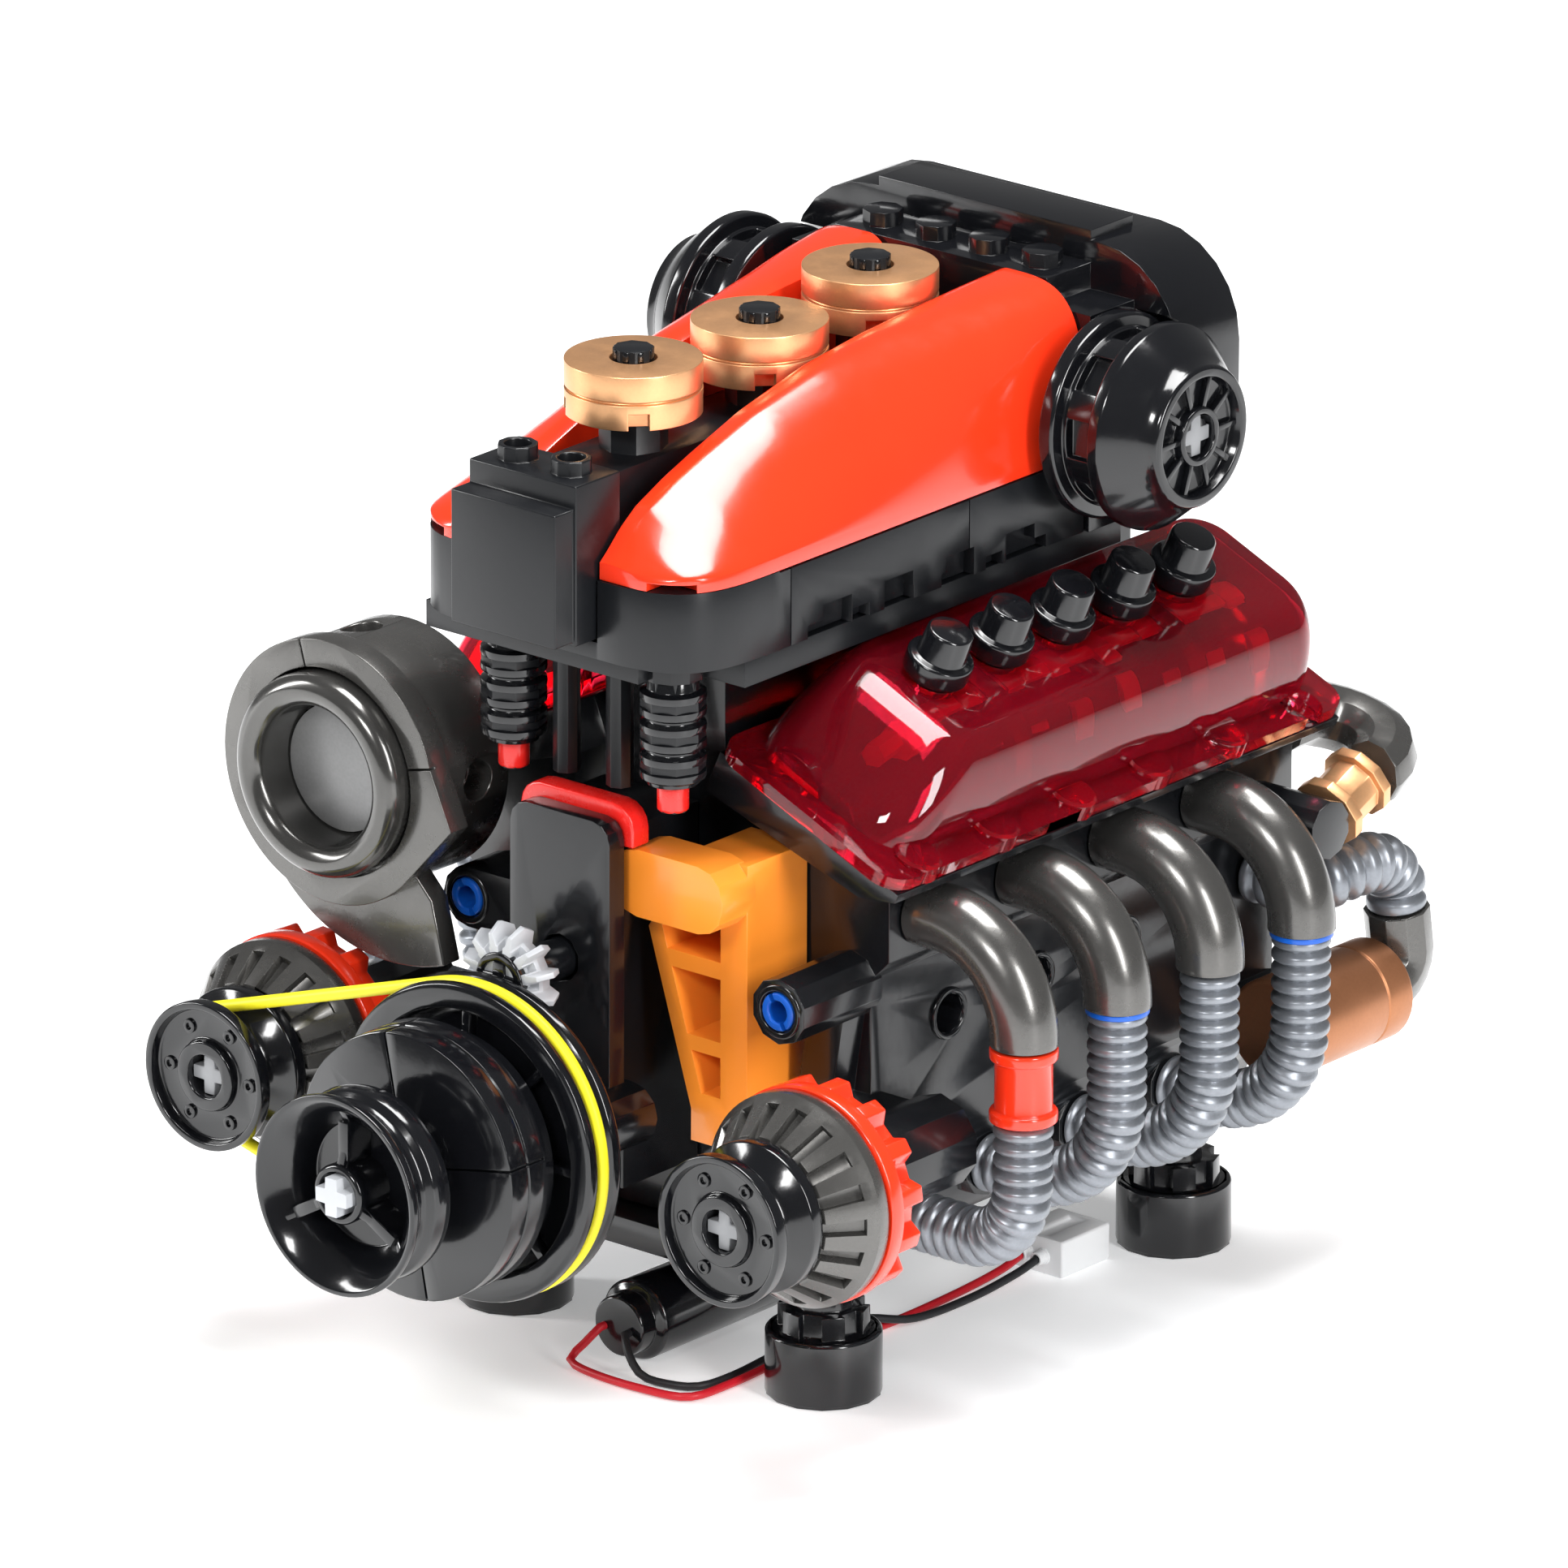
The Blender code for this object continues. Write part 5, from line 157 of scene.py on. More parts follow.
def add_node(tree, kind, inputs=None, **settings):
    """Add a node to a tree.

    Args:
        tree: The node tree.
        kind: The node's type name.
        inputs: Input names or numbers, each with a value or with the output that feeds it.
        **settings: Attributes of the node itself.

    Returns:
        The new node.
    """
    node = tree.nodes.new(kind)
    for key, value in settings.items():
        setattr(node, key, value)
    for key, value in (inputs or {}).items():
        if isinstance(value, bpy.types.NodeSocket):
            tree.links.new(value, node.inputs[key])
        else:
            node.inputs[key].default_value = value
    return node


class Palette:
    """Builds each finish's material once, on shared surface groups."""

    COAT_ROUGHNESS = 0.06
    FLOW = {Surface.PEARL: 0.10, Surface.LACQUER: 0.06}
    EXTRAS = {
        Surface.CLEAR: {"Transmission Weight": 0.94, "IOR": 1.46},
        Surface.RUBBER: {"Specular IOR Level": 0.35},
        Surface.FLOOR: {"Emission Strength": 0.36},
    }

    def __init__(self):
        """Make the shared groups and an empty store."""
        self._store = {}
        self._plastic = self._make_plastic()
        self._flow = self._make_flow()

    @staticmethod
    def _tinted(group, color, level, amount, low, high):
        """Return a colour scaled from one less to one more than an amount, as a level runs."""
        shade = add_node(group, "ShaderNodeMapRange", {"Value": level, "From Min": low, "From Max": high})
        for operation, limit in (("SUBTRACT", "To Min"), ("ADD", "To Max")):
            sum_node = add_node(group, "ShaderNodeMath", {0: 1.0, 1: amount}, operation=operation)
            group.links.new(sum_node.outputs[0], shade.inputs[limit])
        tint = add_node(group, "ShaderNodeVectorMath", {0: color, "Scale": shade.outputs["Result"]},
                        operation="SCALE")
        return tint.outputs["Vector"]

    def _make_plastic(self):
        """Return the group that mottles a colour and roughens it by fine grain and wear."""
        group = bpy.data.node_groups.new("moulded_surface", "ShaderNodeTree")
        start, end = sockets(
            group,
            [("Color", "NodeSocketColor", (0.5, 0.5, 0.5, 1)), ("Roughness", "NodeSocketFloat", 0.3),
             ("Mottle", "NodeSocketFloat", 0.05), ("Grain", "NodeSocketFloat", 900.0),
             ("Depth", "NodeSocketFloat", 0.02)],
            [("Color", "NodeSocketColor"), ("Roughness", "NodeSocketFloat"), ("Normal", "NodeSocketVector")])
        given = start.outputs
        place = add_node(group, "ShaderNodeTexCoord").outputs["Object"]
        broad = add_node(group, "ShaderNodeTexNoise",
                         {"Vector": place, "Scale": 70.0, "Detail": 3.0, "Roughness": 0.55})
        tint = self._tinted(group, given["Color"], broad.outputs["Fac"], given["Mottle"], 0.3, 0.7)
        scuff = add_node(group, "ShaderNodeTexNoise",
                         {"Vector": place, "Scale": 260.0, "Detail": 5.0, "Roughness": 0.7})
        wear = add_node(group, "ShaderNodeMapRange",
                        {"Value": scuff.outputs["Fac"], "From Min": 0.45, "From Max": 0.75,
                         "To Min": 0.0, "To Max": 0.06})
        rough = add_node(group, "ShaderNodeMath", {0: given["Roughness"], 1: wear.outputs["Result"]},
                         operation="ADD")
        fine = add_node(group, "ShaderNodeTexNoise",
                        {"Vector": place, "Scale": given["Grain"], "Detail": 2.0})
        bump = add_node(group, "ShaderNodeBump",
                        {"Distance": 0.0004, "Strength": given["Depth"], "Height": fine.outputs["Fac"]})
        for output, socket in ((tint, "Color"), (rough.outputs[0], "Roughness"),
                               (bump.outputs["Normal"], "Normal")):
            group.links.new(output, end.inputs[socket])
        return group

    def _make_flow(self):
        """Return the group that draws a metallic plastic's flow marks into a colour."""
        group = bpy.data.node_groups.new("flow_marks", "ShaderNodeTree")
        start, end = sockets(
            group, [("Color", "NodeSocketColor", (0.5, 0.5, 0.5, 1)), ("Amount", "NodeSocketFloat", 0.25)],
            [("Color", "NodeSocketColor")])
        place = add_node(group, "ShaderNodeTexCoord").outputs["Object"]
        swirl = add_node(group, "ShaderNodeTexNoise",
                         {"Vector": place, "Scale": 46.0, "Detail": 4.0, "Distortion": 1.6})
        flake = add_node(group, "ShaderNodeTexVoronoi", {"Vector": place, "Scale": 2600.0})
        marks = add_node(group, "ShaderNodeMath",
                         {0: flake.outputs["Distance"], 1: 0.35, 2: swirl.outputs["Fac"]},
                         operation="MULTIPLY_ADD")
        tint = self._tinted(group, start.outputs["Color"], marks.outputs[0], start.outputs["Amount"],
                            0.35, 0.95)
        group.links.new(tint, end.inputs["Color"])
        return group

    def get(self, finish):
        """Return the material of a finish.

        Args:
            finish: The finish to look up.

        Returns:
            The Blender material.
        """
        if finish.name in self._store:
            return self._store[finish.name]
        material = bpy.data.materials.new(finish.name)
        material.use_nodes = True
        tree = material.node_tree
        shader = tree.nodes["Principled BSDF"]
        color = (*finish.color, 1)
        surface = add_node(tree, "ShaderNodeGroup",
                           {"Color": color, "Roughness": finish.roughness, "Mottle": finish.mottle,
                            "Grain": finish.grain, "Depth": finish.depth}, node_tree=self._plastic)
        if finish.surface in self.FLOW:
            flow = add_node(tree, "ShaderNodeGroup", {"Color": color, "Amount": self.FLOW[finish.surface]},
                            node_tree=self._flow)
            tree.links.new(flow.outputs["Color"], surface.inputs["Color"])
        for output, socket in (("Color", "Base Color"), ("Roughness", "Roughness"), ("Normal", "Normal")):
            tree.links.new(surface.outputs[output], shader.inputs[socket])
        values = {"Metallic": finish.metallic, "Coat Weight": finish.coat,
                  "Coat Roughness": self.COAT_ROUGHNESS, **self.EXTRAS.get(finish.surface, {})}
        if finish.surface is Surface.FLOOR:
            values["Emission Color"] = color
        for key, value in values.items():
            shader.inputs[key].default_value = value
        material.diffuse_color = color
        self._store[finish.name] = material
        return material


def posed(x_axis, y_axis, z_axis, location):
    """Return the matrix of three axes and a location."""
    pose = Matrix((x_axis, y_axis, z_axis)).transposed().to_4x4()
    pose.translation = location
    return pose


def added(name, data):
    """Return a new object of some data in the scene."""
    thing = bpy.data.objects.new(name, data)
    bpy.context.scene.collection.objects.link(thing)
    return thing


class Frames:
    """Makes the local frames in which pieces are drawn."""

    @staticmethod
    def of(location, x_axis, z_axis):
        """Return the frame at a location whose local x and z point the given ways."""
        z = Vector(z_axis).normalized()
        x = Vector(x_axis)
        x = (x - z * x.dot(z)).normalized()
        return posed(x, z.cross(x), z, location)

    @staticmethod
    def front(x, y, z):
        """Frame with local x to the right, y up and z towards the front."""
        return Frames.of((x, y, z), (1, 0, 0), (0, -1, 0))

    @staticmethod
    def side(x, y, z, side=1):
        """Frame with local z towards the engine's right, or its left where side is -1."""
        return Frames.of((x, y, z), (0, side, 0), (side, 0, 0))

    @staticmethod
    def up(x, y, z):
        """Frame with local axes along the world's."""
        return Matrix.Translation((x, y, z))


def around(count):
    """Return a count of evenly spaced angles round a full turn."""
    return [math.tau * index / count for index in range(count)]


def arc(centre, radius, start, end, steps):
    """Return points on an arc, its angles in degrees."""
    points = []
    for step in range(steps + 1):
        angle = math.radians(start + (end - start) * step / steps)
        points.append((centre[0] + radius * math.cos(angle), centre[1] + radius * math.sin(angle)))
    return points


def rounded(left, right, low, high, radius, steps=6):
    """Return a rectangle with round corners, from its lower right corner."""
    points = []
    for (x, y), start in (((right - radius, low + radius), -90), ((right - radius, high - radius), 0),
                          ((left + radius, high - radius), 90), ((left + radius, low + radius), 180)):
        points += arc((x, y), radius, start, start + 90, steps)
    return points


def toothed(count, tooth):
    """Return the outline of a toothed wheel from one tooth's shares of its pitch and radii."""
    points = []
    for start in around(count):
        for share, radius in tooth:
            angle = start + share * math.tau / count
            points.append((radius * math.cos(angle), radius * math.sin(angle)))
    return points


def upright(points, y, side=1):
    """Return the places at a depth of points across it, mirrored to the left where side is -1."""
    return [Vector((x * side, y, z)) for x, z in points]


def plus_sign(reach, half, tip=0.93):
    """Return the outline of a cross axle's section."""
    quarter = [(reach, -half * tip), (reach, half * tip), (half, half)]
    points = []
    for turn in range(4):
        angle = turn * math.pi / 2
        cosine, sine = math.cos(angle), math.sin(angle)
        points += [(x * cosine - y * sine, x * sine + y * cosine) for x, y in quarter]
    return points


def smooth_route(corners, steps):
    """Return points on a smooth curve through a route's own points."""
    places = [Vector(corner) for corner in corners]
    places = [2 * places[0] - places[1], *places, 2 * places[-1] - places[-2]]
    points = []
    for index in range(1, len(places) - 2):
        before, near, far, after = places[index - 1:index + 3]
        for step in range(steps):
            t = step / steps
            square = 2 * before - 5 * near + 4 * far - after
            cube = 3 * near - before - 3 * far + after
            points.append(0.5 * (2 * near + (far - before) * t + square * t * t + cube * t ** 3))
    points.append(places[-2])
    return points


def spaced(route, step):
    """Return points at an even spacing along a route, both ends included."""
    corners = [Vector(place) for place in route]
    lengths = [(far - near).length for near, far in zip(corners, corners[1:])]
    total = sum(lengths)
    count = max(2, round(total / step))
    points = []
    for index in range(count + 1):
        left = total * index / count
        leg = 0
        while leg < len(lengths) - 1 and left > lengths[leg]:
            left -= lengths[leg]
            leg += 1
        points.append(corners[leg].lerp(corners[leg + 1], left / lengths[leg]))
    return points


class Solid:
    """Draws mesh forms in millimetres and turns them into smooth, bevelled meshes in metres."""

    def __init__(self):
        """Start with an empty drawing."""
        self.mesh = bmesh.new()

    def _ring(self, places):
        """Add one ring of vertices."""
        return [self.mesh.verts.new(place) for place in places]

    def _bridge(self, first, second):
        """Join two rings of the same length by quads."""
        count = len(first)
        for index in range(count):
            after = (index + 1) % count
            self.mesh.faces.new((first[index], first[after], second[after], second[index]))

    def lathe(self, profile, frame, segments=FINE, closed=False):
        """Turn a profile of radius and height pairs about the frame's z axis.

        Args:
            profile: The radius and height pairs, a zero radius being a pole.
            frame: The frame to draw in.
            segments: The number of segments round.
            closed: Whether the last point joins the first, as for a ring.
        """
        rings = []
        for radius, height in profile:
            if radius == 0:
                rings.append([self.mesh.verts.new(frame @ Vector((0, 0, height)))])
                continue
            rings.append(self._ring(frame @ Vector((radius * math.cos(a), radius * math.sin(a), height))
                                    for a in around(segments)))
        pairs = list(zip(rings, rings[1:])) + ([(rings[-1], rings[0])] if closed else [])
        for first, second in pairs:
            if len(first) == 1 and len(second) == 1:
                continue
            if len(first) == 1 or len(second) == 1:
                pole, ring = (first[0], second) if len(first) == 1 else (second[0], first)
                for index in range(segments):
                    self.mesh.faces.new((pole, ring[index], ring[(index + 1) % segments]))
                continue
            self._bridge(first, second)
        return self

    def loft(self, rings):
        """Join closed rings of points, with a cap at each end."""
        made = [self._ring(ring) for ring in rings]
        for first, second in zip(made, made[1:]):
            self._bridge(first, second)
        self.mesh.faces.new(made[0])
        self.mesh.faces.new(made[-1])
        return self

    def prism(self, outline, low, high, frame):
        """Extrude an outline between two heights of a frame."""
        return self.loft([[frame @ Vector((x, y, height)) for x, y in outline] for height in (low, high)])

    def box(self, low, high):
        """Add a box between two corners."""
        outline = [(low[0], low[1]), (high[0], low[1]), (high[0], high[1]), (low[0], high[1])]
        return self.prism(outline, low[2], high[2], WORLD)

    def tube(self, route, radius, sides=SMALL, shares=None, bore=0.0):
        """Run a round tube along points.

        Args:
            route: The points that the tube follows.
            radius: Its radius.
            sides: The number of sides round.
            shares: The share of the radius at each point, or None for all of it.
            bore: The radius of the open bore at each end, or zero for flat ends.
        """
        places = [Vector(place) for place in route]
        tangents = []
        for index in range(len(places)):
            before = places[max(index - 1, 0)]
            after = places[min(index + 1, len(places) - 1)]
            tangents.append((after - before).normalized())
        across = tangents[0].orthogonal().normalized()
        rings = []
        for index, (place, tangent) in enumerate(zip(places, tangents)):
            across = (across - tangent * across.dot(tangent)).normalized()
            other = tangent.cross(across)
            reach = radius * (shares[index] if shares else 1)
            rings.append(self._ring(place + (across * math.cos(a) + other * math.sin(a)) * reach
                                    for a in around(sides)))
        for first, second in zip(rings, rings[1:]):
            self._bridge(first, second)
        for ring, place, tangent in ((rings[0], places[0], tangents[0]),
                                     (rings[-1], places[-1], -tangents[-1])):
            if not bore:
                self.mesh.faces.new(ring)
                continue
            edge = [place + (vert.co - place).normalized() * bore for vert in ring]
            mouth = self._ring(edge)
            floor = self._ring(point + tangent * bore * 2 for point in edge)
            self._bridge(ring, mouth)
            self._bridge(mouth, floor)
            self.mesh.faces.new(floor)
        return self

    def loop_tube(self, route, radius, sides=SMALL):
        """Run a round tube along a closed loop that lies across the world's y axis."""
        places = [Vector(place) for place in route]
        across = Vector((0, 1, 0))
        made = []
        for index, place in enumerate(places):
            way = (places[(index + 1) % len(places)] - places[index - 1]).normalized()
            other = way.cross(across)
            made.append(self._ring(place + (across * math.cos(a) + other * math.sin(a)) * radius
                                   for a in around(sides)))
        for index, ring in enumerate(made):
            self._bridge(ring, made[(index + 1) % len(made)])
        return self

    @classmethod
    def of(cls, data):
        """Return a drawing of a finished mesh, which is removed."""
        drawing = cls()
        drawing.mesh.from_mesh(data)
        drawing.mesh.transform(Matrix.Scale(1 / MM, 4))
        bpy.data.meshes.remove(data)
        return drawing

    def copy(self):
        """Return a second drawing like this one."""
        drawing = Solid()
        drawing.mesh.free()
        drawing.mesh = self.mesh.copy()
        return drawing

    def cut(self, tool):
        """Cut another drawing out of this one."""
        return self._combine(tool, "DIFFERENCE")

    def add(self, tool):
        """Join another drawing to this one."""
        return self._combine(tool, "UNION")

    def _combine(self, tool, operation):
        """Combine another drawing, which is used up, with this one by an exact boolean."""
        body = self._object("body")
        knife = tool._object("knife")
        modifier = body.modifiers.new("combine", "BOOLEAN")
        modifier.object = knife
        modifier.solver = "EXACT"
        modifier.operation = operation
        result = evaluated_mesh(body)
        self.mesh = bmesh.new()
        self.mesh.from_mesh(result)
        for thing in (body, knife):
            bpy.data.objects.remove(thing)
        return self

    def _object(self, name):
        """Move the drawing into a new object."""
        bmesh.ops.recalc_face_normals(self.mesh, faces=self.mesh.faces)
        data = bpy.data.meshes.new(name)
        self.mesh.to_mesh(data)
        self.mesh.free()
        return added(name, data)

    def finish(self, bevel=0.22, segments=2, angle=32):
        """Return the drawing as a mesh with rounded edges and smooth faces.

        Args:
            bevel: The width of the rounded edges in millimetres, or zero for none.
            segments: The segments across a rounded edge.
            angle: The least angle in degrees of an edge that is rounded.

        Returns:
            The finished mesh.
        """
        bmesh.ops.remove_doubles(self.mesh, verts=self.mesh.verts, dist=WELD)
        bmesh.ops.dissolve_limit(self.mesh, angle_limit=FLAT_ANGLE, verts=self.mesh.verts,
                                 edges=self.mesh.edges)
        bmesh.ops.scale(self.mesh, vec=(MM, MM, MM), verts=self.mesh.verts)
        thing = self._object("draft")
        if bevel:
            edge = thing.modifiers.new("edge", "BEVEL")
            edge.width = bevel * MM
            edge.segments = segments
            edge.limit_method = "ANGLE"
            edge.angle_limit = math.radians(angle)
            edge.use_clamp_overlap = True
            edge.harden_normals = False
        data = evaluated_mesh(thing)
        bpy.data.objects.remove(thing)
        return smoothed(data)


def smoothed(data):
    """Return a mesh, smooth but for its sharp edges."""
    data.shade_smooth()
    data.set_sharp_from_angle(angle=SMOOTH_ANGLE)
    return data


def evaluated_mesh(thing):
    """Return an object's mesh with its modifiers applied."""
    bpy.context.view_layer.update()
    graph = bpy.context.evaluated_depsgraph_get()
    return bpy.data.meshes.new_from_object(thing.evaluated_get(graph), preserve_all_data_layers=False,
                                           depsgraph=graph)


def merged(*parts):
    """Return one mesh of several, which are removed.

    Args:
        *parts: The meshes to join.

    Returns:
        The joined mesh, smooth by angle.
    """
    both = bmesh.new()
    for part in parts:
        both.from_mesh(part)
    data = bpy.data.meshes.new("joined")
    both.to_mesh(data)
    both.free()
    for part in parts:
        bpy.data.meshes.remove(part)
    return smoothed(data)


class Copier:
    """Repeats a drawn part along a line or round an axis with Geometry Nodes."""

    def __init__(self):
        """Make the node group that every repeat shares."""
        group = bpy.data.node_groups.new("copies", "GeometryNodeTree")
        start, end = sockets(
            group,
            [("Geometry", "NodeSocketGeometry", None), ("Part", "NodeSocketObject", None),
             ("Count", "NodeSocketInt", 4), ("Offset", "NodeSocketVector", (0, 0, 0)),
             ("Turn", "NodeSocketVector", (0, 0, 0)), ("Material", "NodeSocketMaterial", None)],
            [("Geometry", "NodeSocketGeometry")])
        given = start.outputs
        line = add_node(group, "GeometryNodeMeshLine", {"Count": given["Count"], "Offset": given["Offset"]},
                        mode="OFFSET")
        info = add_node(group, "GeometryNodeObjectInfo", {"Object": given["Part"]})
        index = add_node(group, "GeometryNodeInputIndex")
        turn = add_node(group, "ShaderNodeVectorMath", {0: given["Turn"], "Scale": index.outputs["Index"]},
                        operation="SCALE")
        spin = add_node(group, "FunctionNodeEulerToRotation", {"Euler": turn.outputs["Vector"]})
        copies = add_node(group, "GeometryNodeInstanceOnPoints",
                          {"Points": line.outputs["Mesh"], "Instance": info.outputs["Geometry"],
                           "Rotation": spin.outputs["Rotation"]})
        real = add_node(group, "GeometryNodeRealizeInstances", {"Geometry": copies.outputs["Instances"]})
        paint = add_node(group, "GeometryNodeSetMaterial",
                         {"Geometry": real.outputs["Geometry"], "Material": given["Material"]})
        group.links.new(paint.outputs["Geometry"], end.inputs["Geometry"])
        self._group = group
        self._keys = {item.name: item.identifier for item in group.interface.items_tree
                      if item.in_out == "INPUT"}

    def repeat(self, data, count, frame=None, offset=(0, 0, 0), turn=(0, 0, 0), material=None):
        """Return a mesh of copies of a mesh, each moved and turned on from the one before.

        Args:
            data: The mesh to copy, in metres, which is removed.
            count: The number of copies.
            frame: The frame in millimetres in which they stand.
            offset: The step in millimetres between copies.
            turn: The turn in radians between copies.
            material: The material that the copies carry.

        Returns:
            One mesh of all the copies.
        """
        source = added("copied", data)
        host = added("host", bpy.data.meshes.new("host"))
        modifier = host.modifiers.new("copies", "NODES")
        modifier.node_group = self._group
        for name, value in (("Part", source), ("Count", count), ("Offset", Vector(offset) * MM),
                            ("Turn", Vector(turn)), ("Material", material)):
            if value is not None:
                modifier[self._keys[name]] = value
        result = evaluated_mesh(host)
        for thing in (host, source):
            bpy.data.objects.remove(thing)
        bpy.data.meshes.remove(data)
        if frame is not None:
            placed = frame.copy()
            placed.translation = frame.translation * MM
            result.transform(placed)
        return result


class Bench:
    """Holds what every sub-assembly needs: the frame, the finishes and the copier."""

    def __init__(self, frame):
        """Keep the frame and make the shared tools."""
        self.frame = frame
        self.palette = Palette()
        self.copier = Copier()

    def place(self, name, data, finish, body="engine", nodes=(), slotted=True):
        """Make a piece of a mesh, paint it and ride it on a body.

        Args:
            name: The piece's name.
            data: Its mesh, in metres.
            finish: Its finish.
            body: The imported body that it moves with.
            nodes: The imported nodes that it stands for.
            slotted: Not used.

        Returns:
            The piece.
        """
        data.name = name
        data.materials.clear()
        data.materials.append(self.palette.get(finish))
        for face in data.polygons:
            face.material_index = 0
        piece = added(name, data)
        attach(piece, body)
        if nodes:
            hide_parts(*nodes)
        LOG.info("placed %s with %d faces", name, len(data.polygons))
        return piece

    def refined(self, node, bevel=0.22, segments=2, angle=30):
        """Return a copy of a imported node's mesh with rounded edges."""
        source = self.frame["nodes"][node]
        drawing = Solid()
        drawing.mesh.from_mesh(source.data)
        drawing.mesh.transform(Matrix.Scale(1 / MM, 4) @ source.matrix_world)
        return drawing.finish(bevel, segments, angle)

    def stand_in(self, node, data, finish, body="engine"):
        """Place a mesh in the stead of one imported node."""
        return self.place(f"{node}_visual", data, finish, body, (node,))

    def refine(self, node, finish, body="engine", **shape):
        """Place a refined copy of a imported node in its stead."""
        return self.stand_in(node, self.refined(node, **shape), finish, body)

    def spread(self, drawing, count, frame, bevel=0):
        """Return a mesh of a drawing's copies, spread evenly round a frame's z axis."""
        return self.copier.repeat(drawing.finish(bevel), count, frame, turn=(0, 0, math.tau / count))

    def row(self, drawing, count, frame, step, bevel=0):
        """Return a mesh of a drawing's copies, a step apart in a frame."""
        return self.copier.repeat(drawing.finish(bevel), count, frame, offset=step)


class Studio:
    """The camera, the lights and the white table."""

    AIM = Vector((0.0, 6.12, 63.5))
    AZIMUTH = math.radians(39.92)
    ELEVATION = math.radians(19.54)
    ROLL = math.radians(0.17)
    DISTANCE = 2264.0
    LENS = 447.2
    SENSOR = 36.0
    NEAR = 0.1
    FAR = 20
    LAMPS = (
        ("top_box", (0.02, 0.10, 0.95), (0.50, 0.50), 14.0),
        ("left_box", (-0.80, -0.50, 0.42), (0.16, 0.60), 6.0),
        ("right_box", (0.95, -0.20, 0.50), (0.20, 0.62), 8.0),
        ("front_box", (0.30, -1.00, 0.75), (0.30, 0.20), 6.0),
    )
    LAMP_AIM = Vector((0, 0, 0.07))
    SURROUND = 0.16
    TABLE = 1500
    TABLE_TOP = -0.05
    TABLE_DEPTH = -10

    def __init__(self, bench):
        """Set up the whole studio."""
        self._camera()
        self._lights()
        self._table(bench)

    def _camera(self):
        """Place the camera from the photograph's solved view."""
        a, e = self.AZIMUTH, self.ELEVATION
        back = Vector((math.sin(a) * math.cos(e), -math.cos(a) * math.cos(e), math.sin(e)))
        right = Vector((math.cos(a), math.sin(a), 0))
        up = back.cross(right)
        turned_right = right * math.cos(self.ROLL) + up * math.sin(self.ROLL)
        turned_up = up * math.cos(self.ROLL) - right * math.sin(self.ROLL)
        data = bpy.data.cameras.new("camera")
        data.lens = self.LENS
        data.sensor_width = self.SENSOR
        data.clip_start = self.NEAR
        data.clip_end = self.FAR
        camera = added("camera", data)
        camera.matrix_world = posed(turned_right, turned_up, back, (self.AIM + back * self.DISTANCE) * MM)
        bpy.context.scene.camera = camera

    def _lights(self):
        """Light the model by soft boxes, their places in metres, and a pale surround."""
        for name, place, size, power in self.LAMPS:
            data = bpy.data.lights.new(name, "AREA")
            data.shape = "RECTANGLE"
            data.size, data.size_y = size
            data.energy = power
            pose = (self.LAMP_AIM - Vector(place)).to_track_quat("-Z", "Y").to_matrix().to_4x4()
            pose.translation = place
            added(name, data).matrix_world = pose
        world = bpy.data.worlds.new("surround")
        world.use_nodes = True
        tree = world.node_tree
        ground = tree.nodes["Background"]
        ground.inputs["Color"].default_value = (1.0, 1.0, 1.0, 1)
        ray = add_node(tree, "ShaderNodeLightPath")
        level = add_node(tree, "ShaderNodeMapRange",
                         {"Value": ray.outputs["Is Camera Ray"], "To Min": self.SURROUND, "To Max": 1.0})
        tree.links.new(level.outputs["Result"], ground.inputs["Strength"])
        bpy.context.scene.world = world
        bpy.context.scene.view_settings.view_transform = "Standard"

    def _table(self, bench):
        """Lay a wide pale table that the model stands on."""
        slab = Solid().box((-self.TABLE, -self.TABLE, self.TABLE_DEPTH),
                           (self.TABLE, self.TABLE, self.TABLE_TOP))
        data = slab.finish(0)
        data.materials.append(bench.palette.get(FLOOR))
        table = added("table", data)


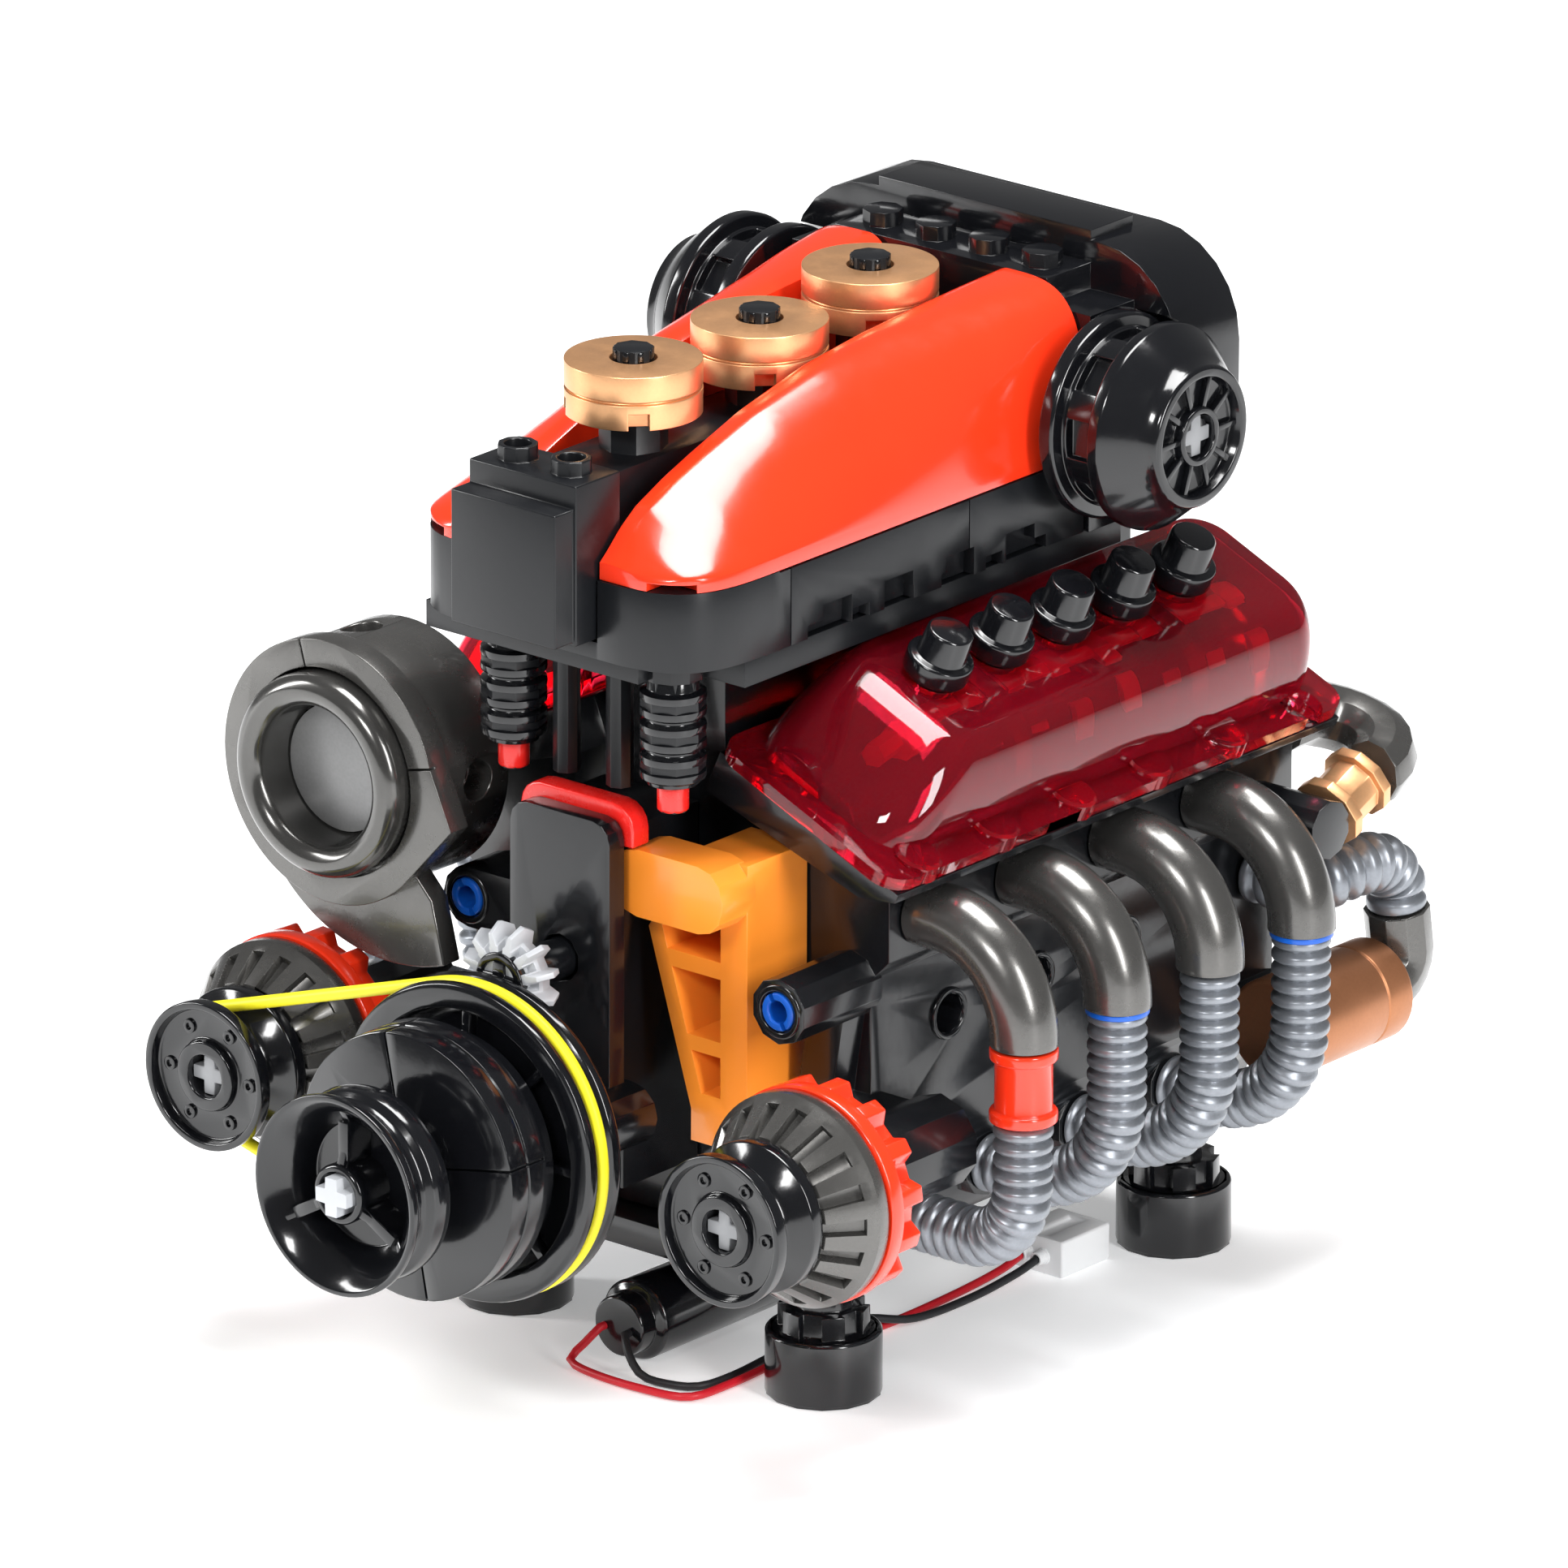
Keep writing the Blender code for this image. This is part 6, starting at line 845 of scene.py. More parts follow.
class Wires:
    """The motor's two wires, which lie on the table, and the connector at their end."""

    RADIUS = 0.5
    RED = (
        (-1.6, -24.0, 4.6), (-1.6, -25.0, 4.6), (-2.8, -26.6, 2.6), (-3.4, -28.2, 1.0), (1.0, -29.0, 0.6),
        (8.0, -29.0, 0.6), (14.0, -27.5, 0.6), (15.0, -21.0, 0.6), (14.8, -12.0, 0.6), (15.5, -4.0, 0.6),
        (16.6, 6.0, 0.6), (16.4, 18.0, 0.6), (16.8, 26.0, 1.4), (16.8, 30.0, 2.3), (16.8, 31.0, 2.3),
    )
    BLACK = (
        (2.2, -24.0, 4.6), (2.2, -25.0, 4.6), (3.8, -26.2, 3.0), (6.2, -26.6, 1.0), (10.0, -25.8, 0.6),
        (12.8, -24.0, 0.6), (13.5, -19.0, 0.6), (13.0, -12.0, 0.6), (13.4, -5.0, 1.4), (16.0, 1.0, 2.4),
        (18.4, 8.0, 1.0), (18.6, 18.0, 0.6), (19.0, 26.0, 1.4), (19.2, 30.0, 2.3), (19.2, 31.0, 2.3),
    )

    def __init__(self, bench):
        """Lay both wires and the connector."""
        connector = bench.refine("wire_connector", WHITE, bevel=0.3)
        red_end = self._sleeve(bench, "red", self.RED[-1])
        self._wire(bench, "red_wire", self.RED, WIRE_RED)
        black_end = self._sleeve(bench, "black", self.BLACK[-1])
        self._wire(bench, "black_wire", self.BLACK, SOFT_BLACK)

    def _sleeve(self, bench, name, end):
        """Build the crimped sleeve by which a wire's end is held in the connector."""
        sleeve = Solid().lathe(
            [(0.56, -1.5), (0.8, -1.5), (0.85, -1.2), (0.85, -0.9), (0.72, -0.8), (0.85, -0.7), (0.85, -0.3),
             (1.0, -0.2), (1.0, 0.0), (0.56, 0.0)], Frames.of(end, (1, 0, 0), (0, 1, 0)), SMALL, closed=True)
        return bench.place(f"{name}_sleeve", sleeve.finish(0.05), WHITE)

    def _wire(self, bench, node, route, finish):
        """Lay one wire as a curve of one open spline."""
        points = [Vector(route[0]), *spaced(smooth_route(route[1:-1], 8), 1.3), Vector(route[-1])]
        data = bpy.data.curves.new(f"{node}_cord", "CURVE")
        data.dimensions = "3D"
        data.bevel_depth = self.RADIUS * MM
        data.bevel_resolution = 4
        data.use_fill_caps = True
        line = data.splines.new("POLY")
        line.points.add(len(points) - 1)
        for spot, place in zip(line.points, points):
            spot.co = (*(place * MM), 1)
        data.materials.append(bench.palette.get(finish))
        cord = added(f"{node}_cord", data)
        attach(cord, "engine")
        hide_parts(node)


class SideWheels:
    """The two front belt wheels with their fluted cones and toothed rings."""

    X = 39.0
    Z = 34.2
    PIPS = 6
    FLUTES = 18
    TEETH = 14

    def __init__(self, bench):
        """Build both sides."""
        for name, side in SIDES:
            for build, y in ((self._wheel, -44.0), (self._cone, -26.3), (self._ring, -30.9)):
                build(bench, name, f"{name}_pulley", Frames.front(side * self.X, y, self.Z))

    def _wheel(self, bench, name, body, frame):
        """Build the grooved wheel, its raised pips and its axle tip."""
        wheel = Solid().lathe(
            [(2.5, 0), (9.0, 0), (9.0, 1.7), (6.7, 3.1), (6.2, 4.0), (6.7, 4.9), (9.0, 6.3), (9.0, 8.0),
             (8.1, 8.0), (7.9, 6.7), (4.35, 6.7), (4.2, 7.8), (2.6, 7.8), (2.5, 6.2)], frame, closed=True)
        pip = Solid().lathe([(0.4, -0.2), (0.85, -0.2), (0.85, 0.28), (0.4, 0.28)],
                            Frames.up(6.1, 0, 6.7), SMALL, closed=True)
        pips = bench.spread(pip, self.PIPS, frame, 0.08)
        bench.stand_in(f"{name}_wheel", merged(wheel.finish(0.22, 3), pips), BLACK, body)
        tip = Solid().prism(plus_sign(2.45, 0.85), -16.0, 6.9, frame)
        bench.place(f"{name}_axle_tip", tip.finish(0.18), TIP_GREY, body, slotted=False)

    def _cone(self, bench, name, body, frame):
        """Build the fluted pearl cone with its band and sleeve."""
        cone = Solid().lathe(
            [(2.6, 0), (5.5, 0), (5.5, 10.4), (12.6, 10.4), (12.8, 10.7), (12.8, 12.2), (12.5, 12.6),
             (9.1, 17.4), (2.6, 17.4)], frame, closed=True)
        lean = Matrix.Translation((10.9, 0, 15.2)) @ Matrix.Rotation(-math.atan2(3.4, 4.8), 4, "Y")
        outline = ((-1.5, -0.85), (1.4, -1.15), (1.4, 1.15), (-1.5, 0.85))
        groove = Solid().loft([[lean @ Vector((x, y * share, z)) for x, y in outline]
                               for z, share in ((-2.0, 1.0), (4.2, 0.72))])
        cone.cut(Solid.of(bench.spread(groove, self.FLUTES, frame)))
        bench.place(f"{name}_cone_visual", cone.finish(0.16, 2, 38), PEARL, body, (f"{name}_bevel_rim",))

    def _ring(self, bench, name, body, frame):
        """Build the toothed ring behind the cone."""
        outline = toothed(self.TEETH, ((0.0, 11.3), (0.16, 12.95), (0.48, 12.95), (0.64, 11.3)))
        ring = Solid().prism(outline, 0, 3.6, frame)
        ring.lathe([(5.8, 3.4), (12.9, 3.4), (13.0, 3.6), (13.0, 5.4), (12.8, 5.5), (5.8, 5.5)], frame,
                   closed=True)
        bench.place(f"{name}_ring_visual", ring.finish(0.25), RED_ORANGE, body, (f"{name}_gear_ring",))


class CrankTrain:
    """Everything that turns with the crank: axle, hub wheel, drum, belt wheel and gear."""

    Z = 35.2
    BODY = "crank"
    SPOKES = 3
    SPLITS = 4
    SPLIT_TURN = 0.2
    RIBS = 8

    def __init__(self, bench):
        """Build the whole train."""
        bench.refine("crank_axle", LIGHT_GREY, self.BODY, bevel=0.15)
        bench.refine("crank_gear", LIGHT_GREY, self.BODY, bevel=0.12)
        self._hub_wheel(bench)
        self._drum(bench)
        self._belt_wheel(bench)

    def _hub_wheel(self, bench):
        """Build the spoked nose wheel and the bush behind it."""
        frame = Frames.front(0, -61.3, self.Z)
        shell = Solid().lathe(
            [(3.0, 0), (5.0, 0), (5.0, 3.4), (10.4, 4.2), (11.3, 4.9), (11.6, 6.2), (11.3, 7.6), (10.5, 8.3),
             (10.3, 9.0), (11.2, 10.2), (12.0, 11.3), (12.0, 12.2), (11.4, 12.2), (10.6, 11.6), (7.9, 8.6),
             (7.5, 6.6), (3.0, 6.6)], frame, closed=True)
        hub = Solid().lathe([(2.75, 6.0), (3.6, 6.0), (3.6, 11.4), (3.3, 11.7), (2.75, 11.7)], frame,
                            closed=True)
        spoke = Solid().box((3.2, -0.75, 6.4), (8.6, 0.75, 10.6))
        cap = Solid().loft([[Vector((x, y, z)) for y, z in ((-0.55, 8.4), (0.55, 8.4), (0.55, top),
                                                            (-0.55, top))]
                            for x, top in ((3.2, 11.2), (7.8, 9.6), (10.2, 11.0))])
        spokes = bench.copier.repeat(merged(spoke.finish(0.15), cap.finish(0.15)), self.SPOKES,
                                     frame @ Matrix.Rotation(math.pi / 2, 4, "Z"),
                                     turn=(0, 0, math.tau / self.SPOKES))
        bench.stand_in("front_hub_wheel", merged(shell.finish(0.2, 3), hub.finish(0.15), spokes), BLACK,
                       self.BODY)

    def _drum(self, bench):
        """Build the three-layered drum with its splits."""
        frame = Frames.front(0, -51.6, self.Z)
        drum = Solid().lathe(
            [(3.0, 0), (14.2, 0), (14.2, 2.6), (15.6, 3.0), (16.0, 3.2), (16.0, 6.1), (15.6, 6.3),
             (16.0, 6.5), (16.0, 9.3), (15.8, 9.4), (3.0, 9.4)], frame, closed=True)
        split = Solid().prism(
            [(4.6, 8.9), (15.5, 8.9), (15.5, 3.4), (16.6, 3.4), (16.6, 9.9), (4.6, 9.9)], -0.16, 0.16,
            Frames.front(0, 0, 0))
        turned = frame @ Matrix.Rotation(self.SPLIT_TURN, 4, "Z")
        drum.cut(Solid.of(bench.spread(split, self.SPLITS, turned)))
        bench.stand_in("drum_disc", drum.finish(0.14), BLACK, self.BODY)

    def _belt_wheel(self, bench):
        """Build the large belt wheel with its rims and the groove of the belt."""
        frame = Frames.front(0, -45.0, self.Z)
        wheel = Solid().lathe(
            [(3.0, 0), (18.2, 0), (19.0, 0.3), (19.2, 0.9), (19.0, 1.6), (18.0, 2.4), (17.7, 3.0),
             (18.0, 3.6), (19.0, 4.4), (19.2, 5.1), (19.0, 5.8), (18.3, 6.0), (16.2, 6.0), (15.8, 4.2),
             (6.0, 4.2), (5.6, 6.0), (3.0, 6.0)], frame, EXTRA_FINE, closed=True)
        rib = Solid().box((5.7, -0.5, 3.9), (16.0, 0.5, 5.6))
        ribs = bench.spread(rib, self.RIBS, frame, 0.12)
        bench.stand_in("belt_pulley", merged(wheel.finish(0.16, 3), ribs), BLACK, self.BODY)


class DriveBelt:
    """The yellow belt round the large wheel and the left side wheel."""

    LARGE = Vector((0, CrankTrain.Z))
    SMALL = Vector((-SideWheels.X, SideWheels.Z))
    LARGE_RADIUS = 18.45
    SMALL_RADIUS = 7.25
    Y = -48.0
    RADIUS = 0.75

    def __init__(self, bench):
        """Lay the belt along its two arcs and two straight runs."""
        gap = self.SMALL - self.LARGE
        lean = math.degrees(math.atan2(gap.y, gap.x))
        wrap = math.degrees(math.acos((self.LARGE_RADIUS - self.SMALL_RADIUS) / gap.length))
        path = arc(self.LARGE, self.LARGE_RADIUS, lean + wrap, lean + 360 - wrap, 60)
        path += arc(self.SMALL, self.SMALL_RADIUS, lean - wrap, lean + wrap, 30)
        belt = Solid().loop_tube(upright(path, self.Y), self.RADIUS, 14)
        bench.stand_in("drive_belt", belt.finish(0), YELLOW)


class TimingGears:
    """The idler gear above the crank gear, with its shaft and its axle tip."""

    Z = 53.2
    BODY = "idler"
    SLOTS = 12

    def __init__(self, bench):
        """Build the gear, the shaft and the tip."""
        gear = Solid.of(bench.refined("idler_gear", 0.0))
        gear.cut(Solid().box((-9.0, -40.4, 44.0), (9.0, -25.0, 63.0)))
        shaft = Solid().lathe([(0, 0), (2.4, 0), (2.4, 10.3), (0, 10.3)], Frames.front(0, -30.1, self.Z),
                              SMALL)
        bench.place("idler_shaft", shaft.finish(0.1), TECH_BLACK, self.BODY)
        slot = Solid().prism([(3.3, -0.3), (8.0, -1.0), (8.0, 1.0), (3.3, 0.3)], -1.5, 0.5, WORLD)
        gear.cut(Solid.of(bench.spread(slot, self.SLOTS, Frames.front(0, -44.5, self.Z))))
        bench.stand_in("idler_gear", gear.finish(0.14), LIGHT_GREY, self.BODY)
        frame = Frames.front(0, -44.6, self.Z)
        tip = Solid().prism(plus_sign(2.4, 0.9), -2.0, 0.25, frame)
        ring = Solid().lathe([(2.5, -1.0), (3.5, -1.0), (3.5, 0.1), (3.3, 0.25), (2.5, 0.25)], frame, SMALL,
                             closed=True)
        bench.place("idler_tip", merged(tip.finish(0.15), ring.finish(0.1)), BLACK, self.BODY)


class FrontCover:
    """The front panel with its red arch, the orange bracket and the blue pins."""

    PINS = ((8.0, -38.0, 35.8), (-20.0, -27.0, 54.0), (27.0, -27.0, 51.0))
    PIN_TURN = 0.5

    def __init__(self, bench):
        """Build every front piece."""
        for node, finish, bevel in (("front_cover", TECH_BLACK, 0.35), ("front_arch", RED, 0.3),
                                    ("lattice_bracket", ORANGE, 0.35)):
            bench.refine(node, finish, bevel=bevel, segments=3)
        for index, place in enumerate(self.PINS):
            frame = Frames.front(*place)
            pin = Solid().lathe([(1.35, -3.0), (2.3, -3.0), (2.3, 0.1), (2.15, 0.3), (1.5, 0.3), (1.35, 0.1)],
                                frame, MEDIUM, closed=True)
            slot = Solid().prism([(-0.35, -2.6), (0.35, -2.6), (0.35, 2.6), (-0.35, 2.6)], -1.6, 0.6,
                                 frame @ Matrix.Rotation(self.PIN_TURN, 4, "Z"))
            bench.place(f"blue_pin_{index + 1}", pin.cut(slot).finish(0.12), BLUE, slotted=False)
            lip = Solid().lathe([(2.45, -0.6), (3.3, -0.6), (3.3, 0.05), (3.1, 0.25), (2.6, 0.25),
                                 (2.45, 0.05)], frame, MEDIUM, closed=True)
            bench.place(f"pin_collar_{index + 1}", lip.finish(0.1), TECH_BLACK)


class Turbo:
    """The turbo's disc, barrel, volute and inlet ring."""

    X = -33.5
    Z = 68.6
    DISC_Y = -36.0
    RADIUS = 16.0
    SWEEP_START = 205
    SWEEP_END = (15.1, -21.1)
    GROWTH = 1.3
    SPLITS = (106, 14)
    HOLES = (0, 100)

    def __init__(self, bench):
        """Build the housing, the disc inside it and the ring."""
        self._housing(bench)
        self._ring(bench)

    def _frame(self, y):
        """Return the frame on the turbo's axis at a depth."""
        return Frames.front(self.X, y, self.Z)

    def _housing(self, bench):
        """Build the disc with its sharp corner, the barrel with its holes, and the volute."""
        rim = arc((0, 0), self.RADIUS, 14, 319, 72) + [(18.7, -3.2)]
        disc = Solid().prism(rim, -3.2, 0, self._frame(self.DISC_Y))
        barrel = Solid().lathe([(0, 0), (15.0, 0), (15.2, 0.3), (15.2, 12.0), (0, 12.0)], self._frame(-21.4))
        recess = Solid().lathe([(0, -6.0), (12.6, -6.0), (12.6, 1.0), (0, 1.0)], self._frame(self.DISC_Y))
        disc.cut(recess.copy())
        disc.cut(self._splits())
        barrel.cut(recess)
        barrel.cut(self._holes())
        volute = Solid().prism(self._fin(), -3.0, 0, self._frame(-33.1))
        pieces = [drawing.finish(0.25, 3, 34) for drawing in (disc, barrel, volute)]
        bench.stand_in("turbo_housing", merged(*pieces), PEARL)
        floor = Solid().lathe([(0, 0), (7.7, 0), (7.7, 0.5), (0, 0.5)], self._frame(-33.4), MEDIUM)
        bench.place("turbo_inner_disc", floor.finish(0.1), INNER_GREY)

    def _fin(self):
        """Return the outline of the volute, whose radius grows along its sweep."""
        end_x, end_y = self.SWEEP_END
        sweep = math.degrees(math.atan2(end_y, end_x)) + 360 - self.SWEEP_START
        widening = math.hypot(end_x, end_y) - self.RADIUS
        fin = []
        for step in range(41):
            share = step / 40
            angle = math.radians(self.SWEEP_START + sweep * share)
            reach = self.RADIUS + widening * share ** self.GROWTH
            fin.append((reach * math.cos(angle), reach * math.sin(angle)))
        return [*fin, (13.2, -13.6), *arc((0, 0), 8.0, 315, 205, 12)]

    def _splits(self):
        """Return the tool that cuts the disc's two splits."""
        tool = Solid()
        for degrees in self.SPLITS:
            frame = self._frame(self.DISC_Y) @ Matrix.Rotation(math.radians(degrees), 4, "Z")
            tool.prism([(12.3, -0.12), (19.5, -0.12), (19.5, 0.12), (12.3, 0.12)], -0.9, 0.5, frame)
        return tool

    def _holes(self):
        """Return the tool that cuts the barrel's two pin holes."""
        tool = Solid()
        for degrees in self.HOLES:
            angle = math.radians(degrees)
            out = Vector((math.cos(angle), 0, math.sin(angle)))
            place = Vector((self.X, -27.0, self.Z)) + out * 11.5
            tool.lathe([(0, 0), (2.45, 0), (2.45, 6.0), (0, 6.0)], Frames.of(place, (0, 1, 0), out), SMALL)
        return tool

    def _ring(self, bench):
        """Build the thick shiny lip with its funnel."""
        lip = arc((10.4, 6.9), 1.9, -10, 190, 16)
        ring = Solid().lathe([(7.8, 0.6), (12.2, 0.6), (12.25, 6.2), *lip, (7.8, 3.2)], self._frame(-30.4),
                             EXTRA_FINE, closed=True)
        bench.stand_in("turbo_lip_ring", ring.finish(0.12, 2, 50), PEARL_DARK)


class Intake:
    """The plate, base, red covers, gold stacks, front brick, plenum and filters on top."""

    FRONT = -37.0
    CORNER = 16.0
    POWER = 3.4
    NOSE = 8.0
    HALF = 22.0
    SPINE = 8.4
    SEAT = 101.7
    HOOD_FRONT = -36.7
    HOOD_LENGTH = 70.5
    CROWN = 0.16
    BUNCHING = 1.35
    POST_X = 12.0
    STACKS = (("front", -20.9, 122.6), ("middle", 1.5, 121.8), ("rear", 21.4, 123.3))
    HOOD = (
        (0, 2.0, 2.1, 2.0), (0.02, 3.2, 3.3, 1.5), (0.05, 5.2, 5.3, 1.25), (0.09, 7.2, 7.4, 1.2),
        (0.16, 9.4, 9.7, 1.25), (0.23, 11.2, 11.5, 1.3), (0.35, 14.0, 14.3, 1.4), (0.51, 16.6, 17.0, 1.6),
        (0.66, 17.9, 18.3, 1.9), (0.80, 18.6, 19.2, 2.4), (0.90, 19.0, 19.8, 3.0), (1, 19.2, 20.2, 3.6),
    )

    def __init__(self, bench):
        """Build every intake piece."""
        self._base(bench)
        bench.refine("intake_plate", SATIN_BLACK, bevel=0.18)
        self._brick(bench)
        bench.refine("rear_plenum", BLACK, bevel=0.4, segments=3)
        self._tips(bench)
        self._covers(bench)
        for name, y, top in self.STACKS:
            self._stack(bench, name, y, top)
        for name, side in SIDES:
            self._filter(bench, name, side)

    def _base(self, bench):
        """Fill the base's front corners and cut the recesses and seams of its sides."""
        base = Solid.of(bench.refined("intake_base", 0.0))
        depths = [self.FRONT + self.CORNER * step / 24 for step in range(1, 25)]
        corner = [(8.3, self.FRONT), (12.0, -36.99), *((self._edge(y), y) for y in depths), (14.0, -21.0),
                  (8.3, -30.0)]
        for _, side in SIDES:
            outline = [(x * side, y) for x, y in corner]
            base.add(Solid().prism(outline[::side], 92.1, 101.6, WORLD))
            recess = Solid().box((-1.6, -2.6, -0.2), (0.6, 2.6, 3.4))
            base.cut(Solid.of(bench.row(recess, 4, Frames.up(side * self.HALF, -10.7, 92.1), (0, 11.0, 0))))
            seam = Solid().box((-1.0, -0.09, -0.2), (0.6, 0.09, 9.9))
            base.cut(Solid.of(bench.row(seam, 2, Frames.up(side * self.HALF, -19.0, 91.8), (0, 32.0, 0))))
        bench.stand_in("intake_base", base.finish(0.22, 2, 34), SATIN_BLACK)

    def _brick(self, bench):
        """Refine the front brick and hollow its two studs."""
        brick = Solid.of(bench.refined("front_brick", 0.0))
        hollow = Solid().lathe([(0, 0), (1.6, 0), (1.6, 3.0), (0, 3.0)], WORLD, SMALL)
        brick.cut(Solid.of(bench.row(hollow, 2, Frames.up(-4.0, -36.5, 112.4), (8.0, 0, 0))))
        bench.stand_in("front_brick", brick.finish(0.18, 3), SATIN_BLACK)

    def _tips(self, bench):
        """Build the bellows of the front posts and their red tips."""
        profile = [(0, 0.1), (3.0, 0.1)]
        for rib in range(6):
            top = -1.3 - rib * 1.9
            profile += [(3.1, top), (3.85, top - 0.35), (3.9, top - 0.8), (3.85, top - 1.15),
                        (3.1, top - 1.5)]
        profile += [(3.1, -12.8), (0, -12.8)]
        for name, side in SIDES:
            post = Solid().lathe(profile, Frames.up(side * self.POST_X, -28.0, 88.6), MEDIUM)
            bench.place(f"bellows_{name}", post.finish(0.1, 2, 60), BLACK)
            tip = Solid().lathe([(0, 0), (1.6, 0), (1.85, 0.3), (1.85, 3.5), (0, 3.5)],
                                Frames.up(side * self.POST_X, -28.0, 72.35), SMALL)
            bench.place(f"bellows_tip_{name}", tip.finish(0.12), RED)

    @classmethod
    def _edge(cls, y):
        """Return how far out the base reaches at a depth."""
        straight = cls.FRONT + cls.CORNER
        if y >= straight:
            return cls.HALF
        share = (straight - y) / cls.CORNER
        return cls.NOSE + (cls.HALF - cls.NOSE) * max(0.0, 1 - share ** cls.POWER) ** (1 / cls.POWER)

    def _section(self, along, side):
        """Return one fine section of a cover at a share of its length."""
        before = max((row for row in self.HOOD if row[0] <= along), key=lambda row: row[0])
        after = min((row for row in self.HOOD if row[0] >= along), key=lambda row: row[0])
        mix = 0 if after[0] == before[0] else (along - before[0]) / (after[0] - before[0])
        edge, crest, square = (low + (high - low) * mix for low, high in zip(before[1:], after[1:]))
        y = self.HOOD_FRONT + along * self.HOOD_LENGTH
        outer = self._edge(y)
        crown = self.SPINE + (outer - self.SPINE) * self.CROWN
        lip = min(1.6, crest * 0.4)
        ring = [(self.SPINE, self.SEAT), (self.SPINE, self.SEAT + edge)]
        for step in range(1, 7):
            share = step / 7
            rise = edge + (crest - edge) * (2 - share) * share
            ring.append((self.SPINE + (crown - self.SPINE) * share, self.SEAT + rise))
        for step in range(25):
            angle = math.radians(90 * (1 - step / 24))
            across = math.cos(angle) ** (2 / square) if step else 0.0
            up = math.sin(angle) ** (2 / square) if step < 24 else 0.0
            ring.append((crown + (outer - crown) * across, self.SEAT + lip + (crest - lip) * up))
        ring.append((outer, self.SEAT))
        return upright(ring, y, side)

    def _covers(self, bench):
        """Build both glossy covers, which rise and square up towards the back."""
        for name, side in SIDES:
            cover = Solid().loft([self._section((step / 60) ** self.BUNCHING, side) for step in range(61)])
            middle = side * 17.6
            cover.cut(Solid().box((middle - 2.4, -39.0, 101.5), (middle + 2.4, -32.5, 102.7)))
            bench.stand_in(f"intake_cover_{name}", cover.finish(0.3, 3, 40), RED_ORANGE)

    def _stack(self, bench, name, y, top):
        """Build one gold stack: two notched round plates on a ribbed stub."""
        frame = Frames.up(0, y, top - 6.4)
        stack = Solid().lathe(
            [(2.75, 0), (8.0, 0), (8.0, 3.0), (7.65, 3.1), (7.65, 3.3), (8.0, 3.4), (8.0, 6.4), (2.75, 6.4)],
            frame, closed=True)
        notch = Solid().box((6.2, -1.2, -0.4), (8.4, 1.2, 2.0))
        stack.cut(Solid.of(bench.spread(notch, 4, frame @ Matrix.Rotation(math.tau / 8, 4, "Z"))))
        bench.stand_in(f"stack_{name}", stack.finish(0.22, 3), GOLD)
        ribs = toothed(8, ((0.0, 1.85), (0.2, 2.45), (0.55, 2.45), (0.75, 1.85)))
        stub = Solid().prism(ribs, 5.6, 7.55, frame)
        bench.place(f"stack_{name}_stub", stub.finish(0.15), BLACK)

    def _filter(self, bench, name, side):
        """Build one windowed filter wheel with its conical rim, end ribs and axle tip."""
        body = f"filter_{name}"
        frame = Frames.side(side * 24.0, 35.0, 107.0, side)
        drum = Solid().lathe(
            [(2.7, 0), (12.0, 0), (12.3, 0.3), (12.3, 1.9), (12.0, 2.2), (10.6, 2.3), (10.6, 7.0),
             (12.0, 7.1), (12.3, 7.4), (12.3, 8.8), (9.4, 12.4), (8.7, 13.2), (8.5, 14.3), (8.2, 14.6),
             (7.2, 14.6), (6.8, 13.2), (3.6, 13.2), (3.5, 14.4), (2.7, 14.4)], frame, closed=True)
        window = Solid().box((9.3, -2.35, 2.9), (11.2, 2.35, 6.5))
        drum.cut(Solid.of(bench.spread(window, 8, frame)))
        rib = Solid().box((3.4, -0.35, 12.9), (7.0, 0.35, 14.0))
        ribs = bench.spread(rib, 10, frame, 0.1)
        bench.stand_in(f"air_filter_{name}", merged(drum.finish(0.2, 3), ribs), BLACK, body)
        tip = Solid().prism(plus_sign(2.4, 0.9), 11.0, 13.7, frame)
        bench.place(f"filter_tip_{name}", tip.finish(0.15), TIP_GREY, body, slotted=False)


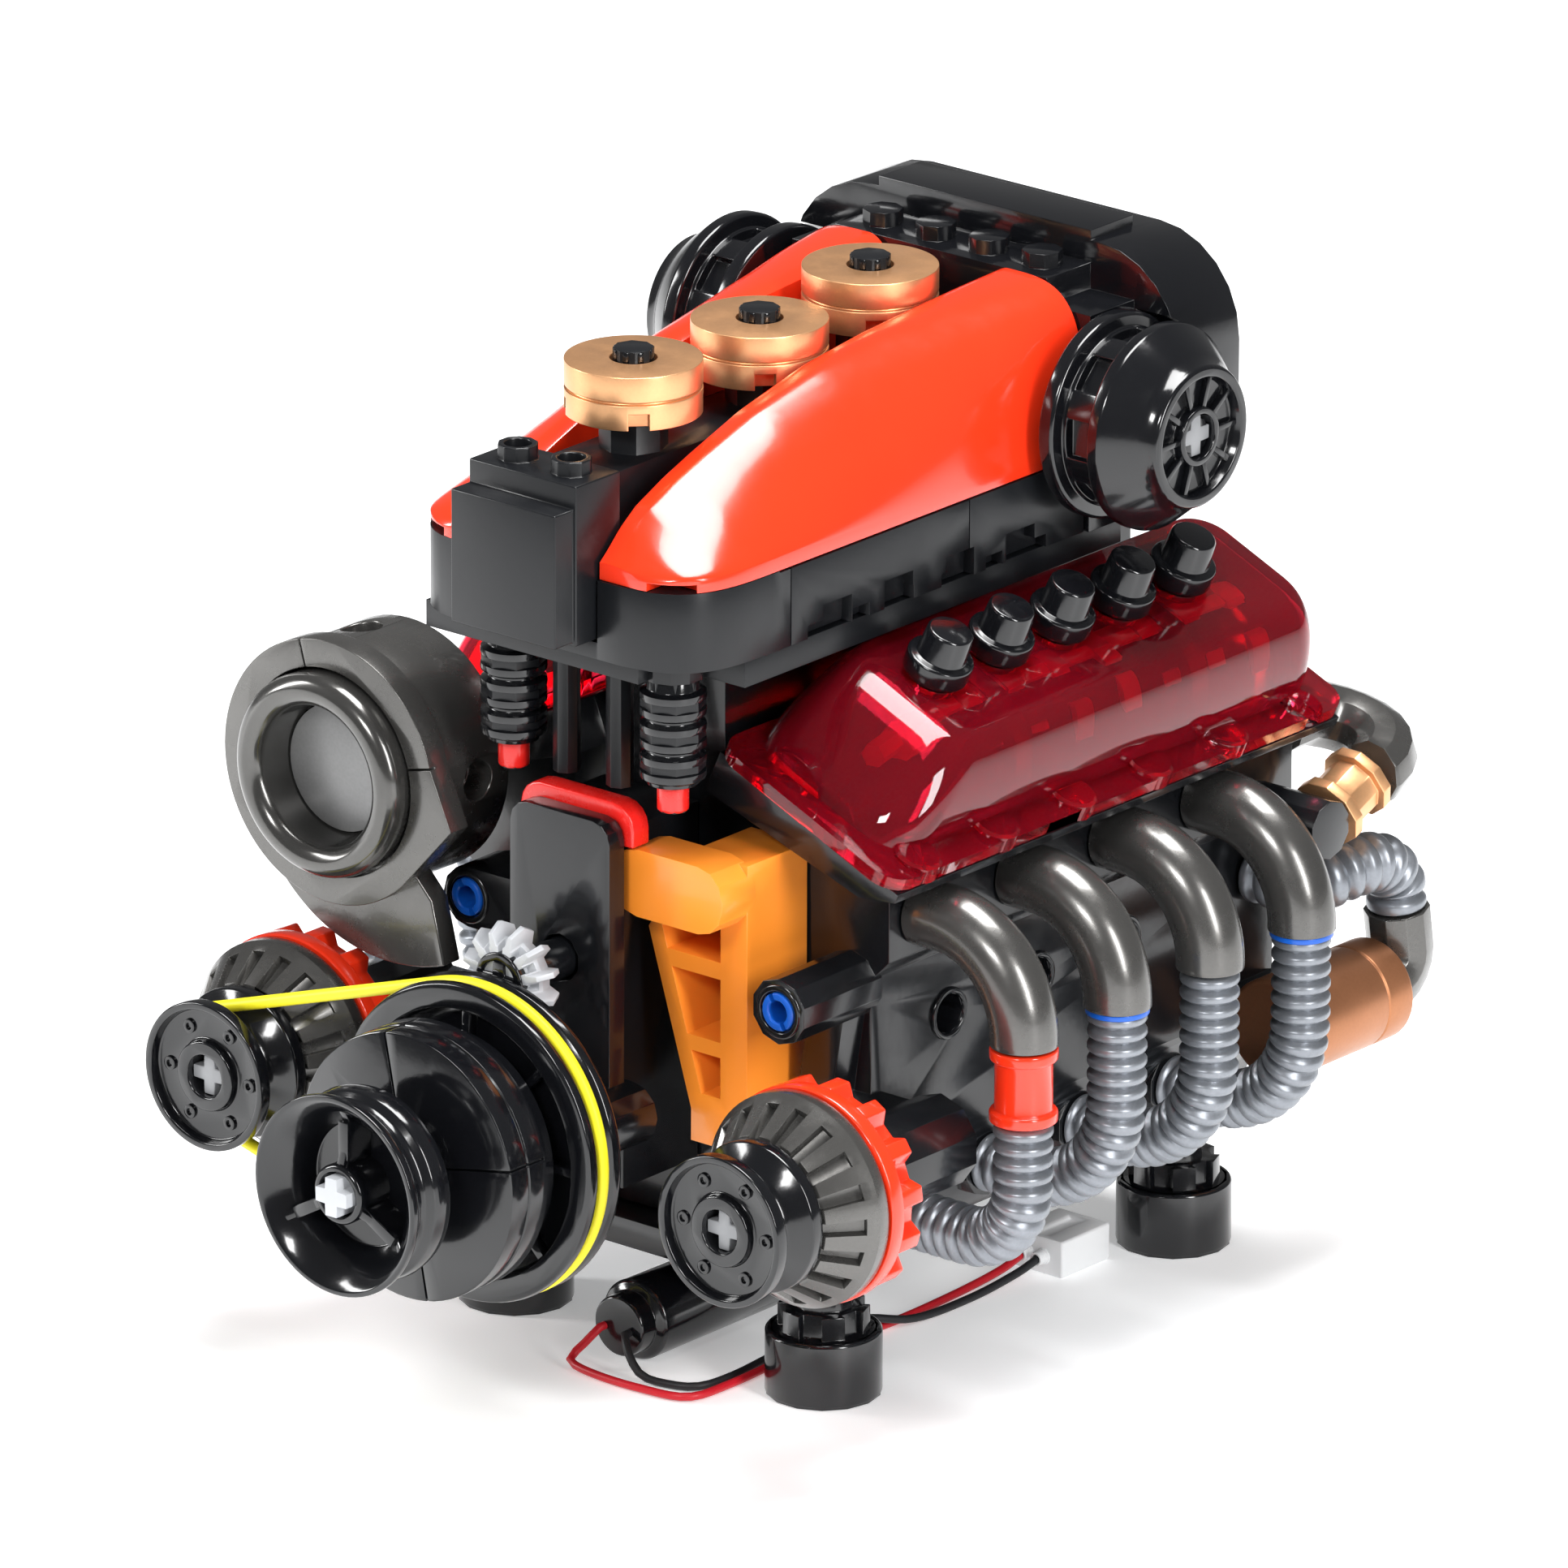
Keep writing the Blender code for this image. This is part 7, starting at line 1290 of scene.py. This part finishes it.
class ValveTrain:
    """The clear covers, the camshafts inside them and the black caps on top."""

    OUTER = Vector((38.5, 66.0))
    INNER = Vector((12.0, 77.4))
    WIDTH = 28.848
    WALL = 1.5
    FLANGE = 1.6
    CREST = 12.3
    ROUNDING = 0.92
    CAPS = 5
    CAP_X = 17.9
    CAP_Y = 0.6
    CAP_PITCH = 11.1
    LUGS = 6
    LUG_PITCH = 14.0

    def __init__(self, bench):
        """Build both banks."""
        for name, side in SIDES:
            bench.refine(f"camshaft_{name}", LIGHT_GREY, f"cam_{name}", bevel=0.12)
            self._cover(bench, name, side)
            self._caps(bench, name, side)

    def _frame(self, side, inward, y, up=0.0):
        """Return the frame on a head: local x inward over it, y to the back, z off it."""
        along = (self.INNER - self.OUTER).normalized()
        off = Vector((along.y, -along.x))
        place = self.OUTER + along * inward + off * up
        return posed((along.x * side, 0, along.y), (0, 1, 0), (off.x * side, 0, off.y),
                     (place.x * side, y, place.y))

    def _ring(self, frame, wall, spread, rake, height):
        """Return one ring of the hump, drawn in by its wall, spread and rake."""
        left = 3.5 + wall + 5.2 * spread
        right = self.WIDTH - 1.2 - wall - 1.6 * spread
        front = -17.5 + wall + 5.2 * spread + 7.0 * rake
        back = 60.8 - wall - 2.0 * spread
        corner = 5.5 - wall - 1.2 * spread
        return [frame @ Vector((x, y, height)) for x, y in rounded(left, right, front, back, corner, 10)]

    def _hump(self, frame, wall, bottom):
        """Return the rings of the hump's outer skin, or of its hollow."""
        height = self.CREST - wall - self.FLANGE
        rings = [self._ring(frame, wall, 0, 0, bottom)]
        for step in range(1, 15):
            angle = math.radians(90 * step / 14)
            rise = math.sin(angle) ** self.ROUNDING
            spread = (1 - math.cos(angle)) ** self.ROUNDING
            rings.append(self._ring(frame, wall, spread, rise, self.FLANGE + height * rise))
        return rings

    def _cover(self, bench, name, side):
        """Build the clear cover: a hollow hump on a flange with bolt lugs."""
        frame = self._frame(side, 0, 0)
        half = self.WIDTH / 2
        cover = Solid().prism(rounded(-half, half, -41.9, 41.9, 3.5), 0.05, self.FLANGE,
                              self._frame(side, half, 20.9))
        cover.add(Solid().loft(self._hump(frame, 0, 0.8)))
        for index in range(self.LUGS):
            place = self._frame(side, 2.6, self.LUG_PITCH * (index - 1))
            cover.add(Solid().lathe([(0, 0.05), (2.9, 0.05), (2.9, 2.0), (2.5, 2.3), (0, 2.3)], place, SMALL))
        arch = self._frame(side, self.WIDTH - 9.0, -17.4)
        bump = arc((0, 0.1), 4.5, 0, 180, 14)
        cover.add(Solid().loft([[arch @ place for place in upright(bump, depth)] for depth in (0, 6.0)]))
        cover.cut(Solid().loft(self._hump(frame, self.WALL, -0.5)))
        for index in range(self.CAPS):
            place = self._frame(side, self.CAP_X, self.CAP_Y + self.CAP_PITCH * index, 9.6)
            cover.cut(Solid().lathe([(0, 0), (3.3, 0), (3.3, 5.0), (0, 5.0)], place, SMALL))
        bench.stand_in(f"valve_cover_{name}", cover.finish(0.2, 2, 36), CLEAR_RED)

    def _caps(self, bench, name, side):
        """Build the black caps, each a flat-topped knob on a collar and stem."""
        cap = Solid().lathe(
            [(0, 0), (3.0, 0), (3.0, 4.3), (3.9, 4.6), (4.0, 5.0), (4.0, 6.9), (3.8, 7.1), (3.0, 7.2),
             (2.75, 10.4), (2.55, 10.7), (0, 10.7)], WORLD, MEDIUM)
        place = self._frame(side, self.CAP_X, self.CAP_Y, 8.3)
        caps = bench.row(cap, self.CAPS, place, (0, self.CAP_PITCH, 0), 0.14)
        bench.stand_in(f"plug_caps_{name}", caps, BLACK)


class Exhaust:
    """The four elbows and ribbed hoses of each side, the coupler and the blue rings."""

    FIRST_Y = -8.3
    PITCH = 17.0
    X = 48.0
    BEND = 12.0
    PIPE_TOP = 59.5
    HOSE_TOP = 46.5
    HOSE_END = 29.3

    def __init__(self, bench):
        """Build both sides."""
        for name, side in SIDES:
            for index in range(4):
                self._pipe(bench, name, side, index)

    def _pipe(self, bench, name, side, index):
        """Build one elbow, its hose and what joins them."""
        y = self.FIRST_Y + self.PITCH * index
        number = index + 1
        bend = arc((self.X - self.BEND, self.PIPE_TOP - self.BEND), self.BEND, 90, 0, 18)
        route = [(32.9, self.PIPE_TOP), (34.4, self.PIPE_TOP), *bend, (self.X, 46.8)]
        pipe = Solid().tube(upright(route, y, side), 4.0, MEDIUM, bore=3.0)
        node = f"elbow_right_{number}" if side > 0 else f"exhaust_left_{number}"
        bench.place(f"elbow_{name}_{number}_visual", pipe.finish(0.15), PEARL, nodes=(node,))
        coupled = node == "elbow_right_1"
        self._hose(bench, name, side, number, coupled)
        if coupled:
            self._coupler(bench, y)
        if node in ("elbow_right_2", "elbow_right_4"):
            ring = Solid().lathe([(2.6, 46.1), (3.75, 46.1), (3.75, 46.75), (2.6, 46.75)],
                                 Frames.up(self.X, y, 0), MEDIUM, closed=True)
            bench.place(f"blue_ring_{number}", ring.finish(0.08), BLUE, slotted=False)

    def _hose(self, bench, name, side, number, coupled):
        """Build one ribbed hose from the pipe, or from its coupler, round into the block."""
        top, low, radius = (37.3, 21.5, 8.0) if coupled else (self.HOSE_TOP, 23.0, 12.5)
        bend = arc((self.X - radius, low + radius), radius, -6, -90, 14)
        route = [(self.X, top), (self.X, low + radius), *bend, (self.HOSE_END, low)]
        hose = ribbed(upright(route, self.FIRST_Y + self.PITCH * (number - 1), side), 3.5, 1.8)
        nodes = (f"hose_right_{number}",) if side > 0 else ()
        bench.place(f"hose_{name}_{number}_visual", hose.finish(0), SILVER, nodes=nodes)

    def _coupler(self, bench, y):
        """Build the red coupler with a collar at each end."""
        coupler = Solid().lathe(
            [(2.0, 37.6), (3.9, 37.6), (4.0, 37.8), (4.0, 38.8), (3.8, 39.0), (3.4, 39.1), (3.4, 45.0),
             (3.8, 45.1), (4.0, 45.3), (4.0, 46.3), (3.9, 46.5), (2.0, 46.5)], Frames.up(self.X, y, 0),
            MEDIUM, closed=True)
        bench.stand_in("hose_coupler", coupler.finish(0.12), RED_ORANGE)


def ribbed(route, radius, pitch):
    """Return a hose whose ribs follow one another at a pitch along a route."""
    steps = 8
    points = spaced(route, pitch / steps)
    shares = []
    for index in range(len(points)):
        wave = 0.5 - 0.5 * math.cos(math.tau * (index % steps) / steps)
        shares.append(0.80 + 0.20 * min(1.0, 1.35 * wave ** 0.7))
    return Solid().tube(points, radius, MEDIUM, shares, bore=1.9)


class RearPipes:
    """The bent pipe over the back, its gold coupler, the hose, lower pipe and canister."""

    HOSE = ((30.3, 56.0, 46.2), (34.5, 56.0, 46.0), (38.2, 57.8, 46.2), (39.8, 62.2, 47.0),
            (40.0, 66.8, 46.6), (40.0, 70.2, 43.8), (40.0, 70.8, 40.3))

    def __init__(self, bench):
        """Build the run from the block to the canister."""
        for node, finish in (("rear_pipe_upper", PEARL), ("rear_pipe_lower", PEARL), ("rear_coupler", GOLD)):
            bench.refine(node, finish, bevel=0.12)
        bench.stand_in("rear_hose", ribbed(smooth_route(self.HOSE, 8), 3.6, 2.2).finish(0), SILVER)
        can = Solid().lathe(
            [(0, 0), (5.7, 0), (6.2, 0.5), (6.2, 4.6), (5.95, 4.8), (6.2, 5.0), (6.2, 19.5), (5.7, 20.0),
             (0, 20.0)], Frames.front(40.0, 66.8, 31.0), MEDIUM)
        bench.stand_in("rear_canister", can.finish(0.15), COPPER)


class Block:
    """The engine block with its rimmed pin holes."""

    HOLES = 4
    PITCH = 16.0

    def __init__(self, bench):
        """Refine the block and line its side pin holes."""
        bench.refine("engine_block", TECH_BLACK, bevel=0.35, segments=3, angle=34)
        for name, side in SIDES:
            rim = Solid().lathe([(2.4, -4.0), (3.15, -4.0), (3.15, 0.2), (3.0, 0.35), (2.6, 0.35),
                                 (2.4, 0.1)], WORLD, MEDIUM, closed=True)
            frame = Frames.side(side * 30.0, 0.0, 44.0, side)
            rims = bench.row(rim, self.HOLES, frame, (self.PITCH * side, 0, 0), 0.1)
            bench.place(f"pin_hole_rims_{name}", rims, TECH_BLACK)


class Stands:
    """The front and rear stands with their cups, and the motor."""

    FOOT_X = 23.5

    def __init__(self, bench):
        """Build both stands and the motor."""
        for node, y in (("front_stand", -14.5), ("rear_stand", 50.0)):
            bench.refine(node, BLACK, bevel=0.3)
            cup = Solid().lathe(
                [(6.1, 0.05), (6.85, 0.35), (6.85, 7.7), (6.6, 8.0), (5.9, 8.0), (5.8, 7.0), (5.0, 6.8)],
                WORLD)
            cups = bench.row(cup, 2, Frames.up(-self.FOOT_X, y, 0), (2 * self.FOOT_X, 0, 0), 0.1)
            bench.place(f"{node}_cups", cups, BLACK)
        motor = Solid().lathe(
            [(0, -0.3), (3.5, -0.3), (3.7, 0), (3.7, 2.2), (4.6, 2.5), (4.9, 2.9), (4.9, 24.6), (4.5, 25.4),
             (0, 25.4)], Frames.of((0.5, -23.9, 4.95), (1, 0, 0), (0, 1, 0)), MEDIUM)
        bench.stand_in("motor", motor.finish(0.15), BLACK)


def main():
    """Build the whole picture."""
    logging.basicConfig(level=logging.INFO, format="%(asctime)s %(message)s")
    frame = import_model()
    bench = Bench(frame)
    for assembly in (Studio, Wires, SideWheels, CrankTrain, DriveBelt, TimingGears, FrontCover, Turbo, Intake,
                     ValveTrain, Exhaust, RearPipes, Block, Stands):
        assembly(bench)


if __name__ == "__main__":
    main()
